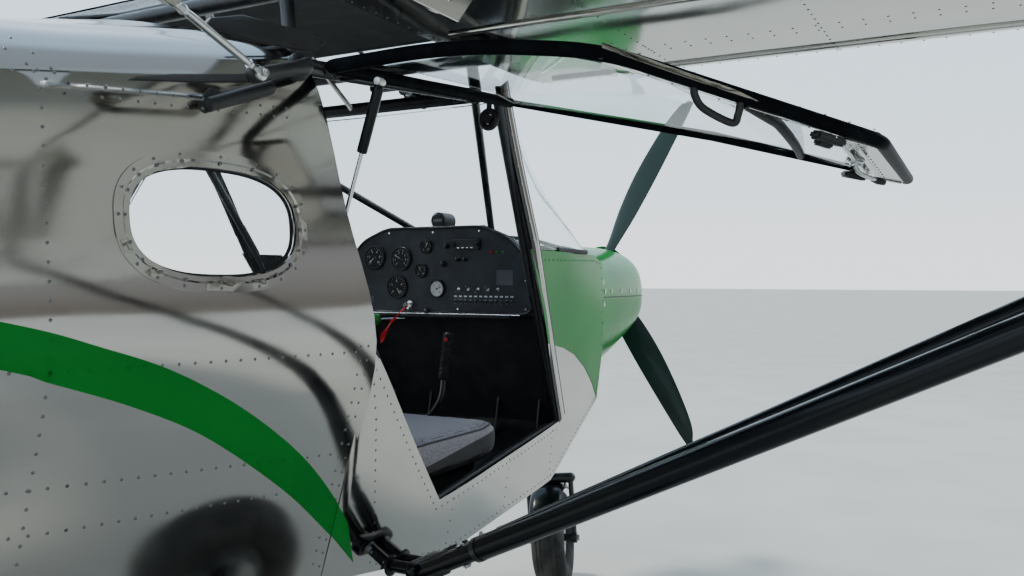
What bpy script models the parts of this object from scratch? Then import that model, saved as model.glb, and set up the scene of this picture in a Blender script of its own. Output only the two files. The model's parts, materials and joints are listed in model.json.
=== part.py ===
"""Light high-wing aircraft: two seats, braced wings, tricycle gear, doors that open upwards.

Metres. +X is the nose, +Y the left (port) side, +Z up. The origin is on the ground
under the middle of the aircraft. Lengthwise places are stations: the distance
behind the propeller's disc.
"""
import bpy
import bmesh
from math import cos, hypot, pi, radians, sin
from mathutils import Matrix, Vector
from mathutils.bvhtree import BVHTree

for old in list(bpy.data.objects):
    bpy.data.objects.remove(old, do_unlink=True)

# Overall sizes
NOSE_REACH = 0.22
TAIL_STATION = 6.38
ORIGIN_STATION = (TAIL_STATION - NOSE_REACH) / 2
HALF_SPAN = 4.50
SKIN = 0.004
SEAT_GAP = 0.0003
PANEL_GAP = 0.0006
MOVING_GAP = 0.006

# Fuselage: stations of its main frames
FIREWALL = 0.97
FLOOR_BREAK = 1.45
STRUT_FRAME = 2.12
SEAM = 2.58
CONE_MIDDLE = 3.60
TAIL_SEAT = 5.30
CONE_END = 5.96

# Door: closed outline in side view as (station, height); it follows the cabin's side
DOOR_REAR_HINGE = (2.690, 1.664)
DOOR_FRONT_HINGE = (2.030, 1.725)
DOOR_KNEE = (2.560, 1.157)
DOOR_REAR_FOOT = (2.187, 0.784)
DOOR_FRONT_FOOT = (1.444, 0.858)
DOOR_OPEN = radians(82.0)
DOOR_TUBE = 0.013
DOOR_STRIP = 0.085
DOOR_BULGE = 0.022
HINGE_SHARES = (0.14, 0.86)
HINGE_RADIUS = 0.010
HINGE_LUG = 0.006
GLASS = 0.004
GLASS_LAP = 0.010
GLASS_INSET = 0.0022
FRAME_TUBE = 0.014
FRAME_INSET = 0.048

# Wing
WING_ROOT = 0.600
WING_LEADING = 1.716
WING_CHORD = 1.10
WING_THICK = 0.185
WING_UNDERSIDE = 1.800
WING_DROOP = 0.022
FRONT_SPAR = 2.06
REAR_SPAR = 2.70

# Struts
STRUT_FOOT = (2.33, 0.585, 0.651)
STRUT_SPREAD = 0.030
STRUT_SPAN = 2.80
STRUT_BOTTOM = 0.032
STRUT_TOP = 0.970
FRONT_STRUT = 0.021
REAR_STRUT = 0.025
FRONT_DROP = 0.008
REAR_DROP = 0.048

# Flaperons
FLAP_LEADING = 2.855
FLAP_CHORD = 0.345
FLAP_THICK = 0.044
FLAP_ROOT = 0.68
FLAP_TIP = 4.44
FLAP_HEIGHT = 1.752
FLAP_AXIS = (2.955, 1.684)
FLAP_BRACKETS = 4
BRACKET_THICK = 0.008

# Propeller and cowling
HUB_HEIGHT = 1.33
BLADE_RADIUS = 0.90
BLADE_COUNT = 3
BLADE_ANGLE = radians(62.0)
HUB_RADIUS = 0.075
HUB_LENGTH = 0.086
SPINNER_RADIUS = 0.125
SPINNER_BASE = HUB_LENGTH / 2 + SEAT_GAP
SHAFT_RADIUS = 0.040
COWL_FRONT = 0.100
COWL_SPLIT = 1.225

# Landing gear
MAIN_STATION = 2.46
MAIN_TRACK = 2.02
MAIN_TYRE_RADIUS = 0.215
MAIN_TYRE_WIDTH = 0.150
MAIN_RIM_RADIUS = 0.100
NOSE_AXLE_STATION = 0.535
NOSE_TYRE_RADIUS = 0.200
NOSE_TYRE_WIDTH = 0.135
NOSE_RIM_RADIUS = 0.092
FENDER_CLEARANCE = 0.0278
AXLE_RADIUS = 0.016
RUNNING_GAP = 0.0001
ROUND = 40
LEG_TOP = (0.680, 1.000)
LEG_FOOT = (0.560, 0.560)
LEG_RADIUS = 0.030
STEER_REST = radians(18.0)

# Tail
TAIL_HALF_SPAN = 1.28
STABILIZER_LEADING = 5.34
ELEVATOR_HINGE = 5.84
ELEVATOR_TRAILING = 6.24
TAILPLANE_THICK = 0.060
RUDDER_HINGE = 6.00
FIN_TOP = 2.48

# Cabin
PANEL_STATION = 1.43
PANEL_TOP = 1.46
PANEL_BOTTOM = 1.17
COMPASS_STATION = 1.365
COMPASS_RADIUS = 0.021
SEAT_FRONT = 1.76
SEAT_REAR = 2.26
SEAT_MIDDLE = 0.222
SEAT_HALF_WIDTH = 0.195
CUSHION_TOP = 0.880
CUSHION_THICK = 0.085
SEAT_BACK_TOP = 1.25

# Materials: colour, roughness, metallic
MATERIALS = {
    "polished_aluminium": ((0.80, 0.80, 0.79), 0.14, 1.0),
    "green_paint": ((0.02, 0.36, 0.05), 0.18, 0.0),
    "black_paint": ((0.015, 0.016, 0.018), 0.32, 0.0),
    "black_steel": ((0.020, 0.021, 0.023), 0.38, 0.4),
    "clear_glass": ((0.85, 0.92, 0.94), 0.04, 0.0),
    "composite": ((0.060, 0.095, 0.080), 0.36, 0.0),
    "rubber": ((0.020, 0.020, 0.021), 0.80, 0.0),
    "grey_fabric": ((0.10, 0.10, 0.12), 0.92, 0.0),
    "panel_black": ((0.022, 0.026, 0.034), 0.52, 0.0),
    "cast_metal": ((0.36, 0.37, 0.38), 0.42, 0.9),
    "bright_rod": ((0.62, 0.63, 0.64), 0.22, 1.0),
}


def place(station, y, z):
    """A point in the aircraft's frame from its station, side and height."""
    return Vector((ORIGIN_STATION - station, y, z))


def material(name):
    """One shader of this name, made when it is first asked for."""
    known = bpy.data.materials.get(name)
    if known:
        return known
    colour, roughness, metallic = MATERIALS[name]
    made = bpy.data.materials.new(name)
    made.use_nodes = True
    shader = made.node_tree.nodes["Principled BSDF"]
    shader.inputs["Base Color"].default_value = (*colour, 1.0)
    shader.inputs["Roughness"].default_value = roughness
    shader.inputs["Metallic"].default_value = metallic
    return made


def node(name, bm, finish, origin=None, parent=None, smooth=True):
    """Turn a bmesh in the aircraft's frame into an object whose origin is at a chosen point."""
    origin = Vector(origin) if origin is not None else Vector((0, 0, 0))
    bmesh.ops.remove_doubles(bm, verts=bm.verts, dist=1e-6)
    bmesh.ops.recalc_face_normals(bm, faces=bm.faces)
    bmesh.ops.translate(bm, verts=bm.verts, vec=-origin)
    mesh = bpy.data.meshes.new(name)
    bm.to_mesh(mesh)
    bm.free()
    if smooth:
        mesh.shade_smooth()
        mesh.set_sharp_from_angle(angle=radians(32))
    mesh.materials.append(material(finish))
    made = bpy.data.objects.new(name, mesh)
    bpy.context.scene.collection.objects.link(made)
    made.location = origin
    if parent:
        made.parent = parent
        made.location = origin - parent.location
    return made


def hinge_empty(name, origin):
    """An empty on a joint's axis that carries the pieces that move with it."""
    made = bpy.data.objects.new(name, None)
    made.empty_display_size = 0.1
    made.location = origin
    bpy.context.scene.collection.objects.link(made)
    return made


def loft(rings, closed_start=True):
    """A solid through rings of points that have equal counts; its start may be left open."""
    bm = bmesh.new()
    rows = [[bm.verts.new(point) for point in ring] for ring in rings]
    count = len(rows[0])
    for near, far in zip(rows, rows[1:]):
        for i in range(count):
            j = (i + 1) % count
            bm.faces.new((near[i], near[j], far[j], far[i]))
    if closed_start:
        bm.faces.new(rows[0])
    bm.faces.new(rows[-1])
    return bm


def surface(points, faces):
    """An open surface of named points, to be thickened."""
    bm = bmesh.new()
    verts = {key: bm.verts.new(point) for key, point in points.items()}
    for face in faces:
        bm.faces.new([verts[key] for key in face])
    return bm


def grid(rows):
    """An open surface over rows of points that have equal counts."""
    bm = bmesh.new()
    verts = [[bm.verts.new(point) for point in row] for row in rows]
    for near, far in zip(verts, verts[1:]):
        for i in range(len(near) - 1):
            bm.faces.new((near[i], near[i + 1], far[i + 1], far[i]))
    return bm


def thicken(bm, depth, inside):
    """Give an open surface its wall, towards a point inside the aircraft."""
    bmesh.ops.recalc_face_normals(bm, faces=bm.faces)
    inside = Vector(inside)
    facing = sum((face.calc_center_median() - inside).dot(face.normal) * face.calc_area() for face in bm.faces)
    if facing < 0:
        bmesh.ops.reverse_faces(bm, faces=bm.faces)
    bm.normal_update()
    bmesh.ops.solidify(bm, geom=bm.faces[:] + bm.edges[:] + bm.verts[:], thickness=depth)
    return bm


def block(low, high):
    """A box between two corners, each given as station, y, z."""
    a = place(*low)
    b = place(*high)
    bm = bmesh.new()
    bmesh.ops.create_cube(bm, size=1.0)
    middle = (a + b) / 2
    size = Vector([abs(b[i] - a[i]) for i in range(3)])
    bmesh.ops.scale(bm, vec=size, verts=bm.verts)
    bmesh.ops.translate(bm, vec=middle, verts=bm.verts)
    return bm


def sweep(points, radius, sides=10, flat=1.0):
    """A tube along a path; flat below 1 narrows it sideways into an oval."""
    points = [Vector(p) for p in points]
    rings = []
    normal = None
    for i, point in enumerate(points):
        before = points[i] - points[i - 1] if i else points[1] - points[0]
        after = points[i + 1] - points[i] if i + 1 < len(points) else before
        along = (before.normalized() + after.normalized()).normalized()
        if normal is None:
            guide = Vector((0, 0, 1)) if abs(along.z) < 0.9 else Vector((1, 0, 0))
            normal = along.cross(guide).normalized()
        normal = (normal - along * normal.dot(along)).normalized()
        side = along.cross(normal)
        stretch = 1.0 / max(0.5, along.dot(after.normalized()))
        bend = after.normalized() - before.normalized()
        ring = []
        for k in range(sides):
            turn = 2 * pi * k / sides
            spoke = normal * cos(turn) * flat * radius + side * sin(turn) * radius
            if bend.length > 1e-6:
                across = (bend - along * bend.dot(along)).normalized()
                spoke += across * spoke.dot(across) * (stretch - 1.0)
            ring.append(point + spoke)
        rings.append(ring)
    return loft(rings)


def turned(profile, origin, axis, steps=24, solid=False):
    """A turned piece: a profile of (along the axis, radius) spun right round.

    A ring's profile is closed; a solid's starts and ends on the axis.
    """
    axis = Vector(axis).normalized()
    guide = Vector((0, 0, 1)) if abs(axis.z) < 0.9 else Vector((1, 0, 0))
    out = axis.cross(guide).normalized()
    bm = bmesh.new()
    verts = [bm.verts.new(Vector(origin) + axis * a + out * r) for a, r in profile]
    last = len(verts) - 1 if solid else len(verts)
    edges = [bm.edges.new((verts[i], verts[(i + 1) % len(verts)])) for i in range(last)]
    bmesh.ops.spin(bm, geom=verts + edges, cent=origin, axis=axis, angle=2 * pi, steps=steps, use_merge=True)
    bmesh.ops.remove_doubles(bm, verts=bm.verts, dist=1e-5)
    bmesh.ops.dissolve_degenerate(bm, edges=bm.edges, dist=1e-6)
    return bm


def rod(start, end, radius, sides=12):
    return sweep([start, end], radius, sides)


def evaluated(piece):
    graph = bpy.context.evaluated_depsgraph_get()
    return bpy.data.meshes.new_from_object(piece.evaluated_get(graph))


def combine(piece, others, operation):
    """Apply a Boolean between an object and loose solids, and drop the solids."""
    for number, bm in enumerate(others):
        tool = node(f"{piece.name}_tool_{number}", bm, "black_paint", smooth=False)
        step = piece.modifiers.new(operation.lower(), "BOOLEAN")
        step.operation = operation
        step.solver = "EXACT"
        step.object = tool
        bpy.context.view_layer.update()
        result = evaluated(piece)
        piece.modifiers.clear()
        piece.data = result
        bpy.data.objects.remove(tool, do_unlink=True)
    piece.data.set_sharp_from_angle(angle=radians(32))
    return piece


def between(a, b, share):
    return tuple(u + (v - u) * share for u, v in zip(a, b))


# The fuselage's side: at each station the lower corner, the widest line and the upper corner
SIDE = (
    # station, corner y, corner z, wide y, wide z, upper y, upper z
    (FIREWALL, 0.400, 0.860, 0.430, 1.100, 0.420, 1.345),
    (FLOOR_BREAK, 0.455, 0.665, 0.485, 1.120, 0.500, 1.420),
    (STRUT_FRAME, 0.490, 0.610, 0.600, 1.150, 0.586, 1.730),
    (SEAM, 0.500, 0.677, 0.628, 1.157, 0.592, 1.672),
    (CONE_MIDDLE, 0.375, 0.830, 0.455, 1.165, 0.420, 1.520),
    (TAIL_SEAT, 0.152, 1.085, 0.180, 1.230, 0.150, 1.325),
    (CONE_END, 0.055, 1.185, 0.062, 1.260, 0.055, 1.325),
)


def side_row(station):
    """The side's six sizes at any station."""
    station = min(max(station, SIDE[0][0]), SIDE[-1][0])
    for low, high in zip(SIDE, SIDE[1:]):
        if station <= high[0]:
            share = (station - low[0]) / (high[0] - low[0])
            return between(low[1:], high[1:], share)
    return SIDE[-1][1:]


def side_y(station, z):
    """Half width of the fuselage's skin at a station and height."""
    corner_y, corner_z, wide_y, wide_z, upper_y, upper_z = side_row(station)
    if z < wide_z:
        share = (z - corner_z) / (wide_z - corner_z)
        return corner_y + (wide_y - corner_y) * share
    share = (z - wide_z) / (upper_z - wide_z)
    return wide_y + (upper_y - wide_y) * share


def on_side(station, z, side, inward=0.0):
    """A point on the skin, or set in from it."""
    return place(station, side * (side_y(station, z) - inward), z)


def inset(outline, distance):
    """Move each edge of a side-view outline inwards by a distance (outwards if negative)."""
    area = sum(a[0] * b[1] - b[0] * a[1] for a, b in zip(outline, outline[1:] + outline[:1]))
    turn = 1 if area > 0 else -1
    moved = []
    for i, here in enumerate(outline):
        last = outline[i - 1]
        following = outline[(i + 1) % len(outline)]
        normals = []
        for a, b in ((last, here), (here, following)):
            length = hypot(b[0] - a[0], b[1] - a[1])
            normals.append((-(b[1] - a[1]) / length * turn, (b[0] - a[0]) / length * turn))
        mean = (normals[0][0] + normals[1][0], normals[0][1] + normals[1][1])
        scale = 2 * distance / (mean[0] ** 2 + mean[1] ** 2)
        moved.append((here[0] + mean[0] * scale, here[1] + mean[1] * scale))
    return moved


# Rear fuselage: one thin shell, closed at its tail, open to the cabin
CROWN = (
    # station, shoulder share of the upper width, shoulder rise, crown rise
    (SEAM, 0.62, 0.085, 0.112),
    (CONE_MIDDLE, 0.62, 0.075, 0.100),
    (TAIL_SEAT, 0.60, 0.020, 0.025),
    (CONE_END, 0.60, 0.020, 0.025),
)


def crown_row(station):
    for low, high in zip(CROWN, CROWN[1:]):
        if station <= high[0]:
            share = (station - low[0]) / (high[0] - low[0])
            return between(low[1:], high[1:], share)
    return CROWN[-1][1:]


def fuselage_ring(station, slant_top=0.0, slant_crown=0.0):
    """A closed section, lower corners first; the slants move its upper points aft."""
    corner_y, corner_z, wide_y, wide_z, upper_y, upper_z = side_row(station)
    top = station + slant_top
    top_row = side_row(top)
    share, shoulder_rise, crown_rise = crown_row(station)
    crown = station + slant_crown
    middle = (top + crown) / 2
    half = [
        (station, corner_y, corner_z),
        (station, (corner_y + wide_y) / 2 + 0.004, (corner_z + wide_z) / 2),
        (station, wide_y, wide_z),
        (station + slant_top / 2, (wide_y + top_row[4]) / 2 + 0.006, (wide_z + top_row[5]) / 2),
        (top, top_row[4], top_row[5]),
        (middle, top_row[4] * (1 + share) / 2, top_row[5] + shoulder_rise * 0.72),
        (middle, top_row[4] * share, top_row[5] + shoulder_rise),
        (crown, top_row[4] * share * 0.45, top_row[5] + crown_rise),
    ]
    right = [place(s, -y, z) for s, y, z in half]
    left = [place(s, y, z) for s, y, z in reversed(half)]
    return right + left


REAR_WINDOW = (2.912, 1.364)
REAR_WINDOW_HALF = (0.150, 0.0875)
PANE_LAP = 0.022


def oval(middle, half, count, power=2.6):
    """A rounded oval in side view, as (station, height) points."""
    points = []
    for i in range(count):
        turn = 2 * pi * (i + 0.5) / count
        c = cos(turn)
        s = sin(turn)
        points.append((
            middle[0] + half[0] * abs(c) ** (2 / power) * (1 if c > 0 else -1),
            middle[1] + half[1] * abs(s) ** (2 / power) * (1 if s > 0 else -1),
        ))
    return points


def make_rear_fuselage():
    top_slant = DOOR_REAR_HINGE[0] + DOOR_TUBE + MOVING_GAP - SEAM
    crown_slant = WING_LEADING + WING_CHORD + 0.02 - SEAM
    rings = [
        fuselage_ring(SEAM + PANEL_GAP / 2, top_slant, crown_slant),
        fuselage_ring(3.10),
        fuselage_ring(CONE_MIDDLE),
        fuselage_ring(TAIL_SEAT),
        fuselage_ring(CONE_END),
    ]
    bm = loft(rings, closed_start=False)
    bm = thicken(bm, SKIN, place(CONE_MIDDLE, 0, 1.2))
    shell = node("rear_fuselage", bm, "polished_aluminium")
    cutters = []
    for side in (-1, 1):
        outline = oval(REAR_WINDOW, REAR_WINDOW_HALF, 20)
        near = [place(s, side * 0.42, z) for s, z in outline]
        far = [place(s, side * 0.75, z) for s, z in outline]
        cutters.append(loft([near, far]))
    return combine(shell, cutters, "DIFFERENCE")


def make_rear_panes(shell):
    """The rear windows' panes stand inside the skin, in their oval frames."""
    skin = BVHTree.FromObject(shell, bpy.context.evaluated_depsgraph_get())
    for side, word in ((-1, "right"), (1, "left")):
        outline = oval(REAR_WINDOW, (REAR_WINDOW_HALF[0] + PANE_LAP, REAR_WINDOW_HALF[1] + PANE_LAP), 20)
        out = Vector((0, side, 0))
        near = []
        far = []
        for station, z in outline:
            hit = skin.ray_cast(place(station, 0, z), out)[0]
            near.append(hit - out * SEAT_GAP * 2)
            far.append(hit - out * (SEAT_GAP * 2 + GLASS))
        node(f"rear_window_{word}", loft([near, far]), "clear_glass")


# Front fuselage: side panels under and ahead of the doors, floor, firewall, scuttle
DOOR = [DOOR_REAR_HINGE, DOOR_KNEE, DOOR_REAR_FOOT, DOOR_FRONT_FOOT, DOOR_FRONT_HINGE]
DOOR_HOLE = inset(DOOR, -(DOOR_TUBE + MOVING_GAP))
POST_AT_SILL = between(DOOR_HOLE[3], DOOR_HOLE[4], 0.58)
SCUTTLE_REAR = 1.17
SIDE_TOP = ((1.10, 1.372), POST_AT_SILL)


def make_cabin_sides():
    aft = SEAM - PANEL_GAP * 2
    knee = DOOR_HOLE[1]
    foot = DOOR_HOLE[2]
    front = DOOR_HOLE[3]
    share = (aft - foot[0]) / (knee[0] - foot[0])
    outline = {
        "nose_low": (FIREWALL, side_row(FIREWALL)[1]),
        "break_low": (FLOOR_BREAK, side_row(FLOOR_BREAK)[1]),
        "strut_low": (STRUT_FRAME, side_row(STRUT_FRAME)[1]),
        "seam_low": (aft, side_row(aft)[1]),
        "seam_knee": (aft, foot[1] + (knee[1] - foot[1]) * share),
        "rear_foot": foot,
        "front_foot": front,
        "post": POST_AT_SILL,
        "scuttle": SIDE_TOP[0],
        "nose_high": (FIREWALL, side_row(FIREWALL)[5]),
    }
    faces = (
        ("nose_low", "break_low", "front_foot", "post", "scuttle", "nose_high"),
        ("break_low", "strut_low", "rear_foot", "front_foot"),
        ("strut_low", "seam_low", "seam_knee", "rear_foot"),
    )
    for side, word in ((-1, "right"), (1, "left")):
        points = {key: on_side(s, z, side) for key, (s, z) in outline.items()}
        bm = surface(points, faces)
        bmesh.ops.triangulate(bm, faces=bm.faces)
        bm = thicken(bm, SKIN, place(1.8, 0, 1.1))
        node(f"cabin_side_{word}", bm, "polished_aluminium", smooth=False)


def make_floor():
    rows = []
    edge = SKIN + SEAT_GAP * 3
    for station in (FIREWALL + 0.002, FLOOR_BREAK, STRUT_FRAME, SEAM - PANEL_GAP / 2):
        y = side_row(station)[0] - edge
        z = side_row(station)[1] + 0.0002
        rows.append([place(station, -y, z), place(station, y, z)])
    bm = thicken(grid(rows), SKIN, place(1.8, 0, 1.3))
    node("cabin_floor", bm, "polished_aluminium", smooth=False)


def make_firewall():
    row = side_row(FIREWALL)
    edge = SKIN + SEAT_GAP * 2
    outline = [
        (row[0] - edge, row[1] + SKIN * 1.5),
        (row[4] - edge, row[5] - 0.004),
        (0.26, row[5] + 0.035),
    ]
    half = [(y, z) for y, z in outline]
    ring = [(-y, z) for y, z in half] + [(y, z) for y, z in reversed(half)]
    near = [place(FIREWALL + 0.004, y, z) for y, z in ring]
    far = [place(FIREWALL + 0.009, y, z) for y, z in ring]
    node("firewall", loft([near, far]), "cast_metal", smooth=False)


SCUTTLE_ARCH = (
    # y, rise above the side's upper edge
    (0.416, 0.002),
    (0.340, 0.030),
    (0.230, 0.058),
    (0.100, 0.076),
)


SCUTTLE_LIFT = 0.012


def make_scuttle():
    """The short green deck between the firewall and the windshield."""
    base = side_row(FIREWALL)[5]
    rows = []
    for station, lift in ((FIREWALL, 0.0), (SCUTTLE_REAR, SCUTTLE_LIFT)):
        right = [place(station, -y, base + rise + lift) for y, rise in SCUTTLE_ARCH]
        left = [place(station, y, base + rise + lift) for y, rise in reversed(SCUTTLE_ARCH)]
        rows.append(right + left)
    bm = thicken(grid(rows), SKIN, place(1.0, 0, 1.0))
    node("scuttle_deck", bm, "green_paint")


SILL_GAP = 0.0012
WINDSHIELD = (
    # height, centre station, corner station, corner y, post station, post y
    (1.600, 1.440, 1.480, 0.400, 1.880, 0.545),
    (1.770, 1.790, 1.815, 0.470, 1.985, 0.562),
)


def scuttle_top(y):
    """Height of the scuttle's rear edge at a distance from the middle."""
    outer = SCUTTLE_ARCH[0]
    rise = SCUTTLE_ARCH[-1][1]
    for inner in SCUTTLE_ARCH[1:]:
        if y >= inner[0]:
            rise = outer[1] + (inner[1] - outer[1]) * (outer[0] - y) / (outer[0] - inner[0])
            break
        outer = inner
    return side_row(FIREWALL)[5] + rise + SCUTTLE_LIFT


def sill_point(share):
    """A point of the glass's foot along the cabin side's straight upper edge."""
    ends = [(station, side_y(station, z), z) for station, z in SIDE_TOP]
    station, y, z = between(ends[0], ends[1], share)
    return station, y - SILL_GAP, z + SILL_GAP * (4.0 - 3.4 * share)


def make_windshield():
    foot = [sill_point(0.975), sill_point(0.55), sill_point(0.14)]
    for station, y in ((1.150, 0.340), (1.132, 0.230), (1.118, 0.100)):
        foot.append((station, y, scuttle_top(y) + GLASS))
    halves = [foot]
    for z, centre, corner, corner_y, post, post_y in WINDSHIELD:
        halves.append([
            (post, post_y, z),
            ((post + corner) / 2, (post_y + corner_y) / 2 + 0.020, z),
            (corner + 0.06, corner_y + 0.030, z),
            (corner, corner_y - 0.02, z),
            ((corner + centre * 2) / 3, corner_y * 0.6, z),
            (centre, 0.10, z),
        ])
    rows = []
    for half in halves:
        right = [place(s, -y, height) for s, y, height in half]
        left = [place(s, y, height) for s, y, height in reversed(half)]
        rows.append(right + left)
    bm = thicken(grid(rows), GLASS, place(2.0, 0, 1.3))
    node("windshield", bm, "clear_glass")


# Wing section: share of the chord behind the leading edge, share of the thickness above the underside
WING_SECTION = (
    (0.000, 0.400),
    (0.012, 0.600),
    (0.045, 0.780),
    (0.120, 0.930),
    (0.260, 1.000),
    (0.450, 0.930),
    (0.700, 0.660),
    (1.000, 0.130),
    (1.000, 0.060),
    (0.600, 0.000),
    (0.200, 0.000),
    (0.070, 0.060),
    (0.018, 0.200),
)


def wing_ring(y, leading=WING_LEADING, chord=WING_CHORD, thick=WING_THICK, base=WING_UNDERSIDE):
    """The wing's section at a span, its trailing edge a little lower than its nose."""
    ring = []
    for along, up in WING_SECTION:
        ring.append(place(leading + chord * along, y, base + thick * up - WING_DROOP * along))
    return ring


def wing_top(station, thick=WING_THICK):
    """Height of the wing's upper surface at a station."""
    along = (station - WING_LEADING) / WING_CHORD
    upper = WING_SECTION[:8]
    for low, high in zip(upper, upper[1:]):
        if along <= high[0]:
            share = (along - low[0]) / (high[0] - low[0])
            up = low[1] + (high[1] - low[1]) * share
            return WING_UNDERSIDE + thick * up - WING_DROOP * along
    return WING_UNDERSIDE


def flap_bracket_spans():
    step = (FLAP_TIP - FLAP_ROOT - 0.5) / (FLAP_BRACKETS - 1)
    return [FLAP_ROOT + 0.25 + step * i for i in range(FLAP_BRACKETS)]


def plate(outline, y, thick):
    """A flat plate seen from the side, outline as (station, height), centred on y."""
    near = [place(s, y - thick / 2, z) for s, z in outline]
    far = [place(s, y + thick / 2, z) for s, z in outline]
    return loft([near, far])


def make_wings():
    trailing = WING_LEADING + WING_CHORD
    hinge_s, hinge_z = FLAP_AXIS
    arm = [
        (trailing - 0.16, WING_UNDERSIDE + 0.010),
        (trailing - 0.05, WING_UNDERSIDE - 0.004),
        (trailing - 0.01, hinge_z + 0.010),
        (hinge_s + 0.012, hinge_z + 0.010),
        (hinge_s + 0.014, hinge_z - 0.014),
        (trailing - 0.03, hinge_z - 0.014),
        (trailing - 0.12, WING_UNDERSIDE - 0.030),
    ]
    for side, word in ((-1, "right"), (1, "left")):
        tip = HALF_SPAN
        rings = [
            wing_ring(side * (WING_ROOT + SEAT_GAP)),
            wing_ring(side * (tip - 0.10)),
            wing_ring(side * (tip - 0.03), WING_LEADING + 0.02, WING_CHORD - 0.04, WING_THICK * 0.82,
                      WING_UNDERSIDE + 0.014),
            wing_ring(side * tip, WING_LEADING + 0.06, WING_CHORD - 0.11, WING_THICK * 0.45,
                      WING_UNDERSIDE + 0.045),
        ]
        wing = node(f"wing_{word}", loft(rings), "polished_aluminium")
        arms = [plate(arm, side * y, BRACKET_THICK) for y in flap_bracket_spans()]
        for word, spar, drop, radius, shift in STRUTS:
            start = strut_point(STRUT_TOP, spar, drop, side, shift, SEAT_GAP)
            climb = WING_UNDERSIDE + STRUT_BURIED - STRUT_FOOT[2]
            share = climb / (WING_UNDERSIDE - drop - STRUT_FOOT[2])
            arms.append(rod(start, strut_point(share, spar, drop, side, shift), radius * STRUT_NECK, 10))
        combine(wing, arms, "UNION")


def make_flaperons():
    hinge_s, hinge_z = FLAP_AXIS
    outline = [
        (0.00, 0.45), (0.03, 0.80), (0.15, 1.00), (0.50, 0.75), (1.00, 0.12),
        (1.00, 0.00), (0.50, 0.05), (0.15, 0.00), (0.03, 0.12),
    ]
    lug = [
        (hinge_s + 0.030, FLAP_HEIGHT - FLAP_THICK / 2 + 0.010),
        (hinge_s + 0.012, hinge_z - 0.012),
        (hinge_s - 0.012, hinge_z - 0.012),
        (hinge_s - 0.030, FLAP_HEIGHT - FLAP_THICK / 2 + 0.010),
    ]
    for side, word in ((-1, "right"), (1, "left")):
        rings = []
        for y in (FLAP_ROOT, FLAP_TIP):
            ring = []
            for along, up in outline:
                height = FLAP_HEIGHT - FLAP_THICK / 2 + FLAP_THICK * up - 0.012 * along
                ring.append(place(FLAP_LEADING + FLAP_CHORD * along, side * y, height))
            rings.append(ring)
        axis = place(hinge_s, side * FLAP_ROOT, hinge_z)
        flap = node(f"flaperon_{word}", loft(rings), "polished_aluminium", origin=axis)
        lugs = []
        for y in flap_bracket_spans():
            lugs.append(plate(lug, side * (y + BRACKET_THICK + 0.001), BRACKET_THICK))
        horn = [(hinge_s + 0.02, FLAP_HEIGHT - 0.006), (hinge_s - 0.02, FLAP_HEIGHT - 0.006),
                (hinge_s - 0.008, hinge_z - 0.070), (hinge_s + 0.010, hinge_z - 0.070)]
        lugs.append(plate(horn, side * (FLAP_ROOT + 0.012), 0.006))
        combine(flap, lugs, "UNION")


SKYLIGHT_SHARES = (0.006, 0.022, 0.076, 0.167, 0.304, 0.485, 0.713, 0.985)


def make_roof():
    """Clear skylight between the wing roots, on the wings' upper line."""
    rows = []
    edge = WING_ROOT - SEAT_GAP * 2
    for along in SKYLIGHT_SHARES:
        station = WING_LEADING + WING_CHORD * along
        z = wing_top(station)
        rows.append([place(station, -edge, z), place(station, 0, z), place(station, edge, z)])
    bm = thicken(grid(rows), GLASS, place(2.2, 0, 1.0))
    node("skylight", bm, "clear_glass")


STRUTS = (
    # name, station at the wing, drop of its upper pin under the wing, radius, shift of its foot
    ("front", FRONT_SPAR, FRONT_DROP, FRONT_STRUT, -STRUT_SPREAD),
    ("rear", REAR_SPAR, REAR_DROP, REAR_STRUT, STRUT_SPREAD),
)
STRUT_NECK = 0.7
STRUT_BURIED = 0.006
FITTING_OUT = 0.012
FITTING_THICK = 0.022
FITTING_ARM = 0.014
ARM_CLEARANCE = 0.0028


def strut_point(share, spar, drop, side, foot_shift, beyond=0.0):
    """A point along a strut's line, by share of its length and a short distance beyond."""
    foot = place(STRUT_FOOT[0] + foot_shift, side * STRUT_FOOT[1], STRUT_FOOT[2])
    top = place(spar, side * STRUT_SPAN, WING_UNDERSIDE - drop)
    return foot + (top - foot) * share + (top - foot).normalized() * beyond


def make_struts():
    for side, word in ((-1, "right"), (1, "left")):
        for which, spar, drop, radius, shift in STRUTS:
            start = strut_point(STRUT_BOTTOM, spar, drop, side, shift)
            end = strut_point(STRUT_TOP, spar, drop, side, shift)
            node(f"strut_{which}_{word}", sweep([start, end], radius, 12), "black_paint")
        station, out, low = STRUT_FOOT
        lug = [
            (station - 0.075, low + 0.026),
            (station + 0.075, low + 0.026),
            (station + 0.060, low - 0.026),
            (station - 0.060, low - 0.026),
        ]
        middle = side * (out - FITTING_OUT)
        fitting = node(f"strut_fitting_{word}", plate(lug, middle, FITTING_THICK), "black_steel", smooth=False)
        ends = []
        for which, spar, drop, radius, shift in STRUTS:
            close = strut_point(STRUT_BOTTOM, spar, drop, side, shift, -SEAT_GAP)
            ends.append(rod(strut_point(-0.004, spar, drop, side, shift), close, radius * STRUT_NECK, 10))
            arm = station + shift * 0.8
            inner = side * (side_y(arm, low) + ARM_CLEARANCE)
            ends.append(rod(place(arm, inner, low), place(arm, middle, low), FITTING_ARM, 12))
        combine(fitting, ends, "UNION")


# Cabin frame of welded tubes
STUB = 0.006


def stub_inset(station, z):
    """How far a level stub's end stands in from the skin so that its rim clears the sloping sheet."""
    lean = abs(side_y(station, z + STUB) - side_y(station, z - STUB)) / 2
    taper = abs(side_y(station + STUB, z) - side_y(station - STUB, z)) / 2
    return SKIN + SEAT_GAP * 2 + lean + taper


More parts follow.
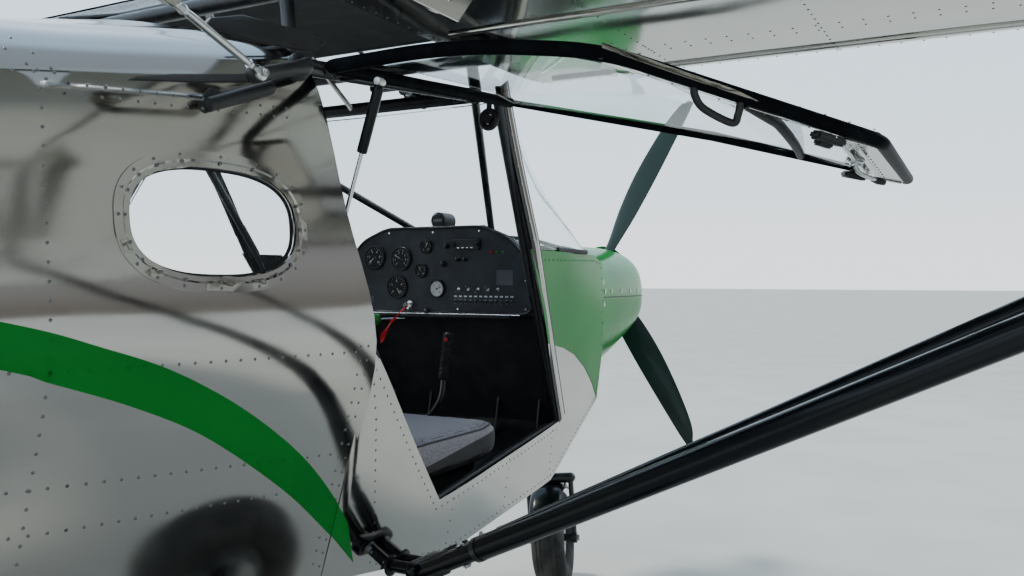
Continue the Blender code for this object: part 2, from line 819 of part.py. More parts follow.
def make_cabin_frame():
    inner = FRAME_INSET
    pieces = []
    front_roof = (FRONT_SPAR - 0.03, WING_UNDERSIDE + 0.030)
    rear_roof = (REAR_SPAR, WING_UNDERSIDE + 0.008)
    front_top = (DOOR_FRONT_HINGE[0] + 0.01, DOOR_FRONT_HINGE[1] + 0.010)
    rear_top = (DOOR_REAR_HINGE[0] + 0.01, DOOR_REAR_HINGE[1] + 0.005)
    sill_front = (DOOR_FRONT_FOOT[0] - 0.02, DOOR_FRONT_FOOT[1] - 0.045)
    sill_rear = (DOOR_REAR_FOOT[0] - 0.01, DOOR_REAR_FOOT[1] - 0.050)
    knee = (SEAM + 0.05, DOOR_KNEE[1] - 0.02)
    for side in (-1, 1):
        front = on_side(*front_top, side, inner)
        rear = on_side(*rear_top, side, inner)
        pieces.append(sweep([front, rear], FRAME_TUBE * 1.2))
        pieces.append(sweep([front + Vector((-0.004, 0, 0)), on_side(*sill_front, side, inner)], FRAME_TUBE))
        pieces.append(sweep([on_side(*sill_front, side, inner), on_side(*sill_rear, side, inner)], FRAME_TUBE))
        pieces.append(sweep([on_side(*sill_rear, side, inner), on_side(*knee, side, inner)], FRAME_TUBE))
        pieces.append(sweep([on_side(*knee, side, inner), rear + Vector((0.004, 0, 0))], FRAME_TUBE))
        pieces.append(sweep([place(1.300, side * 0.150, 1.4540), place(front_roof[0], side * 0.50, front_roof[1])],
                            FRAME_TUBE * 0.9))
        for corner in (sill_front, sill_rear, knee):
            pieces.append(rod(on_side(*corner, side, inner), on_side(*corner, side, stub_inset(*corner)), STUB, 8))
    edge = side_y(*front_top) - inner
    for station, z, half in ((front_top[0], front_top[1], edge), (rear_top[0], rear_top[1], edge)):
        pieces.append(sweep([place(station, -half, z), place(station, half, z)], FRAME_TUBE * 1.2))
    root = WING_ROOT - SEAT_GAP
    for (station, z), low in ((front_roof, front_top), (rear_roof, rear_top)):
        pieces.append(rod(place(station, -root, z), place(station, root, z), FRAME_TUBE * 1.2))
        for side in (-1, 1):
            pieces.append(rod(place(station, side * 0.505, z), on_side(*low, side, inner), FRAME_TUBE))
    for side in (-1, 1):
        rear, front = hinge_points(side)
        for share in HINGE_SHARES:
            at = rear + (front - rear) * share
            beam = on_side(*between(rear_top, front_top, share), side, inner)
            start = Vector((at.x, beam.y, at.z))
            pieces.append(rod(start, at - Vector((0, side * (HINGE_RADIUS + SEAT_GAP), 0)), 0.008, 8))
        upper, lower = gas_ends(side)
        post = on_side(*between(knee, rear_top, 0.46), side, inner)
        pieces.append(rod(post, lower + (post - lower).normalized() * (GAS_ROD + SEAT_GAP * 3.2), GAS_EYE_PIN, 12))
    base = node("cabin_frame", pieces[0], "black_steel")
    combine(base, pieces[1:], "UNION")


# Doors, built closed and swung open on their hinges
def hinge_points(side):
    outward = 0.004
    rear = on_side(*DOOR_REAR_HINGE, side, -outward)
    front = on_side(*DOOR_FRONT_HINGE, side, -outward)
    front.y = rear.y
    return rear, front


def door_swing(side):
    """The move from closed to open, about the hinge line."""
    rear, front = hinge_points(side)
    turn = Matrix.Rotation(side * DOOR_OPEN, 4, (front - rear).normalized())
    return Matrix.Translation(rear) @ turn @ Matrix.Translation(-rear)


def open_door(bm, side):
    """Swing closed geometry up about the hinge line."""
    bmesh.ops.transform(bm, matrix=door_swing(side), verts=bm.verts)
    return bm


def make_doors():
    top_rear = between(DOOR_REAR_HINGE, DOOR_KNEE, 0.035)
    top_front = between(DOOR_FRONT_HINGE, DOOR_FRONT_FOOT, 0.034)
    ring = [top_rear, between(top_rear, DOOR_KNEE, 0.5), DOOR_KNEE, DOOR_REAR_FOOT, DOOR_FRONT_FOOT,
            between(DOOR_FRONT_FOOT, top_front, 0.5), top_front]
    corners = [top_rear, DOOR_KNEE, DOOR_REAR_FOOT, DOOR_FRONT_FOOT, top_front]
    strip = inset(corners, DOOR_TUBE + DOOR_STRIP)
    for side, word in ((-1, "right"), (1, "left")):
        rear, front = hinge_points(side)
        parent = hinge_empty(f"door_hinge_{word}", rear)
        path = [on_side(*p, side, -DOOR_BULGE if i == 1 else 0.0) for i, p in enumerate(ring)]
        tube = node(f"door_frame_{word}", open_door(sweep(path, DOOR_TUBE), side), "black_paint",
                    origin=rear, parent=parent)
        top = sweep([on_side(*top_rear, side), on_side(*top_front, side)], DOOR_TUBE)
        skin_points = {
            "knee": on_side(*DOOR_KNEE, side, -0.0017),
            "foot": on_side(*DOOR_REAR_FOOT, side, -0.0017),
            "front": on_side(*DOOR_FRONT_FOOT, side, -0.0017),
            "front_in": on_side(*between(DOOR_FRONT_FOOT, top_front, 0.115), side, -0.0017),
            "foot_in": on_side(*strip[2], side, -0.0017),
            "knee_in": on_side(*strip[1], side, -0.0017),
        }
        skin = surface(skin_points, (("knee", "foot", "foot_in", "knee_in"),
                                     ("foot", "front", "front_in", "foot_in")))
        bmesh.ops.triangulate(skin, faces=skin.faces)
        skin = thicken(skin, 0.003, place(2.1, 0, 1.1))
        low_end = between(DOOR_KNEE, DOOR_REAR_FOOT, 0.53)
        high_end = between(DOOR_FRONT_FOOT, top_front, 0.20)
        middle = between(low_end, high_end, 0.5)
        brace = sweep([on_side(*low_end, side, 0.018), on_side(*between(low_end, high_end, 0.22), side, 0.034),
                       on_side(*middle, side, 0.038), on_side(*between(low_end, high_end, 0.78), side, 0.034),
                       on_side(*high_end, side, 0.018)], 0.009)
        axis = (front - rear).normalized()
        extras = [open_door(top, side), open_door(skin, side), open_door(brace, side)]
        for share in HINGE_SHARES:
            at = rear + (front - rear) * share
            extras.append(rod(at - axis * 0.03, at + axis * 0.03, HINGE_RADIUS, 12))
            seat = on_side(*top_rear, side).lerp(on_side(*top_front, side), share)
            extras.append(open_door(rod(at, seat, HINGE_LUG, 8), side))
        upper, lower = gas_ends(side)
        carrier = door_swing(side) @ on_side(*between(top_rear, DOOR_KNEE, 0.18), side)
        extras.append(rod(upper + (carrier - upper).normalized() * GAS_PIN_END, carrier, GAS_PIN, 8))
        combine(tube, extras, "UNION")
        bay = inset(ring, DOOR_TUBE + 0.0035)
        lap = inset(corners, DOOR_TUBE + DOOR_STRIP - GLASS_LAP)
        pane_points = {
            "rear_top": on_side(*bay[0], side, GLASS_INSET),
            "rear_mid": on_side(*bay[1], side, GLASS_INSET),
            "knee": on_side(*between(lap[1], bay[1], 0.03), side, GLASS_INSET),
            "foot": on_side(*lap[2], side, GLASS_INSET),
            "front_low": on_side(*between(bay[4], bay[5], 0.20), side, GLASS_INSET),
            "front_mid": on_side(*bay[5], side, GLASS_INSET),
            "front_top": on_side(*bay[6], side, GLASS_INSET),
        }
        pane = surface(pane_points, (("rear_top", "rear_mid", "front_mid", "front_top"),
                                     ("rear_mid", "knee", "foot", "front_low", "front_mid")))
        bmesh.ops.triangulate(pane, faces=pane.faces)
        pane = thicken(pane, GLASS * 0.75, place(2.1, 0, 1.1))
        node(f"door_glass_{word}", open_door(pane, side), "clear_glass", origin=rear, parent=parent,
             smooth=False)


GAS_STATION = 2.640
GAS_TOP_OUT = 0.100
GAS_TOP_DROP = 0.030
GAS_FOOT = (2.612, 1.395)
GAS_FOOT_INSET = 0.030
GAS_BODY = 0.135
GAS_RADIUS = 0.010
GAS_ROD = 0.0042
GAS_ROD_PAST = 0.0030
GAS_PIN = 0.0045
GAS_EYE_PIN = 0.0045
GAS_PIN_END = 0.0125


def gas_ends(side):
    """The strut's upper eye on the open door and its lower eye on the rear post."""
    rear, front = hinge_points(side)
    upper = place(GAS_STATION, rear.y + side * GAS_TOP_OUT, rear.z - GAS_TOP_DROP)
    lower = on_side(*GAS_FOOT, side, GAS_FOOT_INSET)
    return upper, lower


def make_gas_struts():
    for side, word in ((-1, "right"), (1, "left")):
        upper, lower = gas_ends(side)
        along = (lower - upper).normalized()
        reach = (lower - upper).length
        body_profile = [
            (-0.006, 0.0), (-0.006, GAS_RADIUS * 0.6), (0.012, GAS_RADIUS), (GAS_BODY, GAS_RADIUS),
            (GAS_BODY, GAS_ROD + 0.0006), (0.010, GAS_ROD + 0.0006), (0.010, 0.0),
        ]
        body = turned(body_profile, upper, along, 16, solid=True)
        node(f"gas_cylinder_{word}", body, "black_paint", origin=upper)
        start = upper + along * (GAS_BODY - 0.020)
        node(f"gas_rod_{word}", rod(start, upper + along * (reach + GAS_ROD_PAST), GAS_ROD, 16), "bright_rod",
             origin=upper)


# Cowling, engine, propeller
COWL = (
    # station, half width, top, bottom
    (COWL_FRONT, 0.205, 1.408, 1.130),
    (0.118, 0.245, 1.422, 1.095),
    (0.170, 0.278, 1.430, 1.065),
    (0.300, 0.318, 1.437, 1.020),
    (0.620, 0.372, 1.432, 0.925),
    (FIREWALL - PANEL_GAP, 0.424, 1.420, 0.858),
)
COWL_POINTS = 9
COWL_POWER = 2.7
COWL_HOLE_GAP = 0.030


def cowl_arch(station, half, edge, split):
    """Half a rounded section from one split line over to the other."""
    row = []
    for i in range(2 * COWL_POINTS + 1):
        turn = pi * i / (2 * COWL_POINTS)
        c = cos(turn)
        s = sin(turn)
        y = half * abs(c) ** (2 / COWL_POWER) * (1 if c > 0 else -1)
        z = split + (edge - split) * abs(s) ** (2 / COWL_POWER)
        row.append(place(station, y, z))
    return row


def make_cowl():
    half_gap = PANEL_GAP / 2
    inside = place(0.6, 0, COWL_SPLIT)
    hub_hole = (place(COWL_FRONT + 0.05, 0, HUB_HEIGHT), place(COWL_FRONT - 0.05, 0, HUB_HEIGHT))
    leg_hole = (place(LEG_FOOT[0], 0, LEG_FOOT[1]), place(LEG_TOP[0], 0, LEG_TOP[1]))
    holes = ((hub_hole, SHAFT_RADIUS + COWL_HOLE_GAP), (leg_hole, LEG_RADIUS + COWL_HOLE_GAP))
    for word, edge, split in (("upper", 2, COWL_SPLIT + half_gap), ("lower", 3, COWL_SPLIT - half_gap)):
        bm = grid([cowl_arch(row[0], row[1], row[edge], split) for row in COWL])
        bm.verts.ensure_lookup_table()
        bm.faces.new(bm.verts[:2 * COWL_POINTS + 1])
        shell = node(f"cowl_{word}", thicken(bm, SKIN, inside), "green_paint")
        combine(shell, [rod(*ends, radius, 18) for ends, radius in holes], "DIFFERENCE")


def make_engine():
    bm = block((0.32, -0.24, 1.100), (FIREWALL - 0.12, 0.24, 1.350))
    engine = node("engine", bm, "cast_metal", smooth=False)
    mount = block((FIREWALL - 0.13, -0.18, 1.12), (FIREWALL + 0.0037, 0.18, 1.26))
    shaft_end = HUB_LENGTH / 2 + SEAT_GAP
    shaft = rod(place(0.33, 0, HUB_HEIGHT), place(shaft_end, 0, HUB_HEIGHT), SHAFT_RADIUS, 16)
    combine(engine, [mount, shaft], "UNION")


BLADE = (
    # radius, chord, twist from the disc in degrees, thickness, sweep of its middle line
    (0.055, 0.056, 38.0, 0.040, 0.000),
    (0.160, 0.078, 33.0, 0.026, 0.002),
    (0.300, 0.112, 26.0, 0.018, 0.006),
    (0.480, 0.118, 19.0, 0.013, 0.006),
    (0.680, 0.098, 14.0, 0.009, -0.002),
    (0.830, 0.068, 11.5, 0.006, -0.014),
    (BLADE_RADIUS, 0.028, 10.5, 0.004, -0.030),
)


def blade(turn):
    """One blade, along a direction in the disc; turn is measured from starboard, upwards."""
    out = Vector((0, -cos(turn), sin(turn)))
    round_way = Vector((0, sin(turn), cos(turn)))
    ahead = Vector((1, 0, 0))
    rings = []
    for radius, chord, twist, thick, lean in BLADE:
        flat = round_way * cos(radians(twist)) + ahead * sin(radians(twist))
        up = ahead * cos(radians(twist)) - round_way * sin(radians(twist))
        middle = place(0, 0, HUB_HEIGHT) + out * radius + round_way * lean
        shape = ((0.50, 0.0), (0.30, 0.42), (-0.05, 0.55), (-0.50, 0.08), (-0.50, -0.08), (-0.05, -0.35), (0.30, -0.30))
        rings.append([middle + flat * (u * chord) + up * (v * thick) for u, v in shape])
    return loft(rings)


def make_propeller():
    hub = place(0, 0, HUB_HEIGHT)
    profile = [(-HUB_LENGTH / 2, 0.0), (-HUB_LENGTH / 2, HUB_RADIUS), (HUB_LENGTH / 2, HUB_RADIUS),
               (HUB_LENGTH / 2, 0.0)]
    propeller = node("propeller", turned(profile, hub, (1, 0, 0), 22, solid=True), "composite", origin=hub)
    blades = [blade(BLADE_ANGLE - 2 * pi * i / BLADE_COUNT) for i in range(BLADE_COUNT)]
    combine(propeller, blades, "UNION")
    nose = NOSE_REACH
    base = SPINNER_BASE
    profile = [
        (base, 0.0), (base, SPINNER_RADIUS), (base + 0.05, SPINNER_RADIUS * 0.93),
        (base + 0.10, SPINNER_RADIUS * 0.74), (nose - 0.03, SPINNER_RADIUS * 0.44),
        (nose - 0.006, SPINNER_RADIUS * 0.18), (nose, 0.0),
    ]
    node("spinner", turned(profile, hub, (1, 0, 0), 24, solid=True), "green_paint", origin=hub)


# Landing gear
def tyre_profile(radius, width, rim):
    """Closed tyre section as (along the axle, radius)."""
    points = []
    middle = (radius + rim) / 2 + 0.004
    for i in range(16):
        turn = 2 * pi * i / 16
        c = cos(turn)
        s = sin(turn)
        r = middle + (radius - middle if s > 0 else middle - rim) * abs(s) ** 0.8 * (1 if s > 0 else -1)
        points.append((width / 2 * abs(c) ** 0.75 * (1 if c > 0 else -1), r))
    return points


def rim_profile(rim, width, bore):
    half = width / 2
    seat = rim - SEAT_GAP * 3
    return [
        (-half * 0.72, bore), (half * 0.72, bore), (half * 0.72, bore + 0.022), (half * 0.30, bore + 0.028),
        (half * 0.30, seat - 0.018), (half * 0.62, seat - 0.006), (half * 0.62, seat), (-half * 0.62, seat),
        (-half * 0.62, seat - 0.006), (-half * 0.30, seat - 0.018), (-half * 0.30, bore + 0.028),
        (-half * 0.72, bore + 0.022),
    ]


def make_main_gear():
    z_axle = MAIN_TYRE_RADIUS
    knee = 0.30
    width = 0.050
    top = floor_height(MAIN_STATION - width) - SEAT_GAP
    thick = 0.020
    end_y = MAIN_TRACK / 2 - MAIN_TYRE_WIDTH / 2 - 0.030
    half = [(knee, top), (knee + 0.08, top - 0.024), (end_y - 0.04, z_axle + 0.075),
            (end_y, z_axle + 0.045), (end_y, z_axle - 0.035),
            (end_y - thick, z_axle - 0.035), (end_y - thick, z_axle + 0.036),
            (end_y - 0.055, z_axle + 0.056), (knee + 0.072, top - 0.024 - thick), (knee - 0.004, top - thick)]
    outline = half + [(-y, z) for y, z in reversed(half)]
    near = [place(MAIN_STATION - width, y, z) for y, z in outline]
    far = [place(MAIN_STATION + width, y, z) for y, z in outline]
    node("main_gear_leg", loft([near, far]), "black_steel", smooth=False)
    for side, word in ((-1, "right"), (1, "left")):
        start = place(MAIN_STATION, side * (end_y + SEAT_GAP), z_axle)
        collar = AXLE_RADIUS * 1.9
        reach = MAIN_TRACK / 2 + 0.062 - end_y
        profile = [(0.0, 0.0), (0.0, collar), (0.014, collar), (0.014, AXLE_RADIUS), (reach, AXLE_RADIUS),
                   (reach, 0.0)]
        node(f"axle_{word}", turned(profile, start, (0, side, 0), ROUND, solid=True), "black_steel")
        centre = place(MAIN_STATION, side * MAIN_TRACK / 2, z_axle)
        parent = hinge_empty(f"wheel_axis_{word}", centre)
        rim = rim_profile(MAIN_RIM_RADIUS, MAIN_TYRE_WIDTH, AXLE_RADIUS + RUNNING_GAP)
        node(f"main_rim_{word}", turned(rim, centre, (0, 1, 0), ROUND), "cast_metal", origin=centre, parent=parent)
        tyre = tyre_profile(MAIN_TYRE_RADIUS, MAIN_TYRE_WIDTH, MAIN_RIM_RADIUS)
        node(f"main_tyre_{word}", turned(tyre, centre, (0, 1, 0), 32), "rubber", origin=centre, parent=parent)


def steer_frame():
    """The steering axis: a point on it and its direction, upwards."""
    foot = place(LEG_FOOT[0], 0, LEG_FOOT[1])
    top = place(LEG_TOP[0], 0, LEG_TOP[1])
    return foot, (top - foot).normalized()


def steered(bm):
    """Turn straight-ahead geometry to where the nose wheel stands."""
    foot, axis = steer_frame()
    move = Matrix.Translation(foot) @ Matrix.Rotation(STEER_REST, 4, axis) @ Matrix.Translation(-foot)
    bmesh.ops.transform(bm, matrix=move, verts=bm.verts)
    return bm


def steered_point(point):
    """Where a straight-ahead point lies once the nose wheel is turned."""
    foot, axis = steer_frame()
    return foot + Matrix.Rotation(STEER_REST, 3, axis) @ (point - foot)


def make_nose_gear():
    foot, axis = steer_frame()
    top = place(LEG_TOP[0], 0, LEG_TOP[1])
    leg = node("nose_leg", rod(foot, top, LEG_RADIUS, 16), "black_steel")
    reach = block((LEG_TOP[0] - 0.004, -0.05, 0.950), (FIREWALL + 0.0037, 0.05, 0.985))
    combine(leg, [reach], "UNION")
    axle = place(NOSE_AXLE_STATION, 0, NOSE_TYRE_RADIUS)
    crown = foot - axis * 0.115
    arm = NOSE_TYRE_WIDTH / 2 + 0.024
    pieces = [
        sweep([crown + Vector((0, -arm, 0)), crown + Vector((0, arm, 0))], 0.022),
        sweep([axle + Vector((0, -arm - 0.012, 0)), axle + Vector((0, arm + 0.012, 0))], AXLE_RADIUS, ROUND),
    ]
    for side in (-1, 1):
        shift = Vector((0, side * arm, 0))
        pieces.append(sweep([crown + shift, axle + shift - Vector((0, 0, 0.012))], 0.014))
    stem = rod(foot - axis * SEAT_GAP * 3, crown - axis * 0.01, 0.024, 16)
    steer = hinge_empty("nose_steering_axis", foot)
    fork = node("nose_fork", steered(stem), "black_steel", origin=foot, parent=steer)
    combine(fork, [steered(piece) for piece in pieces], "UNION")
    hub = steered_point(axle)
    rim = rim_profile(NOSE_RIM_RADIUS, NOSE_TYRE_WIDTH, AXLE_RADIUS + RUNNING_GAP)
    node("nose_rim", steered(turned(rim, axle, (0, 1, 0), ROUND)), "cast_metal", origin=hub, parent=steer)
    tyre = tyre_profile(NOSE_TYRE_RADIUS, NOSE_TYRE_WIDTH, NOSE_RIM_RADIUS)
    node("nose_tyre", steered(turned(tyre, axle, (0, 1, 0), 32)), "rubber", origin=hub, parent=steer)
    rows = []
    radius = NOSE_TYRE_RADIUS + FENDER_CLEARANCE
    for step in range(9):
        turn = radians(52 + 12 * step)
        across = [(-0.066, -0.016), (-0.045, 0.0), (0.045, 0.0), (0.066, -0.016)]
        rows.append([axle + Vector((cos(turn) * (radius + d), y, sin(turn) * (radius + d))) for y, d in across])
    fender = thicken(grid(rows), 0.003, axle)
    node("nose_fender", steered(fender), "black_paint", origin=foot, parent=steer)


# Tail
def tail_ring(leading, trailing, thick, at_point):
    """A thin symmetric section; at_point turns (station, offset) into a place."""
    chord = trailing - leading
    table = ((0.0, 0.0), (0.04, 0.55), (0.25, 1.0), (0.65, 0.80), (1.0, 0.34))
    upper = [at_point(leading + chord * a, thick / 2 * t) for a, t in table]
    lower = [at_point(leading + chord * a, -thick / 2 * t) for a, t in reversed(table[1:])]
    return upper + lower


HINGE_NOTCH = 0.040
TAIL_BARREL = 0.008


def hinge_pieces(axis_at, along, ahead):
    """A hinge: the notch cut from the moving surface, and the barrel and arm of the fixed one."""
    along = Vector(along)
    ahead = Vector(ahead)
    cut = bmesh.new()
    bmesh.ops.create_cube(cut, size=1.0)
    size = Vector([HINGE_NOTCH if abs(c) > 0.5 else 0.09 for c in along])
    bmesh.ops.scale(cut, vec=size, verts=cut.verts)
    bmesh.ops.translate(cut, vec=axis_at + ahead * 0.031, verts=cut.verts)
    half = along * (HINGE_NOTCH / 2 - SEAT_GAP)
    barrel = rod(axis_at - half, axis_at + half, TAIL_BARREL, 12)
    arm = rod(axis_at, axis_at + ahead * 0.045, 0.005, 8)
    return cut, barrel, arm


def hang(mover, carrier, places, along, ahead):
    """Hinge a control surface on its fixed surface at several places."""
    for axis_at in places:
        cut, barrel, arm = hinge_pieces(axis_at, along, ahead)
        combine(mover, [cut], "DIFFERENCE")
        combine(carrier, [barrel, arm], "UNION")


def make_tail():
    base = side_row(CONE_END)[5] + crown_row(CONE_END)[2] + TAILPLANE_THICK / 2 + SEAT_GAP

    def across(y):
        return lambda s, offset: place(s, y, base + offset)

    rings = [tail_ring(STABILIZER_LEADING, ELEVATOR_HINGE - 0.024, TAILPLANE_THICK, across(y))
             for y in (-TAIL_HALF_SPAN, TAIL_HALF_SPAN)]
    stabilizer = node("stabilizer", loft(rings), "polished_aluminium")
    axis = place(ELEVATOR_HINGE, 0, base)
    shape = []
    rear = ELEVATOR_TRAILING
    nose = ELEVATOR_HINGE - 0.014
    top = [(nose, 0.006), (ELEVATOR_HINGE + 0.02, 0.019), (ELEVATOR_HINGE + 0.12, 0.017), (rear, 0.004)]
    for s, offset in top:
        shape.append((s, offset))
    for s, offset in reversed(top):
        shape.append((s, -offset))
    rings = [[place(s, y, base + offset) for s, offset in shape] for y in (-TAIL_HALF_SPAN, TAIL_HALF_SPAN)]
    elevator = node("elevator", loft(rings), "polished_aluminium", origin=axis)
    notch = [(ELEVATOR_HINGE + 0.018, 0.085), (rear + 0.05, 0.215)]
    low = []
    high = []
    for z, ring in ((base - 0.1, low), (base + 0.1, high)):
        for s, y in (notch[0], notch[1]):
            ring.append(place(s, y, z))
        for s, y in (notch[1], notch[0]):
            ring.append(place(s, -y, z))
    combine(elevator, [loft([low, high])], "DIFFERENCE")
    spans = [place(ELEVATOR_HINGE, side * y, base) for side in (-1, 1) for y in (0.32, 1.08)]
    hang(elevator, stabilizer, spans, (0, 1, 0), (1, 0, 0))

    fin_base = base + TAILPLANE_THICK / 2 + SEAT_GAP
    fin_table = ((fin_base, STABILIZER_LEADING + 0.06, 0.075), (fin_base + 0.25, 5.56, 0.070), (FIN_TOP, 5.78, 0.045))

    def upright(z):
        return lambda s, offset: place(s, offset, z)

    rings = [tail_ring(leading, RUDDER_HINGE - 0.028, thick, upright(z)) for z, leading, thick in fin_table]
    fin = node("fin", loft(rings), "polished_aluminium")
    rudder_table = ((1.175, 6.22, 0.046), (fin_base, 6.34, 0.052), (1.90, TAIL_STATION, 0.050),
                    (FIN_TOP, 6.30, 0.040))
    rings = []
    for z, trailing, thick in rudder_table:
        nose = RUDDER_HINGE - 0.014
        half = [(nose, thick * 0.20), (RUDDER_HINGE + 0.02, thick * 0.5), (trailing - 0.12, thick * 0.34),
                (trailing, 0.004)]
        ring = [place(s, y, z) for s, y in half] + [place(s, -y, z) for s, y in reversed(half)]
        rings.append(ring)
    rudder = node("rudder", loft(rings), "green_paint", origin=place(RUDDER_HINGE, 0, fin_base))
    heights = [place(RUDDER_HINGE, 0, z) for z in (fin_base + 0.10, FIN_TOP - 0.22)]
    hang(rudder, fin, heights, (0, 0, 1), (1, 0, 0))


# Cabin fittings
def make_cabin():
    top_half = 0.19
    outline = [(0.375, PANEL_BOTTOM), (0.375, 1.290), (0.345, 1.360), (0.290, 1.420), (top_half, PANEL_TOP)]
    ring = [(-y, z) for y, z in outline] + [(y, z) for y, z in reversed(outline)]
    near = [place(PANEL_STATION, y, z) for y, z in ring]
    far = [place(PANEL_STATION - 0.012, y, z) for y, z in ring]
    node("instrument_panel", loft([near, far]), "panel_black", smooth=False)
    arch = [(-y, z) for y, z in outline[1:]] + [(y, z) for y, z in reversed(outline[1:])]
    rows = []
    for station, drop in ((PANEL_STATION - 0.0134, 0.0), (1.30, 0.022), (1.215, 0.040)):
        rows.append([place(station, y * (1 - drop * 2.4), z - drop + 0.003) for y, z in arch])
    shield = node("glareshield", thicken(grid(rows), 0.003, place(1.3, 0, 1.1)), "panel_black")
    compass_z = PANEL_TOP + COMPASS_RADIUS - 0.004
    compass = rod(place(COMPASS_STATION + 0.030, 0, compass_z), place(COMPASS_STATION - 0.030, 0, compass_z),
                  COMPASS_RADIUS, 16)
    foot = rod(place(COMPASS_STATION, 0, PANEL_TOP - 0.014), place(COMPASS_STATION, 0, compass_z), 0.012, 12)
    combine(shield, [compass, foot], "UNION")
    for side, word in ((-1, "right"), (1, "left")):
        y = side * SEAT_MIDDLE
        half = SEAT_HALF_WIDTH
        low = CUSHION_TOP - CUSHION_THICK
        cushion = block((SEAT_FRONT, y - half, low), (SEAT_REAR, y + half, CUSHION_TOP))
        bmesh.ops.bevel(cushion, geom=cushion.edges[:], offset=0.022, segments=2, affect="EDGES")
        node(f"seat_cushion_{word}", cushion, "grey_fabric")
        back_foot = SEAT_REAR + 0.004
        outline = [(back_foot, low), (back_foot + 0.075, low), (back_foot + 0.190, SEAT_BACK_TOP - 0.010),
                   (back_foot + 0.120, SEAT_BACK_TOP)]
        back = plate(outline, y, half * 2)
        bmesh.ops.bevel(back, geom=back.edges[:], offset=0.020, segments=2, affect="EDGES")
        node(f"seat_back_{word}", back, "grey_fabric")
    pan = SEAT_MIDDLE + SEAT_HALF_WIDTH - 0.005
    base = block((SEAT_FRONT + 0.02, -pan, CUSHION_TOP - CUSHION_THICK - 0.012),
                 (SEAT_REAR + 0.07, pan, CUSHION_TOP - CUSHION_THICK - SEAT_GAP))
    seat = node("seat_pan", base, "black_paint", smooth=False)
    rest = SKIN + 0.0006
    risers = []
    for y in (-pan + 0.03, 0.0, pan - 0.03):
        risers.append(plate([(SEAT_FRONT + 0.05, floor_height(SEAT_FRONT + 0.05) + rest),
                             (STRUT_FRAME, floor_height(STRUT_FRAME) + rest),
                             (SEAT_REAR, floor_height(SEAT_REAR) + rest),
                             (SEAT_REAR, CUSHION_TOP - CUSHION_THICK - 0.006),
                             (SEAT_FRONT + 0.05, CUSHION_TOP - CUSHION_THICK - 0.006)], y, 0.012))
    combine(seat, risers, "UNION")
    stick_foot = place(1.62, -0.055, floor_height(1.62) + SKIN + 0.0022)
    stick_path = [stick_foot, place(1.625, -0.075, 0.80), place(1.600, -0.140, 0.905), place(1.565, -0.150, 1.115)]
    node("control_stick", sweep(stick_path, 0.011), "black_steel")


def floor_height(station):
    return side_row(station)[1]


def make_flap_linkage():
    """Torque arm out of the side of the fuselage, and its pushrod up to the flaperon's horn."""
    for side, word in ((-1, "right"), (1, "left")):
        root = place(2.735, side * (side_y(2.735, 1.652) + 0.0022), 1.652)
        knuckle = place(2.735, side * (side_y(2.73, 1.650) + 0.030), 1.652)
        tip = place(2.880, side * (side_y(2.73, 1.650) + 0.045), 1.606)
        arm = node(f"flap_linkage_{word}", sweep([root, knuckle, tip], 0.010), "black_paint")
        horn = place(FLAP_AXIS[0] + 0.001, side * FLAP_ROOT, FLAP_AXIS[1] - 0.060)
        combine(arm, [rod(tip, horn, 0.006)], "UNION")


make_rear_panes(make_rear_fuselage())
make_cabin_sides()
make_floor()
make_firewall()
make_scuttle()
make_windshield()
make_wings()
make_flaperons()
make_roof()
make_struts()
make_cabin_frame()
make_doors()
make_gas_struts()
make_cowl()
make_engine()
make_propeller()
make_main_gear()
make_nose_gear()
make_tail()
make_cabin()
make_flap_linkage()
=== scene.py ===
"""The finished look of the light high-wing aircraft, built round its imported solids.

Metres. +X is the nose, +Y the left side, +Z up. Lengthwise places are stations: the
distance behind the propeller's disc. The solids stay where they are; the pieces made
here either cover a solid, or take its place.
"""
import json
from math import cos, hypot, pi, radians, sin

import bmesh
import bpy
from mathutils import Matrix, Vector, noise
from mathutils.bvhtree import BVHTree


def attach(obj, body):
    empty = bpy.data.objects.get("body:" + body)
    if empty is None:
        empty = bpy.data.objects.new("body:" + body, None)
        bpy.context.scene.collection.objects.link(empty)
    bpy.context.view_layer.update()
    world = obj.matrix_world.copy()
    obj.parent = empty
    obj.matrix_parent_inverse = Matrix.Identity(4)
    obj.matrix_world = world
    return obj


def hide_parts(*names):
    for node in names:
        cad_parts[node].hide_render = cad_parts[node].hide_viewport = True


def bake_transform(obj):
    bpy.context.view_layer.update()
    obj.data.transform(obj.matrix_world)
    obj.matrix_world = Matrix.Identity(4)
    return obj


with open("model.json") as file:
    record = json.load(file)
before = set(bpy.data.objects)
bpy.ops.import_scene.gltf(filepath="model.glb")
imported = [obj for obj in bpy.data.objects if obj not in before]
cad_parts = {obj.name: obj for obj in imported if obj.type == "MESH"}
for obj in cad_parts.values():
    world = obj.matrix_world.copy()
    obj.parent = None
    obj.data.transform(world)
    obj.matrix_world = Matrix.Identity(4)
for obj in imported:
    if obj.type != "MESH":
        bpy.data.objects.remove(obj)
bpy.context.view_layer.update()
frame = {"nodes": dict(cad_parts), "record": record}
NODES = frame["nodes"]

ORIGIN_STATION = 3.08
UP = Vector((0, 0, 1))
FRONT = Vector((1, 0, 0))
SIDES = ((-1, "right"), (1, "left"))


def place(station, y, z):
    """A point from its station, side and height."""
    return Vector((ORIGIN_STATION - station, y, z))


def between(a, b, share):
    return tuple(u + (v - u) * share for u, v in zip(a, b))


def put(name, data):
    """A new object in the scene."""
    made = bpy.data.objects.new(name, data)
    bpy.context.scene.collection.objects.link(made)
    return made


def mesh_from(name, bm):
    """A mesh from a bmesh, which is freed."""
    mesh = bpy.data.meshes.new(name)
    bm.to_mesh(mesh)
    bm.free()
    return mesh


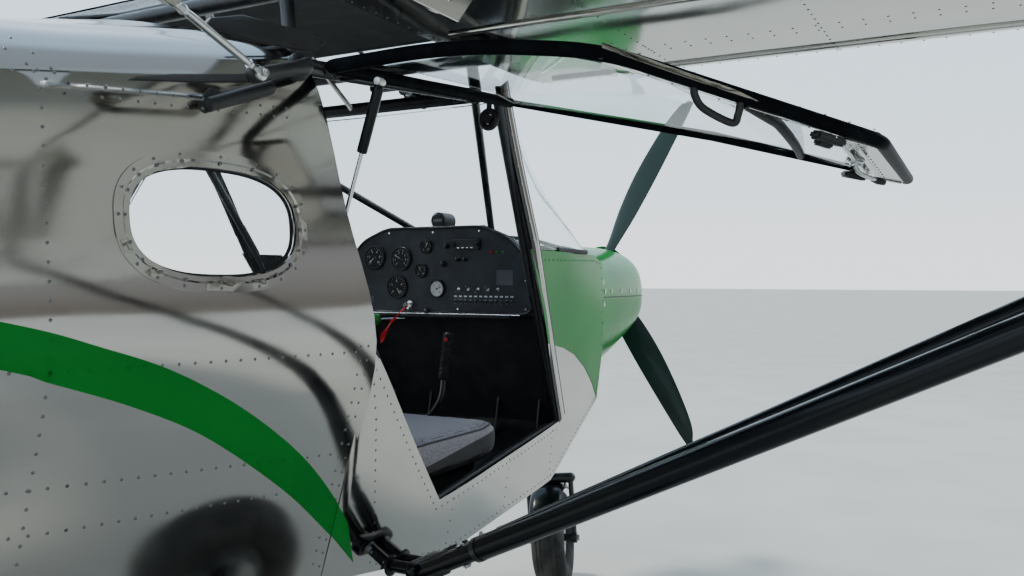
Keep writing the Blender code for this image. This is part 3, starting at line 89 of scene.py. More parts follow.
def applied(thing):
    """A copy of an object's mesh with its modifiers applied."""
    graph = bpy.context.evaluated_depsgraph_get()
    return bpy.data.meshes.new_from_object(thing.evaluated_get(graph))


# Camera: the photograph's viewpoint; its turns are yaw, pitch and roll in degrees
PHOTO_WIDTH = 1024
FOCAL_PIXELS = 900.0
VIEWPOINT = (-0.886, -1.664, 1.266)
VIEW_TURNS = (28.26, -0.17, 0.33)


def make_camera():
    yaw, pitch, roll = (radians(turn) for turn in VIEW_TURNS)
    ahead = Vector((cos(yaw) * cos(pitch), sin(yaw) * cos(pitch), sin(pitch)))
    right = Vector((sin(yaw), -cos(yaw), 0))
    up = right.cross(ahead)
    right, up = right * cos(roll) + up * sin(roll), up * cos(roll) - right * sin(roll)
    data = bpy.data.cameras.new("camera")
    data.sensor_width = 36.0
    data.lens = FOCAL_PIXELS * data.sensor_width / PHOTO_WIDTH
    data.clip_start = 0.01
    camera = put("camera", data)
    turn = Matrix((right, up, -ahead)).transposed()
    camera.matrix_world = Matrix.Translation(VIEWPOINT) @ turn.to_4x4()
    bpy.context.scene.camera = camera


# Materials
def shader(name, colour, roughness, metallic=0.0, **more):
    """A material with its Principled shader, its colour and the sockets named."""
    made = bpy.data.materials.new(name)
    made.use_nodes = True
    principled = made.node_tree.nodes["Principled BSDF"]
    principled.inputs["Base Color"].default_value = (*colour, 1.0)
    principled.inputs["Roughness"].default_value = roughness
    principled.inputs["Metallic"].default_value = metallic
    for key, value in more.items():
        principled.inputs[key.replace("_", " ")].default_value = value
    return made, made.node_tree, principled


def noise_node(tree, scale, detail=3.0, stretch=(1, 1, 1)):
    """Noise over the object's own coordinates, stretched along an axis."""
    where = tree.nodes.new("ShaderNodeTexCoord")
    mapping = tree.nodes.new("ShaderNodeMapping")
    mapping.inputs["Scale"].default_value = stretch
    tree.links.new(where.outputs["Object"], mapping.inputs["Vector"])
    made = tree.nodes.new("ShaderNodeTexNoise")
    made.inputs["Scale"].default_value = scale
    made.inputs["Detail"].default_value = detail
    tree.links.new(mapping.outputs["Vector"], made.inputs["Vector"])
    return made


def ramp(tree, source, stops):
    """A colour ramp from (position, colour or grey) stops."""
    made = tree.nodes.new("ShaderNodeValToRGB")
    elements = made.color_ramp.elements
    while len(elements) < len(stops):
        elements.new(0.5)
    for element, (position, colour) in zip(elements, stops):
        element.position = position
        element.color = (*colour, 1.0) if isinstance(colour, tuple) else (colour, colour, colour, 1.0)
    tree.links.new(source, made.inputs["Fac"])
    return made.outputs["Color"]


def vary(tree, source, stops, principled, socket="Base Color"):
    """Lead a noise through a ramp into one of the shader's sockets."""
    tree.links.new(ramp(tree, source.outputs["Fac"], stops), principled.inputs[socket])


def scaled(colour, gain, lift=0.0):
    """A colour made lighter or darker, no channel above 1."""
    return tuple(min(1.0, c * gain + lift) for c in colour)


def bump(tree, principled, layers):
    """Stacked bumps from (height socket, strength, distance)."""
    last = None
    for height, strength, distance in layers:
        made = tree.nodes.new("ShaderNodeBump")
        made.inputs["Strength"].default_value = strength
        made.inputs["Distance"].default_value = distance
        tree.links.new(height, made.inputs["Height"])
        if last:
            tree.links.new(last, made.inputs["Normal"])
        last = made.outputs["Normal"]
    tree.links.new(last, principled.inputs["Normal"])


def polished(name, waves=0.0012, colour=(0.84, 0.84, 0.83)):
    """Hand-polished sheet: long soft waves, fine swirls, thin haze."""
    made, tree, principled = shader(name, colour, 0.08, 1.0)
    wave = noise_node(tree, 3.4, 1.5)
    swirl = noise_node(tree, 420.0, 4.0, (1.0, 1.0, 0.15))
    haze = noise_node(tree, 5.0, 5.0)
    vary(tree, haze, ((0.30, 0.055), (0.62, 0.105), (0.80, 0.18)), principled, "Roughness")
    tint = noise_node(tree, 1.7, 2.0)
    vary(tree, tint, ((0.35, scaled(colour, 0.90)), (0.65, colour)), principled)
    bump(tree, principled, ((wave.outputs["Fac"], 1.0, waves), (swirl.outputs["Fac"], 0.05, 0.0002)))
    return made


def painted(name, colour, roughness, coat, index=1.5):
    """Sprayed gloss paint with a little orange peel and a faint change of depth."""
    made, tree, principled = shader(name, colour, roughness, 0.0, Coat_Weight=coat, Coat_Roughness=0.04,
                                    Specular_IOR_Level=0.2, IOR=index)
    peel = noise_node(tree, 260.0, 1.0)
    drift = noise_node(tree, 4.0, 3.0)
    vary(tree, drift, ((0.35, scaled(colour, 0.82)), (0.65, colour)), principled)
    bump(tree, principled, ((peel.outputs["Fac"], 0.12, 0.0003),))
    return made


def coated(name, colour=(0.014, 0.015, 0.017), roughness=0.34):
    """Powder-coated tube: fine grain, lighter dusty and rubbed spots at random."""
    made, tree, principled = shader(name, colour, roughness, 0.0, Coat_Weight=0.25, Coat_Roughness=0.2)
    grain = noise_node(tree, 900.0, 2.0)
    wear = noise_node(tree, 22.0, 6.0)
    vary(tree, wear, ((0.55, colour), (0.78, scaled(colour, 2.6, 0.01))), principled)
    vary(tree, wear, ((0.35, roughness * 0.8), (0.75, roughness * 1.5)), principled, "Roughness")
    bump(tree, principled, ((grain.outputs["Fac"], 0.25, 0.0002),))
    return made


def tubing(name, colour=(0.006, 0.007, 0.009), roughness=0.38):
    """Brushed-on black for the door's tubes: satin, fine grain, little shine at a low angle."""
    made, tree, principled = shader(name, colour, roughness, 0.0, IOR=1.20, Specular_IOR_Level=0.05)
    grain = noise_node(tree, 700.0, 2.0)
    wear = noise_node(tree, 18.0, 5.0)
    vary(tree, wear, ((0.50, colour), (0.80, scaled(colour, 1.9, 0.004))), principled)
    bump(tree, principled, ((grain.outputs["Fac"], 0.2, 0.0002),))
    return made


def moulded(name, colour, roughness=0.55, scale=700.0, depth=0.0004):
    """Textured plastic or rubbery sheet."""
    made, tree, principled = shader(name, colour, roughness)
    grain = noise_node(tree, scale, 2.0)
    cloud = noise_node(tree, 14.0, 4.0)
    vary(tree, cloud, ((0.40, colour), (0.72, scaled(colour, 1.6, 0.004))), principled)
    bump(tree, principled, ((grain.outputs["Fac"], 0.5, depth),))
    return made


def cast(name, colour=(0.40, 0.41, 0.42), roughness=0.42):
    """Cast or machined metal with a grained surface."""
    made, tree, principled = shader(name, colour, roughness, 1.0)
    grain = noise_node(tree, 260.0, 4.0)
    cloud = noise_node(tree, 18.0, 5.0)
    vary(tree, cloud, ((0.30, roughness * 0.75), (0.75, roughness * 1.35)), principled, "Roughness")
    bump(tree, principled, ((grain.outputs["Fac"], 0.2, 0.0003),))
    return made


def clear(name, tint=(0.93, 0.965, 0.97), roughness=0.015):
    """Clear plastic sheet."""
    made, tree, principled = shader(name, tint, roughness, 0.0, Transmission_Weight=1.0, IOR=1.12)
    smear = noise_node(tree, 9.0, 4.0)
    vary(tree, smear, ((0.45, roughness), (0.80, roughness + 0.03)), principled, "Roughness")
    return made


def woven(name, colour, scale=520.0):
    """Woven seat cloth: crossed threads, fuzzy sheen and mottling."""
    made, tree, principled = shader(name, colour, 0.94, 0.0, Sheen_Weight=0.25, Sheen_Roughness=0.5)
    warp = noise_node(tree, scale, 1.0, (1.0, 0.18, 1.0))
    weft = noise_node(tree, scale, 1.0, (0.18, 1.0, 1.0))
    both = tree.nodes.new("ShaderNodeMath")
    both.operation = "MULTIPLY"
    tree.links.new(warp.outputs["Fac"], both.inputs[0])
    tree.links.new(weft.outputs["Fac"], both.inputs[1])
    cloud = noise_node(tree, 240.0, 3.0)
    vary(tree, cloud, ((0.35, colour), (0.70, scaled(colour, 1.9))), principled)
    bump(tree, principled, ((both.outputs["Value"], 0.8, 0.0012),))
    return made


def rubbery(name, colour=(0.022, 0.022, 0.023)):
    """Tyre rubber: dusty, faintly worn."""
    made, tree, principled = shader(name, colour, 0.82)
    dust = noise_node(tree, 16.0, 6.0)
    fine = noise_node(tree, 380.0, 3.0)
    vary(tree, dust, ((0.45, colour), (0.80, (0.085, 0.080, 0.070))), principled)
    bump(tree, principled, ((fine.outputs["Fac"], 0.5, 0.0004),))
    return made


MAT = {
    # polished sheets: base colours set darker and browner than bright aluminium, a painted reflection of dark
    # brown ground
    "aluminium": polished("aluminium_sheet", 0.0012, (0.50, 0.485, 0.455)),
    "wing_sheet": polished("wing_sheet", 0.0016, (0.54, 0.53, 0.49)),
    "green": painted("green_gloss", (0.006, 0.235, 0.028), 0.24, 0.04, 1.24),
    "black": painted("black_gloss", (0.005, 0.006, 0.008), 0.24, 0.12),
    "steel": coated("black_coated"),
    "tubing": tubing("door_black"),
    "glass": clear("clear_sheet"),
    "blade": painted("blade_paint", (0.010, 0.030, 0.024), 0.30, 0.15),
    "rubber": rubbery("tyre_rubber"),
    # seat cloth: a pale copy for the pads' tops and a near-black copy as painted shade on their sides; the
    # near-black copy also dresses the piping and stitches
    "fabric": woven("seat_cloth", (0.16, 0.155, 0.178)),
    "fabric_shade_and_trim": woven("seat_cloth_shade_and_trim", (0.009, 0.009, 0.011)),
    "panel": moulded("panel_skin", (0.020, 0.025, 0.034), 0.50, 900.0, 0.0003),
    "plastic": moulded("black_plastic", (0.012, 0.012, 0.013), 0.48),
    "seal": moulded("seal_rubber", (0.010, 0.010, 0.011), 0.70, 500.0),
    "cast": cast("cast_metal"),
    "rivet": cast("rivet_metal", (0.20, 0.20, 0.20), 0.30),
    "bright": cast("bright_metal", (0.66, 0.67, 0.68), 0.20),
    "dial": moulded("dial_face", (0.006, 0.006, 0.007), 0.62),
    "white": moulded("white_marks", (0.80, 0.80, 0.78), 0.60),
    "card": moulded("grey_card", (0.085, 0.095, 0.115), 0.60),
    "red": woven("red_ribbon", (0.52, 0.010, 0.012), 900.0),
    "red_plastic": moulded("red_plastic", (0.50, 0.015, 0.012), 0.38),
    "green_plastic": moulded("green_plastic", (0.015, 0.22, 0.030), 0.34),
    "trim": moulded("cabin_trim", (0.016, 0.016, 0.018), 0.85, 420.0, 0.0006),
}


# Making pieces
def piece(name, bm, look, body="airframe", replaces=(), smooth=True, angle=34, weld=1e-6):
    """An object from a bmesh, with its finish, riding on its body."""
    if weld:
        bmesh.ops.remove_doubles(bm, verts=bm.verts, dist=weld)
    bmesh.ops.recalc_face_normals(bm, faces=bm.faces)
    mesh = mesh_from(name, bm)
    if smooth:
        mesh.shade_smooth()
        mesh.set_sharp_from_angle(angle=radians(angle))
    mesh.materials.append(MAT[look])
    made = put(name, mesh)
    if body:
        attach(made, body)
    if replaces:
        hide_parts(*replaces)
    return made


def loft(rings, start=True, end=True, closed=True):
    """Skin through rings of points that have equal counts."""
    bm = bmesh.new()
    rows = [[bm.verts.new(point) for point in ring] for ring in rings]
    count = len(rows[0])
    last = count if closed else count - 1
    for near, far in zip(rows, rows[1:]):
        for i in range(last):
            j = (i + 1) % count
            bm.faces.new((near[i], near[j], far[j], far[i]))
    if closed and start:
        bm.faces.new(rows[0])
    if closed and end:
        bm.faces.new(rows[-1])
    return bm


def join(parts):
    """Several loose meshes as one."""
    whole = bmesh.new()
    for part in parts:
        mesh = mesh_from("join", part)
        whole.from_mesh(mesh)
        bpy.data.meshes.remove(mesh)
    return whole


def curve_points(points, steps=8, closed=False):
    """A smooth curve through points."""
    points = [Vector(p) for p in points]
    count = len(points)
    made = []
    spans = count if closed else count - 1
    for i in range(spans):
        b = points[i]
        c = points[(i + 1) % count]
        a = points[i - 1] if closed or i else b * 2 - c
        d = points[(i + 2) % count] if closed or i + 2 < count else c * 2 - b
        for k in range(steps):
            t = k / steps
            made.append(0.5 * (2 * b + (c - a) * t + (2 * a - 5 * b + 4 * c - d) * t * t
                               + (3 * b - a - 3 * c + d) * t * t * t))
    if not closed:
        made.append(points[-1])
    return made


def ring_at(centre, u, v, radius, sides, flat=1.0):
    return [centre + u * cos(2 * pi * k / sides) * radius * flat + v * sin(2 * pi * k / sides) * radius
            for k in range(sides)]


def tube(points, radius, sides=12, flat=1.0, guide=None):
    """A round tube along a path; radius may be one number or one per point."""
    points = [Vector(p) for p in points]
    radii = radius if isinstance(radius, (list, tuple)) else [radius] * len(points)
    rings = []
    normal = None
    for i, point in enumerate(points):
        before = points[i] - points[i - 1] if i else points[1] - points[0]
        after = points[i + 1] - points[i] if i + 1 < len(points) else before
        along = (before.normalized() + after.normalized()).normalized()
        if normal is None:
            other = guide or (UP if abs(along.z) < 0.9 else FRONT)
            normal = along.cross(other).normalized()
        normal = (normal - along * normal.dot(along)).normalized()
        rings.append(ring_at(point, normal, along.cross(normal), radii[i], sides, flat))
    return loft(rings)


def turned(profile, origin, axis, steps=32, closed=False):
    """A profile of (along the axis, radius) spun right round."""
    axis = Vector(axis).normalized()
    guide = UP if abs(axis.z) < 0.9 else FRONT
    u = axis.cross(guide).normalized()
    v = axis.cross(u)
    origin = Vector(origin)
    rings = []
    for k in range(steps):
        turn = 2 * pi * k / steps
        out = u * cos(turn) + v * sin(turn)
        rings.append([origin + axis * a + out * r for a, r in profile])
    bm = loft(rings + rings[:1], False, False, closed)
    bmesh.ops.remove_doubles(bm, verts=bm.verts, dist=1e-6)
    return bm


def box(centre, size, turn=None, bevel=0.0, segments=2):
    """A block with rounded edges."""
    bm = bmesh.new()
    bmesh.ops.create_cube(bm, size=1.0)
    bmesh.ops.scale(bm, vec=Vector(size), verts=bm.verts)
    if bevel:
        bmesh.ops.bevel(bm, geom=bm.edges[:], offset=bevel, segments=segments, affect="EDGES")
    if turn:
        bmesh.ops.transform(bm, matrix=turn.to_4x4(), verts=bm.verts)
    bmesh.ops.translate(bm, vec=Vector(centre), verts=bm.verts)
    return bm


def facing(normal, up=UP):
    """Rotation whose +Z is the given normal and whose +Y is as near up as can be."""
    normal = Vector(normal).normalized()
    side = up.cross(normal).normalized()
    return Matrix((side, normal.cross(side), normal)).transposed()


def solidify(bm, depth, inside):
    """Give an open sheet its thickness, towards a point inside."""
    bmesh.ops.recalc_face_normals(bm, faces=bm.faces)
    inside = Vector(inside)
    side = sum((f.calc_center_median() - inside).dot(f.normal) * f.calc_area() for f in bm.faces)
    if side < 0:
        bmesh.ops.reverse_faces(bm, faces=bm.faces)
    bm.normal_update()
    bmesh.ops.solidify(bm, geom=bm.faces[:] + bm.edges[:] + bm.verts[:], thickness=depth)
    return bm


def tree_of(thing):
    """A search tree over a CAD node or a made piece, to set things on its surface."""
    owner = NODES[thing] if isinstance(thing, str) else thing
    bm = bmesh.new()
    bm.from_mesh(owner.data)
    bm.transform(owner.matrix_world)
    made = BVHTree.FromBMesh(bm)
    bm.free()
    return made


def hit(tree, start, direction):
    """Where a ray meets the surface, and the normal there turned back towards the ray."""
    point, normal = tree.ray_cast(Vector(start), Vector(direction).normalized())[:2]
    if point is None:
        return None
    if normal.dot(Vector(direction)) > 0:
        normal = -normal
    return point, normal


def rivets(name, spots, radius=0.0028, look="rivet", body="airframe", sides=8, height=0.0013):
    """Dome-headed rivets at (point, normal) spots, as one piece."""
    bm = bmesh.new()
    for point, normal in spots:
        u = normal.orthogonal().normalized()
        v = normal.cross(u)
        rows = []
        for lift, share in ((-0.0006, 1.0), (0.35, 0.95), (0.82, 0.60)):
            centre = point + normal * (lift if lift < 0 else lift * height)
            rows.append([bm.verts.new(p) for p in ring_at(centre, u, v, radius * share, sides)])
        top = bm.verts.new(point + normal * height)
        for near, far in zip(rows, rows[1:]):
            for i in range(sides):
                j = (i + 1) % sides
                bm.faces.new((near[i], near[j], far[j], far[i]))
        for i in range(sides):
            bm.faces.new((rows[-1][i], rows[-1][(i + 1) % sides], top))
        bm.faces.new(rows[0][::-1])
    return piece(name, bm, look, body, angle=70, weld=0)


def spread(a, b, pitch):
    """Even steps from a to b, both included."""
    length = hypot(*(q - p for p, q in zip(a, b)))
    count = max(1, round(length / pitch))
    return [between(a, b, i / count) for i in range(count + 1)]


# Floor, lights and backdrop; the sky's stops run from just under the horizon to straight above
FLOOR_RADIUS = 500.0
SKY_BOTTOM = -0.10
OPEN_SKY = ((0.0, (0.62, 0.63, 0.62)), (0.09, (0.94, 0.975, 1.0)), (0.26, (0.74, 0.88, 1.0)),
            (1.0, (0.42, 0.61, 0.86)))
DARK_SCREEN = ((0.0, (0.085, 0.080, 0.074)), (0.12, (0.135, 0.130, 0.122)), (0.22, (0.21, 0.22, 0.23)),
               (1.0, (0.28, 0.35, 0.44)))
SCREEN_EDGE = (-0.06, -0.42)
SKY_STRENGTH = 1.80
FILL_PLACE = (7.5, -5.5, 7.0)
FILL_TARGET = (0, 0, 1.2)


def make_floor():
    bm = bmesh.new()
    bmesh.ops.create_circle(bm, cap_ends=True, radius=FLOOR_RADIUS, segments=96)
    mesh = mesh_from("floor", bm)
    floor = put("floor", mesh)
    ground, tree, principled = shader("floor_matte", (0.49, 0.48, 0.43), 0.85)
    cloud = noise_node(tree, 1.3, 5.0)
    vary(tree, cloud, ((0.3, (0.46, 0.45, 0.40)), (0.7, (0.52, 0.51, 0.455))), principled)
    mesh.materials.append(ground)


def make_sky():
    """A bright sky ahead and to the left; a dark screen on the right, for the metal to reflect."""
    world = bpy.data.worlds.new("studio")
    world.use_nodes = True
    tree = world.node_tree
    where = tree.nodes.new("ShaderNodeTexCoord")
    split = tree.nodes.new("ShaderNodeSeparateXYZ")
    tree.links.new(where.outputs["Generated"], split.inputs[0])
    span = tree.nodes.new("ShaderNodeMapRange")
    span.inputs["From Min"].default_value = SKY_BOTTOM
    span.inputs["From Max"].default_value = 1.0
    tree.links.new(split.outputs["Z"], span.inputs["Value"])
    open_sky = ramp(tree, span.outputs["Result"], OPEN_SKY)
    screen = ramp(tree, span.outputs["Result"], DARK_SCREEN)
    away = tree.nodes.new("ShaderNodeMapRange")
    away.interpolation_type = "SMOOTHSTEP"
    away.inputs["From Min"].default_value, away.inputs["From Max"].default_value = SCREEN_EDGE
    tree.links.new(split.outputs["Y"], away.inputs["Value"])
    mix = tree.nodes.new("ShaderNodeMix")
    mix.data_type = "RGBA"
    tree.links.new(away.outputs["Result"], mix.inputs["Factor"])
    tree.links.new(open_sky, mix.inputs["A"])
    tree.links.new(screen, mix.inputs["B"])
    back = tree.nodes["Background"]
    tree.links.new(mix.outputs["Result"], back.inputs["Color"])
    back.inputs["Strength"].default_value = SKY_STRENGTH
    bpy.context.scene.world = world


def make_lights():
    sun = bpy.data.lights.new("sun", "SUN")
    sun.energy = 2.6
    sun.angle = radians(9)
    sun.color = (1.0, 0.97, 0.92)
    lamp = put("sun", sun)
    lamp.rotation_euler = Vector((0.10, -0.55, -1.0)).to_track_quat("-Z", "Y").to_euler()
    data = bpy.data.lights.new("fill", "AREA")
    data.shape = "RECTANGLE"
    data.size = 6.0
    data.size_y = 4.0
    data.energy = 260.0
    data.color = (0.95, 0.97, 1.0)
    lamp = put("fill", data)
    lamp.location = FILL_PLACE
    lamp.rotation_euler = (Vector(FILL_TARGET) - lamp.location).to_track_quat("-Z", "Y").to_euler()


# The fuselage's outer shape
FIREWALL = 0.97
SEAM = 2.58
SIDE = (
    # station, corner y, corner z, wide y, wide z, upper y, upper z
    (0.97, 0.400, 0.860, 0.430, 1.100, 0.420, 1.345),
    (1.45, 0.455, 0.665, 0.485, 1.120, 0.500, 1.420),
    (2.12, 0.490, 0.610, 0.600, 1.150, 0.586, 1.730),
    (2.58, 0.500, 0.677, 0.628, 1.157, 0.592, 1.672),
    (3.60, 0.375, 0.830, 0.455, 1.165, 0.420, 1.520),
    (5.30, 0.152, 1.085, 0.180, 1.230, 0.150, 1.325),
    (5.96, 0.055, 1.185, 0.062, 1.260, 0.055, 1.325),
)
CROWN = (
    # station, shoulder's share of the upper y, rise of the shoulder, rise of the crown
    (2.58, 0.62, 0.085, 0.112),
    (3.60, 0.62, 0.075, 0.100),
    (5.30, 0.60, 0.020, 0.025),
    (5.96, 0.60, 0.020, 0.025),
)
REAR_WINDOW = (2.912, 1.364)
REAR_WINDOW_HALF = (0.150, 0.0875)
REAR_MIDDLE = place(3.6, 0, 1.2)
SKIN = 0.004


def row_at(table, station):
    """A table's row at any station, straight between its own rows."""
    station = min(max(station, table[0][0]), table[-1][0])
    for low, high in zip(table, table[1:]):
        if station <= high[0]:
            return between(low[1:], high[1:], (station - low[0]) / (high[0] - low[0]))
    return table[-1][1:]


def side_y(station, z):
    corner_y, corner_z, wide_y, wide_z, upper_y, upper_z = row_at(SIDE, station)
    if z < wide_z:
        return corner_y + (wide_y - corner_y) * (z - corner_z) / (wide_z - corner_z)
    return wide_y + (upper_y - wide_y) * (z - wide_z) / (upper_z - wide_z)


def on_side(station, z, side, inward=0.0):
    return place(station, side * (side_y(station, z) - inward), z)


def half_ring(station, slant_top=0.0, slant_crown=0.0):
    """Half a section of the rear fuselage, its upper points set aft by the slants."""
    corner_y, corner_z, wide_y, wide_z = row_at(SIDE, station)[:4]
    top = station + slant_top
    top_row = row_at(SIDE, top)
    share, shoulder_rise, crown_rise = row_at(CROWN, station)
    crown = station + slant_crown
    middle = (top + crown) / 2
    return [
        (station, corner_y, corner_z),
        (station, (corner_y + wide_y) / 2 + 0.004, (corner_z + wide_z) / 2),
        (station, wide_y, wide_z),
        (station + slant_top / 2, (wide_y + top_row[4]) / 2 + 0.006, (wide_z + top_row[5]) / 2),
        (top, top_row[4], top_row[5]),
        (middle, top_row[4] * (1 + share) / 2, top_row[5] + shoulder_rise * 0.72),
        (middle, top_row[4] * share, top_row[5] + shoulder_rise),
        (crown, top_row[4] * share * 0.45, top_row[5] + crown_rise),
    ]


def skin_ring(half, steps=5, floor_steps=8):
    """A whole smooth section from half a section's points; its floor is flat."""
    path = [place(s, -y, z) for s, y, z in half] + [place(s, y, z) for s, y, z in reversed(half)]
    ring = curve_points(path, steps)
    low_left, low_right = ring[-1], ring[0]
    for k in range(1, floor_steps):
        ring.append(low_left.lerp(low_right, k / floor_steps))
    return ring


def dented(point, centre, depth=0.0011, scale=3.1):
    """Oil-canning: push a skin point in or out by a smooth noise."""
    out = Vector((0, point.y - centre.y, (point.z - centre.z) * 0.7)).normalized()
    swing = noise.noise(Vector((point.x * scale, point.y * 1.5, point.z * scale * 1.4)))
    return point + out * swing * depth


def make_rear_skin():
    """The rear fuselage's sheet, finer than its solid, with the window openings."""
    top_slant = DOOR_REAR_HINGE[0] + DOOR_TUBE + 0.006 - SEAM
    crown_slant = WING_LEADING + WING_CHORD + 0.02 - SEAM
    first = half_ring(SEAM + 0.0003, top_slant, crown_slant)
    second = half_ring(3.10)
    rings = []
    for i in range(13):
        rings.append([between(a, b, i / 13) for a, b in zip(first, second)])
    for low, high, count in ((3.10, 3.60, 12), (3.60, 5.30, 28), (5.30, 5.96, 10)):
        for i in range(count):
            rings.append(half_ring(low + (high - low) * i / count))
    rings.append(half_ring(5.96))
    centre = Vector((0, 0, 1.2))
    skins = [[dented(p, centre) for p in skin_ring(half)] for half in rings]
    bm = solidify(loft(skins, start=False), SKIN, REAR_MIDDLE)
    shell = piece("rear_skin", bm, "aluminium", replaces=("rear_fuselage",), angle=30)
    outline = window_line(0.0, 72)
    for side, _ in SIDES:
        rings = [[place(s, side * y, z) for s, z in outline] for y in (0.42, 0.75)]
        cut(shell, loft(rings))
    return shell


def superellipse(middle, half, count, power=2.6):
    points = []
    for i in range(count):
        turn = 2 * pi * (i + 0.5) / count
        c, s = cos(turn), sin(turn)
        points.append((middle[0] + half[0] * abs(c) ** (2 / power) * (1 if c > 0 else -1),
                       middle[1] + half[1] * abs(s) ** (2 / power) * (1 if s > 0 else -1)))
    return points


def window_line(grow, count):
    """The rear window's outline in side view, wider by grow all round."""
    return superellipse(REAR_WINDOW, (REAR_WINDOW_HALF[0] + grow, REAR_WINDOW_HALF[1] + grow), count)


def cut(owner, bm):
    """A shape taken out of a made piece, applied at once."""
    bmesh.ops.recalc_face_normals(bm, faces=bm.faces)
    tool = put("cutter", mesh_from("cutter", bm))
    step = owner.modifiers.new("cut", "BOOLEAN")
    step.operation = "DIFFERENCE"
    step.solver = "EXACT"
    step.object = tool
    bpy.context.view_layer.update()
    result = applied(owner)
    owner.modifiers.clear()
    owner.data = result
    bpy.data.objects.remove(tool, do_unlink=True)


def skin_spots(tree, points, pitch, side):
    """Rivet places along a side-view line, set on the skin."""
    spots = []
    for a, b in zip(points, points[1:]):
        for s, z in spread(a, b, pitch):
            found = hit(tree, place(s, side * 1.6, z), (0, -side, 0))
            if found and found[0].y * side > 0:
                spots.append(found)
    return spots


def on_skin(tree, s, z, side):
    """A point of the skin and its normal, by side view; past its edge the nearest one."""
    found = hit(tree, place(s, side * 1.6, z), (0, -side, 0))
    if not found or found[0].y * side < 0:
        found = tree.find_nearest(place(s, side * side_y(s, z), z))[:2]
    return found


def skin_patch(tree, rows, side, lift):
    """A thin sheet on the skin over side-view rows, as an open grid of points."""
    bm = bmesh.new()
    verts = []
    for row in rows:
        line = []
        for s, z in row:
            point, normal = on_skin(tree, s, z, side)
            line.append(bm.verts.new(point + normal * lift))
        verts.append(line)
    for near, far in zip(verts, verts[1:]):
        for i in range(len(near) - 1):
            bm.faces.new((near[i], near[i + 1], far[i + 1], far[i]))
    return bm


# The green band's upper and lower edges, as (station, height)
SWOOSH_TOP = ((2.492, 0.700), (2.549, 0.793), (2.685, 0.935), (2.838, 1.046), (2.988, 1.128), (3.108, 1.173),
              (3.243, 1.214), (3.60, 1.292), (4.10, 1.350), (4.70, 1.372), (5.30, 1.365))
SWOOSH_LOW = ((2.500, 0.694), (2.612, 0.795), (2.741, 0.900), (2.914, 1.015), (3.050, 1.080), (3.185, 1.130),
              (3.244, 1.151), (3.60, 1.246), (4.10, 1.318), (4.70, 1.356), (5.30, 1.360))


def on_swoosh(point):
    """Whether a point of the fuselage's side lies on the green band."""
    station = ORIGIN_STATION - point.x
    if not SWOOSH_LOW[0][0] < station < SWOOSH_LOW[-1][0]:
        return False
    return row_at(SWOOSH_LOW, station)[0] < point.z < row_at(SWOOSH_TOP, station)[0]


def side_rivets(name, spots, word, proud):
    """Plain rivets on the metal and green ones, standing prouder, on the band."""
    rivets(f"{name}_{word}", [spot for spot in spots if not on_swoosh(spot[0])])
    rivets(f"{name}_green_{word}", [(p + n * proud, n) for p, n in spots if on_swoosh(p)], look="green")


SWOOSH_ENDS = (2.5822, 5.295)
RING_LIFT = 0.0022
REAR_RIVET_LINES = (
    # upright pairs and single lines, each as (station, height) points
    ((2.600, 0.690), (2.600, 1.150)), ((2.618, 0.700), (2.618, 1.150)),
    ((2.630, 1.140), (3.18, 1.142), (3.60, 1.168), (5.28, 1.232)),
    ((2.640, 0.947), (3.13, 0.974), (3.60, 1.000), (5.28, 1.160)),
    ((2.640, 0.884), (3.12, 0.906), (3.60, 0.936), (5.28, 1.125)),
    ((3.182, 0.790), (3.182, 1.560)), ((3.585, 0.845), (3.585, 1.500)), ((3.615, 0.850), (3.615, 1.500)),
    ((4.15, 0.930), (4.15, 1.445)), ((4.70, 1.010), (4.70, 1.385)), ((5.285, 1.095), (5.285, 1.318)),
    ((5.315, 1.098), (5.315, 1.318)),
    ((3.224, 1.620), (3.143, 1.548), (2.771, 1.572)), ((3.240, 1.600), (3.150, 1.532), (2.771, 1.556)),
    ((3.16, 1.560), (3.60, 1.508), (5.28, 1.318)), ((2.640, 0.700), (3.60, 0.846), (5.28, 1.094)),
)


def line_spots(tree, lines, pitch, side):
    """Rivet places along several side-view lines."""
    return [spot for line in lines for spot in skin_spots(tree, line, pitch, side)]


def make_swoosh(tree, side, word):
    """The green band on the rear fuselage."""
    top, low = ([(p.x, p.z) for p in curve_points([(s, 0, z) for s, z in edge], 8)]
                for edge in (SWOOSH_TOP, SWOOSH_LOW))
    rows = []
    for i in range(121):
        s = SWOOSH_ENDS[0] + (SWOOSH_ENDS[1] - SWOOSH_ENDS[0]) * (i / 120) ** 1.4
        high_z, low_z = row_at(top, s)[0], row_at(low, s)[0]
        rows.append([(s, high_z + (low_z - high_z) * k / 8) for k in range(9)])
    bm = skin_patch(tree, rows, side, 0.0009)
    piece(f"swoosh_{word}", solidify(bm, 0.0008, REAR_MIDDLE), "green", angle=40)


def make_rear_window(tree, side, word):
    """The window's metal ring, its two rows of rivets and its seal."""
    inner, outer = window_line(-0.002, 72), window_line(0.025, 72)
    rows = []
    for a, b in zip(inner + inner[:1], outer + outer[:1]):
        rows.append([between(a, b, share) for share in (0.06, 0.5, 1.0)])
    ring = skin_patch(tree, rows, side, RING_LIFT)
    bmesh.ops.remove_doubles(ring, verts=ring.verts, dist=1e-5)
    piece(f"window_ring_{word}", solidify(ring, 0.0020, REAR_MIDDLE), "aluminium", angle=25)
    spots = []
    for grow in (0.0085, 0.0185):
        for s, z in window_line(grow, 300)[::15]:
            point, normal = on_skin(tree, s, z, side)
            spots.append((point + normal * RING_LIFT, normal))
    rivets(f"window_rivets_{word}", spots, 0.0030)
    path = [on_side(s, z, side, 0.004) for s, z in window_line(-0.001, 72)]
    piece(f"window_seal_{word}", tube(path + path[:1], 0.0035, 8), "seal", angle=60)


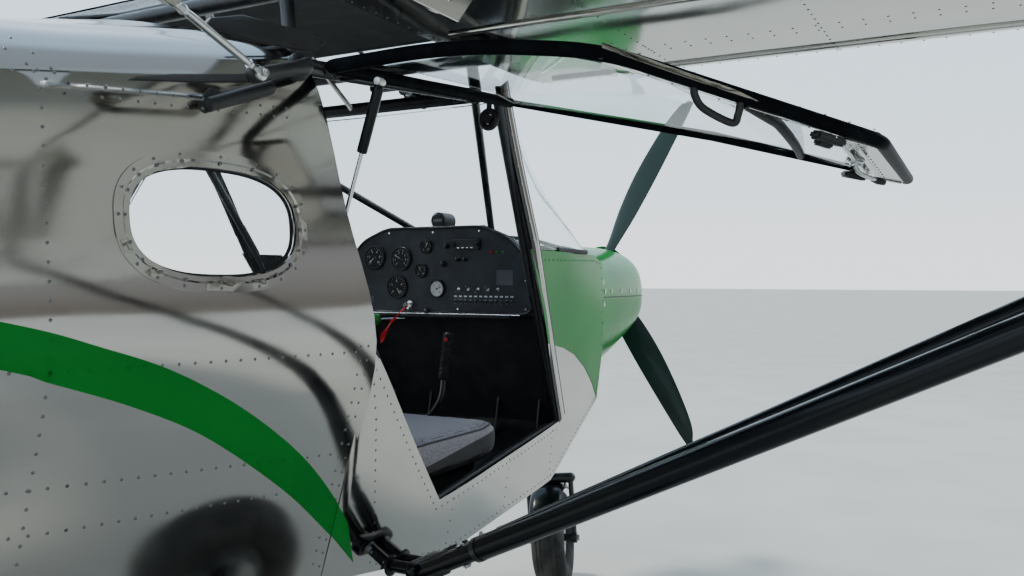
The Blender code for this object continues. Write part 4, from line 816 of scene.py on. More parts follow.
def make_rear_details(shell):
    tree = tree_of(shell)
    for side, word in SIDES:
        make_swoosh(tree, side, word)
        make_rear_window(tree, side, word)
        side_rivets("rear_rivets", line_spots(tree, REAR_RIVET_LINES, 0.027, side), word, 0.0014)


# Wings
WING_LEADING = 1.716
WING_CHORD = 1.10
WING_THICK = 0.185
WING_UNDERSIDE = 1.800
WING_DROOP = 0.022
WING_ROOT = 0.6003
HALF_SPAN = 4.50
FRONT_SPAR = 2.06
REAR_SPAR = 2.70
WING_UPPER = ((0.000, 0.400), (0.012, 0.600), (0.045, 0.780), (0.120, 0.930), (0.260, 1.000), (0.450, 0.930),
              (0.700, 0.660), (1.000, 0.130))
WING_LOWER = ((1.000, 0.060), (0.600, 0.000), (0.200, 0.000), (0.070, 0.060), (0.018, 0.200), (0.000, 0.400))


def wing_outline():
    """The wing's section, as shares of its chord and thickness."""
    upper = curve_points([(a, 0, b) for a, b in WING_UPPER], 6)
    lower = [Vector((a, 0, b)) for a, b in WING_LOWER]
    flat = [lower[0].lerp(lower[1], k / 6) for k in range(6)]
    flat += [lower[1].lerp(lower[2], k / 8) for k in range(8)]
    nose = curve_points([(a.x, 0, a.z) for a in lower[2:]], 5)[:-1]
    return [(p.x, p.z) for p in upper + flat + nose]


RIB_PITCH = 0.37
WING_TIP_ROWS = (
    # reach from the root, setback, chord, share of the thickness, rise
    (3.87, 0.020, 1.06, 0.82, 0.014),
    (3.892, 0.040, 1.02, 0.66, 0.028),
    (3.8997, 0.060, 0.99, 0.45, 0.045),
)


def make_wing_skin(side, word):
    """The wing's sheet, drawn in a little between its ribs."""
    outline = wing_outline()
    rings = []
    for reach in [0.0, 0.02, 0.10] + [0.10 + 3.70 * k / 44 for k in range(1, 45)]:
        between_ribs = abs(sin(pi * reach / RIB_PITCH))
        ring = []
        for along, up in outline:
            point = place(WING_LEADING + WING_CHORD * along, side * (WING_ROOT + reach),
                          WING_UNDERSIDE + WING_THICK * up - WING_DROOP * along)
            swing = noise.noise(Vector((point.x * 4.0, point.y * 2.6, 3.0 if up > 0.3 else 9.0)))
            lift = (swing * 0.0022 - 0.0004) * between_ribs
            ring.append(point + UP * (lift if up > 0.3 else -lift))
        rings.append(ring)
    for reach, lead, chord, thick, base in WING_TIP_ROWS:
        rings.append([place(WING_LEADING + lead + chord * a, side * (WING_ROOT + reach),
                            WING_UNDERSIDE + base + WING_THICK * thick * u - WING_DROOP * a)
                      for a, u in outline])
    return piece(f"wing_skin_{word}", loft(rings), "wing_sheet", replaces=(f"wing_{word}",), angle=38)


def both_faces(tree, lines, side=1):
    """Rivet places on the upper and lower face, along (start, end, pitch) lines in plan view."""
    spots = []
    for a, b, pitch in lines:
        for s, y in spread(a, b, pitch):
            for start, way in ((3.0, -1), (0.5, 1)):
                found = hit(tree, place(s, side * y, start), (0, 0, way))
                if found:
                    spots.append(found)
    return spots


def make_wing_details(tree, side, word):
    """Rivets and stiffening beads on the wing, the struts' upper ends and the flaperon's brackets."""
    trailing = WING_LEADING + WING_CHORD
    lines = []
    for rib in range(11):
        y = WING_ROOT + 0.012 + 0.368 * rib
        lines.append(((WING_LEADING + 0.05, y), (trailing - 0.03, y), 0.036))
    for station in (WING_LEADING + 0.085, FRONT_SPAR - 0.02, FRONT_SPAR + 0.02, REAR_SPAR - 0.015,
                    REAR_SPAR + 0.03, trailing - 0.02):
        lines.append(((station, WING_ROOT + 0.02), (station, HALF_SPAN - 0.05), 0.045))
    rivets(f"wing_rivets_{word}", both_faces(tree, lines, side), 0.0026, sides=6)
    beads = []
    for station, low_y, high_y in ((1.885, 0.66, 4.30), (2.38, 0.66, 2.66), (2.38, 2.94, 4.30)):
        line = []
        for k in range(41):
            found = hit(tree, place(station, side * (low_y + (high_y - low_y) * k / 40), 0.5), (0, 0, 1))
            if found:
                line.append(found[0])
        beads.append(tube(line, 0.0075, 12, 0.5, UP))
    piece(f"wing_beads_{word}", join(beads), "wing_sheet", angle=60)
    fittings = []
    for _, spar, drop, radius, shift in STRUTS:
        start, end, top = (strut_point(share, spar, drop, side, shift) for share in (0.9701, 0.999, 1.0))
        fittings.append(tube([start, end], radius * 0.7, 16))
        pad = (top.x, top.y, WING_UNDERSIDE - WING_DROOP * 0.5 - 0.002)
        fittings.append(box(pad, (0.075, 0.13, 0.010), None, 0.002))
    piece(f"strut_tops_{word}", join(fittings), "steel")
    profile = [(trailing - 0.16, 1.795), (trailing - 0.05, 1.786), (trailing - 0.01, 1.694), (2.967, 1.694),
               (2.969, 1.670), (trailing - 0.03, 1.670), (trailing - 0.12, 1.770)]
    arms = [plate(profile, side * y, 0.008, 0.0015) for y in bracket_spans()]
    piece(f"flap_brackets_{word}", join(arms), "aluminium")


def make_wings():
    for side, word in SIDES:
        skin = make_wing_skin(side, word)
        make_wing_details(tree_of(skin), side, word)


def bracket_spans():
    """How far out each of the flaperon's four brackets stands."""
    step = (FLAP["tip"] - FLAP["root"] - 0.5) / 3
    return [0.93 + step * i for i in range(4)]


def plate(outline, y, thick, bevel):
    """An upright plate over a side-view outline, its edges bevelled."""
    bm = loft([[place(s, y + shift, z) for s, z in outline] for shift in (-thick / 2, thick / 2)])
    bmesh.ops.bevel(bm, geom=bm.edges[:], offset=bevel, segments=1, affect="EDGES")
    return bm


# Struts
STRUTS = (
    # name, station at the wing, drop of its upper pin, radius, shift of its foot
    ("front", FRONT_SPAR, 0.008, 0.021, -0.030),
    ("rear", REAR_SPAR, 0.048, 0.025, 0.030),
)
STRUT_FOOT = (2.33, 0.585, 0.651)
STRUT_SPAN = 2.80
STRUT_SHAPE = ((0.032, 0.66), (0.0328, 0.80), (0.0700, 0.80), (0.0712, 0.90), (0.0760, 1.0), (0.50, 1.0),
               (0.9240, 1.0), (0.9290, 0.86), (0.9690, 0.86), (0.970, 0.74))


def strut_point(share, spar, drop, side, foot_shift):
    """A point on a strut's middle line, by its share of the way up."""
    foot = place(STRUT_FOOT[0] + foot_shift, side * STRUT_FOOT[1], STRUT_FOOT[2])
    top = place(spar, side * STRUT_SPAN, WING_UNDERSIDE - drop)
    return foot + (top - foot) * share


def bolt(at, axis, radius=0.008, long=0.030, head=0.006):
    """A bolt right through a lug: hexagon head, washer, shank end and nut."""
    axis = Vector(axis).normalized()
    start = Vector(at) - axis * long / 2
    end = Vector(at) + axis * long / 2
    parts = [
        turned([(-head, 0.0), (-head, radius * 0.9), (-head * 0.8, radius), (0.0, radius)], start, axis, 6),
        turned([(-0.0012, 0.0), (-0.0012, radius * 1.35), (0.0012, radius * 1.35)], start, axis, 20),
        turned([(0.0, radius), (head * 0.8, radius), (head, radius * 0.9), (head, 0.0)], end, axis, 6),
        turned([(-0.0012, radius * 1.35), (0.0012, radius * 1.35), (0.0012, 0.0)], end, axis, 20),
        turned([(0.0, radius * 0.55), (head + 0.004, radius * 0.55), (head + 0.005, 0.0)], end, axis, 12),
    ]
    return join(parts)


def make_struts():
    for side, word in SIDES:
        bolts = []
        for name, spar, drop, radius, shift in STRUTS:
            points = [strut_point(share, spar, drop, side, shift) for share, _ in STRUT_SHAPE]
            bm = tube(points, [radius * wide for _, wide in STRUT_SHAPE], 40)
            piece(f"{name}_strut_{word}", bm, "black", replaces=(f"strut_{name}_{word}",), angle=25)
            collars = []
            for share in (0.0705, 0.9265):
                middle = strut_point(share, spar, drop, side, shift)
                along = (strut_point(1.0, spar, drop, side, shift) - middle).normalized()
                collar = [(-0.006, radius * 0.8), (-0.006, radius * 1.03), (0.006, radius * 1.03),
                          (0.006, radius * 0.8)]
                collars.append(turned(collar, middle, along, 32))
            piece(f"{name}_strut_collars_{word}", join(collars), "steel", angle=30)
            foot = strut_point(0.0, spar, drop, side, shift)
            bolts.append(bolt(foot, (0, 1, 0), 0.011, 0.052, 0.008))
            along = (strut_point(1.0, spar, drop, side, shift) - foot).normalized()
            across = along.cross(FRONT).normalized()
            at = strut_point(0.052, spar, drop, side, shift)
            bolts.append(bolt(at, across, 0.007, radius * 1.72, 0.005))
        piece(f"strut_bolts_{word}", join(bolts), "cast", angle=30)
        cheeks = []
        for name, spar, drop, radius, shift in STRUTS:
            foot = strut_point(0.0, spar, drop, side, shift)
            tip = strut_point(0.034, spar, drop, side, shift)
            for lean in (-0.018, 0.018):
                rise = Vector((0, 0, lean))
                path = [foot + rise * 0.8, foot.lerp(tip, 0.5) + rise, tip + rise * 0.9]
                cheeks.append(tube(path, 0.009, 12, 0.7))
        piece(f"strut_forks_{word}", join(cheeks), "steel", angle=40)


def make_strut_feet():
    """The lug plate that carries both struts, its arms from the fuselage and the strut ends."""
    station, out, low = STRUT_FOOT
    half = ((0.064, 0.010), (0.052, 0.023), (-0.052, 0.023), (-0.064, 0.010), (-0.058, -0.014),
            (-0.046, -0.024), (0.046, -0.024), (0.058, -0.014))
    for side, word in SIDES:
        middle = side * (out - 0.012)
        parts = [plate([(station + a, low + b) for a, b in half], middle, 0.022, 0.004)]
        for _, spar, drop, radius, shift in STRUTS:
            neck = [strut_point(share, spar, drop, side, shift) for share in (-0.003, 0.0, 0.012, 0.0315)]
            parts.append(tube(neck, [radius * wide for wide in (0.55, 0.78, 0.74, 0.66)], 24))
            arm = station + shift * 0.8
            skin = side * (side_y(arm, low) + 0.0028)
            parts.append(tube([place(arm, skin, low), place(arm, middle, low)], 0.0140, 20))
            parts.append(turned([(0.0, 0.0), (0.0, 0.024), (0.004, 0.023), (0.006, 0.017), (0.006, 0.0)],
                                place(arm, skin, low), (0, side, 0), 28))
        piece(f"strut_feet_{word}", join(parts), "black", replaces=(f"strut_fitting_{word}",), angle=35)


# Cabin sides
DOOR_REAR_HINGE = (2.690, 1.664)
DOOR_FRONT_HINGE = (2.030, 1.725)
DOOR_KNEE = (2.560, 1.157)
DOOR_REAR_FOOT = (2.187, 0.784)
DOOR_FRONT_FOOT = (1.444, 0.858)
DOOR_OPEN = radians(82.0)
DOOR_TUBE = 0.013
DOOR_STRIP = 0.085
DOOR_BULGE = 0.022
BREAKS = (SIDE[1][0], SIDE[2][0])
BEND = 0.10


def inset(outline, distance):
    """Move each edge of a side-view outline inwards by a distance, outwards if negative."""
    area = sum(a[0] * b[1] - b[0] * a[1] for a, b in zip(outline, outline[1:] + outline[:1]))
    turn = 1 if area > 0 else -1
    moved = []
    for i, here in enumerate(outline):
        last = outline[i - 1]
        following = outline[(i + 1) % len(outline)]
        normals = []
        for a, b in ((last, here), (here, following)):
            length = hypot(b[0] - a[0], b[1] - a[1])
            normals.append((-(b[1] - a[1]) / length * turn, (b[0] - a[0]) / length * turn))
        mean = (normals[0][0] + normals[1][0], normals[0][1] + normals[1][1])
        scale = 2 * distance / (mean[0] ** 2 + mean[1] ** 2)
        moved.append((here[0] + mean[0] * scale, here[1] + mean[1] * scale))
    return moved


DOOR = [DOOR_REAR_HINGE, DOOR_KNEE, DOOR_REAR_FOOT, DOOR_FRONT_FOOT, DOOR_FRONT_HINGE]
DOOR_HOLE = inset(DOOR, -0.019)
POST_AT_SILL = between(DOOR_HOLE[3], DOOR_HOLE[4], 0.58)
SIDE_AFT = SEAM - 0.0012
KNEE_SHARE = (SIDE_AFT - DOOR_HOLE[2][0]) / (DOOR_HOLE[1][0] - DOOR_HOLE[2][0])


def row_smooth(station):
    """The side's row with its bends eased."""
    row = row_at(SIDE, station)
    for corner in BREAKS:
        t = abs(station - corner) / BEND
        if t < 1:
            low, high = row_at(SIDE, corner - BEND), row_at(SIDE, corner + BEND)
            middle = row_at(SIDE, corner)
            ease = (1 - t) ** 2 / 4
            row = tuple(r + (h - 2 * m + l) * ease for r, l, m, h in zip(row, low, middle, high))
    return row


def cabin_y(station, z):
    """Half width of the cabin's side, with the crease along its widest line eased."""
    corner_y, corner_z, wide_y, wide_z, upper_y, upper_z = row_smooth(station)
    below = (wide_y - corner_y) / (wide_z - corner_z)
    above = (upper_y - wide_y) / (upper_z - wide_z)
    slope = below if z < wide_z else above
    y = wide_y + slope * (z - wide_z)
    t = abs(z - wide_z) / BEND
    if t < 1:
        y += (above - below) * BEND * (1 - t) ** 2 / 4
    fade = min(1.0, max(0.0, (station - 2.15) / 0.40))
    if z < wide_z:
        u = (z - corner_z) / (wide_z - corner_z)
        bow = 0.004
    else:
        u = (z - wide_z) / (upper_z - wide_z)
        bow = 0.006
    return y + bow * fade * max(0.0, 4 * u * (1 - u))


def inside_outline(point, outline):
    """Whether a side-view point lies inside an outline."""
    s, z = point
    odd = False
    for a, b in zip(outline, outline[1:] + outline[:1]):
        if (a[1] > z) != (b[1] > z) and s < (b[0] - a[0]) * (z - a[1]) / (b[1] - a[1]) + a[0]:
            odd = not odd
    return odd


def clipped_sheet(outline, step=0.03):
    """A fine flat grid in side view, trimmed to an outline; its points are (station, height, 0)."""
    low = Vector((min(p[0] for p in outline), min(p[1] for p in outline)))
    high = Vector((max(p[0] for p in outline), max(p[1] for p in outline)))
    across = max(2, round((high.x - low.x) / step))
    up = max(2, round((high.y - low.y) / step))
    bm = bmesh.new()
    rows = [[bm.verts.new((low.x + (high.x - low.x) * i / across, low.y + (high.y - low.y) * j / up, 0))
             for i in range(across + 1)] for j in range(up + 1)]
    for near, far in zip(rows, rows[1:]):
        for i in range(across):
            bm.faces.new((near[i], near[i + 1], far[i + 1], far[i]))
    for a, b in zip(outline, outline[1:] + outline[:1]):
        normal = Vector((b[1] - a[1], a[0] - b[0], 0))
        if normal.length > 1e-6:
            bmesh.ops.bisect_plane(bm, geom=bm.verts[:] + bm.edges[:] + bm.faces[:], dist=1e-7,
                                   plane_co=(a[0], a[1], 0), plane_no=normal.normalized())
    outside = [f for f in bm.faces if not inside_outline(f.calc_center_median()[:2], outline)]
    bmesh.ops.delete(bm, geom=outside, context="FACES")
    bmesh.ops.dissolve_degenerate(bm, dist=1e-6, edges=bm.edges[:])
    return bm


def side_sheet(outline, side, lift=0.0, depth=SKIN, step=0.03):
    """A sheet on the cabin's side: trimmed in side view, laid on the side, given its thickness."""
    bm = clipped_sheet(outline, step)
    for vert in bm.verts:
        s, z = vert.co.x, vert.co.y
        dent = noise.noise(Vector((s * 3.3, side * 2.0, z * 4.2))) * 0.0012
        vert.co = place(s, side * (cabin_y(s, z) + lift + dent), z)
    return solidify(bm, depth, place(1.8, 0, 1.1))


SWOOSH_FRONT = ((0.9712, 0.8612), (1.06, 0.925), (1.17, 0.988), (1.295, 1.041), (1.41, 1.070), (1.532, 1.088),
                (1.600, 1.094))


NOSE_CORNERS = [(1.10, 1.372), (FIREWALL, 1.345)]
SEAM_LAP_END = SEAM + 0.010
SEAM_LAP_EDGE = [(SEAM_LAP_END, 1.165), (2.560, 1.098), (2.517, 1.000), (2.480, 0.890), (2.440, 0.770)]


def at_station(a, b, station):
    """The point of a side-view line at a station."""
    return between(a, b, (station - a[0]) / (b[0] - a[0]))


def make_seam_lap(side, word):
    """The lap sheet along the cabin's rear edge, with its rivets."""
    edge = SEAM_LAP_EDGE + [(2.417, floor_z(2.417) + 0.004)]
    lap = side_sheet(edge + [(SEAM_LAP_END, floor_z(SEAM_LAP_END) + 0.004)], side, 0.0013, 0.0010, 0.015)
    tree = tree_of(piece(f"seam_lap_{word}", lap, "aluminium", angle=30, weld=1e-5))
    spots = []
    for a, b in zip(edge, edge[1:]):
        for s, z in spread((a[0] + 0.012, a[1]), (b[0] + 0.012, b[1]), 0.024):
            found = hit(tree, place(s, side * 0.9, z), (0, -side, 0))
            if found:
                spots.append(found)
    rivets(f"seam_lap_rivets_{word}", spots)


def make_cabin_sides():
    foot, front = DOOR_HOLE[2], DOOR_HOLE[3]
    knee = between(foot, DOOR_HOLE[1], KNEE_SHARE)
    outline = [(FIREWALL, 0.860), (1.45, 0.665), (2.12, 0.610), (SIDE_AFT, floor_z(SIDE_AFT)), knee, foot,
               front, POST_AT_SILL] + NOSE_CORNERS
    upper = [p for p in SWOOSH_FRONT if p[0] < 1.59]
    edge = between(front, POST_AT_SILL, (1.0945 - front[1]) / (POST_AT_SILL[1] - front[1]))
    green = upper + [edge, POST_AT_SILL, NOSE_CORNERS[0], (FIREWALL + 0.001, 1.3455)]
    overlap = SEAM + 0.012
    tip = [(2.497, 0.697), SWOOSH_TOP[1], at_station(SWOOSH_TOP[1], SWOOSH_TOP[2], overlap),
           at_station(SWOOSH_LOW[0], SWOOSH_LOW[1], overlap)]
    lines = (
        ((0.985, 0.872), (1.455, 0.680), (2.12, 0.626), (2.565, 0.692)),
        ((2.563, 0.700), (2.563, 1.10)),
        ((1.470, 0.700), (1.470, 0.820)), ((2.12, 0.640), (2.12, 0.752)), ((1.80, 0.660), (1.80, 0.790)),
        tuple(inset([front, foot, knee, (SIDE_AFT, 0.6), (1.45, 0.6)], 0.020)[:3]),
    )
    nose_lines = (((0.990, 0.900), (0.990, 1.330)), ((1.010, 1.345), (1.10, 1.352), (1.72, 1.338)))
    for side, word in SIDES:
        side_piece = piece(f"cabin_skin_{word}", side_sheet(outline, side), "aluminium",
                           replaces=(f"cabin_side_{word}",), angle=30, weld=1e-5)
        paint = side_sheet(green, side, 0.0013, 0.0009, 0.02)
        piece(f"nose_side_paint_{word}", paint, "green", angle=30, weld=1e-5)
        band = side_sheet(tip, side, 0.0024, 0.0017, 0.015)
        piece(f"swoosh_tip_{word}", band, "green", angle=30, weld=1e-5)
        make_seam_lap(side, word)
        tree = tree_of(side_piece)
        rivets(f"cabin_rivets_{word}", line_spots(tree, lines, 0.026, side), 0.0026)
        spots = [(p + n * 0.0018, n) for p, n in line_spots(tree, nose_lines, 0.040, side)]
        rivets(f"nose_side_rivets_{word}", spots, 0.0028, "green")
        lip = [on_side(s, z, side, 0.0095) for s, z in (knee, foot, front)]
        piece(f"sill_seal_{word}", tube(lip, 0.0055, 10), "seal", angle=60)


# Cowling, scuttle and windshield
COWL = (
    # station, half width, top, bottom
    (0.100, 0.205, 1.408, 1.130),
    (0.118, 0.245, 1.422, 1.095),
    (0.170, 0.278, 1.430, 1.065),
    (0.300, 0.318, 1.437, 1.020),
    (0.620, 0.372, 1.432, 0.925),
    (0.9694, 0.424, 1.420, 0.858),
)
COWL_SPLIT = 1.225
COWL_POWER = 2.7
INLETS = (
    # middle y, middle z, half width, half height
    (-0.140, 1.290, 0.047, 0.036),
    (0.140, 1.290, 0.047, 0.036),
    (0.0, 1.165, 0.085, 0.022),
)
LEG_TOP = (0.680, 1.000)
LEG_FOOT = (0.560, 0.560)
HUB_HEIGHT = 1.33


def cowl_rows():
    """The cowling's rows drawn through smoothly."""
    sizes = []
    for column in (1, 2, 3):
        sizes.append(curve_points([(row[0], row[column], 0) for row in COWL[1:]], 7))
    rows = [(p.x, p.y, q.y, r.y) for p, q, r in zip(*sizes)]
    lip = [(0.1002, 0.185, 1.400, 1.150), (0.1012, 0.207, 1.407, 1.128), (0.106, 0.226, 1.414, 1.110)]
    return lip + rows


def cowl_ring(row, count=72):
    station, half, top, low = row
    ring = []
    for i in range(count):
        turn = 2 * pi * i / count
        c, s = cos(turn), sin(turn)
        edge = top if s > 0 else low
        ring.append(place(station, half * abs(c) ** (2 / COWL_POWER) * (1 if c > 0 else -1),
                          COWL_SPLIT + (edge - COWL_SPLIT) * abs(s) ** (2 / COWL_POWER)))
    return ring


def make_cowl():
    rows = cowl_rows()
    bm = loft([cowl_ring(row) for row in rows], True, False)
    bm = solidify(bm, SKIN, place(0.6, 0, COWL_SPLIT))
    shell = piece("cowl_skin", bm, "green", replaces=("cowl_upper", "cowl_lower"), angle=32)
    for y, z, wide, tall in INLETS:
        outline = superellipse((y, z), (wide, tall), 48)
        cut(shell, loft([[place(s, a, b) for a, b in outline] for s in (0.06, 0.16)]))
    hub = [(-0.06, 0.0), (-0.06, 0.070), (0.06, 0.070), (0.06, 0.0)]
    cut(shell, turned(hub, place(0.10, 0, HUB_HEIGHT), FRONT, 48))
    top, foot = place(LEG_TOP[0], 0, LEG_TOP[1]), place(LEG_FOOT[0], 0, LEG_FOOT[1])
    along = (top - foot).normalized()
    cut(shell, turned([(0.0, 0.0), (0.0, 0.060), (0.42, 0.060), (0.42, 0.0)], foot, along, 40))
    shell.data.shade_smooth()
    shell.data.set_sharp_from_angle(angle=radians(30))
    lips = []
    for y, z, wide, tall in INLETS:
        station = 0.0995 if abs(y) < 0.1 else 0.1005
        rim = [place(station, a, b) for a, b in superellipse((y, z), (wide, tall), 48)]
        lips.append(tube(rim + rim[:1], 0.0035, 8))
    piece("inlet_lips", join(lips), "green", angle=60)
    ducts = []
    for y, z, wide, tall in INLETS:
        near = [place(0.105, a, b) for a, b in superellipse((y, z), (wide - 0.001, tall - 0.001), 32)]
        far = [place(0.24, a, b) for a, b in superellipse((y, z), (wide * 0.9, tall * 0.8), 32)]
        ducts.append(loft([near, far], False, True))
    piece("inlet_ducts", join(ducts), "plastic", angle=40)
    for side, word in SIDES:
        seam = []
        for row in rows[2:]:
            seam.append(place(row[0], side * (row[1] + 0.0006), COWL_SPLIT))
        piece(f"cowl_seam_{word}", tube(seam, 0.0016, 6, 0.5), "seal", angle=60)
        spots = []
        outward = Vector((0.12, side, 0)).normalized()
        along_split = [(station, COWL_SPLIT + 0.022) for station in (0.20, 0.36, 0.52, 0.68, 0.84, 0.94)]
        up_edge = [(0.952, 0.90 + share * 0.50) for share in (0.12, 0.28, 0.44, 0.60, 0.76, 0.90)]
        for station, z in along_split + up_edge:
            spots.append((place(station, side * (cowl_half(station, z) + 0.0006), z), outward))
        camlocks(f"cowl_fasteners_{word}", spots)
    ring = cowl_ring((0.9700, 0.4246, 1.4206, 0.8574), 96)
    piece("firewall_seam", tube(ring + ring[:1], 0.0020, 6), "seal", angle=60)
    pipes = []
    for side in (-1, 1):
        path = [place(0.62, side * 0.10, 0.985), place(0.70, side * 0.12, 0.93),
                place(0.76, side * 0.125, 0.865), place(0.80, side * 0.125, 0.800)]
        pipes.append(tube(curve_points(path, 6), 0.019, 20))
    piece("exhaust_stubs", join(pipes), "cast", angle=40)


def cowl_half(station, z):
    """Half width of the cowling at a station and height."""
    half, top, low = row_at(cowl_rows(), station)
    edge = top if z > COWL_SPLIT else low
    share = min(1.0, abs((z - COWL_SPLIT) / (edge - COWL_SPLIT)))
    return half * (1 - share ** COWL_POWER) ** (1 / COWL_POWER)


def camlocks(name, spots):
    """Quarter-turn fasteners: a cupped washer and a slotted stud."""
    radius = 0.0085
    parts = []
    for point, normal in spots:
        parts.append(turned([(-0.0005, 0.0), (-0.0005, radius), (0.0010, radius), (0.0016, radius * 0.78),
                             (0.0010, radius * 0.70), (0.0010, 0.0)], point, normal, 24))
        stud = [(0.0008, radius * 0.55), (0.0022, radius * 0.50), (0.0024, 0.0)]
        parts.append(turned(stud, point, normal, 16))
        parts.append(box(point + normal * 0.0026, (radius * 0.95, 0.0012, 0.0010), facing(normal)))
    piece(name, join(parts), "bright", angle=30)


SCUTTLE_ARCH = ((0.416, 0.002), (0.340, 0.030), (0.230, 0.058), (0.100, 0.076))
SCUTTLE_REAR = 1.17
SCUTTLE_LIFT = 0.012


def smooth_rows(rows, steps):
    """Each row of points drawn through smoothly."""
    return [curve_points(row, steps) for row in rows]


def make_scuttle():
    rows = []
    for k in range(9):
        station = FIREWALL + 0.0006 + (SCUTTLE_REAR - FIREWALL - 0.0006) * k / 8
        lift = SCUTTLE_LIFT * k / 8 + 1.345
        right = [place(station, -y, lift + rise) for y, rise in SCUTTLE_ARCH]
        left = [place(station, y, lift + rise) for y, rise in reversed(SCUTTLE_ARCH)]
        rows.append(right + left)
    bm = solidify(loft(smooth_rows(rows, 6), closed=False), SKIN, place(1.0, 0, 1.0))
    deck = piece("nose_deck", bm, "green", replaces=("scuttle_deck",), angle=32)
    tree = tree_of(deck)
    spots = []
    for station in (0.985, 1.150):
        for k in range(19):
            found = hit(tree, place(station, -0.40 + 0.80 * k / 18, 2.0), (0, 0, -1))
            if found:
                spots.append(found)
    rivets("deck_rivets", spots, 0.0028, "green")


def sill_point(share):
    ends = [(station, side_y(station, z), z) for station, z in ((1.10, 1.372), POST_AT_SILL)]
    station, y, z = between(ends[0], ends[1], share)
    return station, y - 0.0012, z + 0.0012 * (4.0 - 3.4 * share)


def windshield_rows():
    """Half rows of the windshield from its foot up: each from the post to the middle."""
    foot = [sill_point(0.975), sill_point(0.55), sill_point(0.14),
            (1.150, 0.340, 1.393), (1.132, 0.230, 1.421), (1.118, 0.100, 1.437)]
    halves = [foot]
    for z, centre, corner, corner_y, post, post_y in ((1.600, 1.440, 1.480, 0.400, 1.880, 0.545),
                                                      (1.770, 1.790, 1.815, 0.470, 1.985, 0.562)):
        halves.append([(post, post_y, z), ((post + corner) / 2, (post_y + corner_y) / 2 + 0.020, z),
                       (corner + 0.06, corner_y + 0.030, z), (corner, corner_y - 0.02, z),
                       ((corner + centre * 2) / 3, corner_y * 0.6, z), (centre, 0.10, z)])
    return halves


def make_windshield():
    rows = []
    for half in windshield_rows():
        rows.append([place(s, -y, z) for s, y, z in half] + [place(s, y, z) for s, y, z in reversed(half)])
    rows = smooth_rows(rows, 5)
    columns = smooth_rows([list(column) for column in zip(*rows)], 7)
    bm = solidify(loft(columns, closed=False), SKIN, place(2.0, 0, 1.3))
    piece("windshield_sheet", bm, "glass", replaces=("windshield",), angle=50)
    flat = [list(row) for row in zip(*columns)]
    foot = [p + Vector((0.006, 0, 0.003)) for p in flat[0][4:-4]]
    piece("windshield_foot_seal", tube(foot, 0.008, 10, 0.6), "seal", angle=60)
    for side, word in SIDES:
        make_post(side, word)


def post_line(side):
    """The windshield's rear edge up the door post, sill to roof, smoothed."""
    halves = windshield_rows()
    points = [place(s, side * y, z) for s, y, z in (halves[0][0], halves[1][0], halves[2][0])]
    return curve_points(points, 10)


def make_post(side, word):
    """The black post band along the windshield's rear edge, and its bright metal strip."""
    edge = post_line(side)
    low = on_side(*DOOR_HOLE[3], side)
    run = [low.lerp(edge[0], k / 10) for k in range(10)] + edge
    outer = []
    for i, p in enumerate(run):
        along = (run[min(i + 1, len(run) - 1)] - run[max(i - 1, 0)]).normalized()
        normal = (Vector((0, side, 0)) - along * along.y * side).normalized()
        fore = along.cross(normal).normalized()
        if fore.x < 0:
            fore = -fore
        outer.append((p, normal, fore))
    black, bright, seal = [], [], []
    for p, normal, fore in outer:
        black.append([p + normal * 0.0042 + fore * w for w in (0.040, 0.016, -0.008)])
        bright.append([p + normal * (0.0052 + h) + fore * w
                       for w, h in ((0.032, 0.0), (0.020, 0.0026), (0.008, 0.0))])
        seal.append(p - fore * 0.0060 + normal * -0.0065)
    for name, rows, look in (("band", black, "plastic"), ("strip", bright, "aluminium")):
        sheet = solidify(loft(rows, closed=False), 0.0016, place(1.9, 0, 1.2))
        piece(f"post_{name}_{word}", sheet, look, angle=50)
    piece(f"post_seal_{word}", tube(seal, 0.0055, 10), "seal", angle=60)
    spots = [(p + normal * 0.0060 + fore * 0.003, normal) for p, normal, fore in outer[1::2]]
    rivets(f"post_rivets_{word}", spots, 0.0030)


# Doors, in their closed place and then swung up about the hinge line
def hinge_points(side):
    rear = on_side(*DOOR_REAR_HINGE, side, -0.004)
    front = on_side(*DOOR_FRONT_HINGE, side, -0.004)
    front.y = rear.y
    return rear, front


def door_swing(side):
    rear, front = hinge_points(side)
    turn = Matrix.Rotation(side * DOOR_OPEN, 4, (front - rear).normalized())
    return Matrix.Translation(rear) @ turn @ Matrix.Translation(-rear)


def swung(bm, side):
    bmesh.ops.transform(bm, matrix=door_swing(side), verts=bm.verts)
    return bm


def filleted(points, radii, steps=7):
    """A closed path with its corners rounded off."""
    made = []
    count = len(points)
    for i, (here, radius) in enumerate(zip(points, radii)):
        last, following = points[i - 1], points[(i + 1) % count]
        if not radius:
            made.append(here)
            continue
        a = here + (last - here).normalized() * min(radius, (last - here).length * 0.49)
        b = here + (following - here).normalized() * min(radius, (following - here).length * 0.49)
        for k in range(steps + 1):
            t = k / steps
            made.append(a.lerp(here, t).lerp(here.lerp(b, t), t))
    return made


def closed_tube(points, radii, sides=20, flat=1.0):
    """A tube round a closed path."""
    count = len(points)
    rings = []
    normal = None
    for i, point in enumerate(points):
        along = (points[(i + 1) % count] - points[i - 1]).normalized()
        if normal is None:
            normal = along.cross(Vector((0, 1, 0.2))).normalized()
        normal = (normal - along * normal.dot(along)).normalized()
        rings.append(ring_at(point, normal, along.cross(normal), radii[i], sides, flat))
    return loft(rings + rings[:1], False, False)


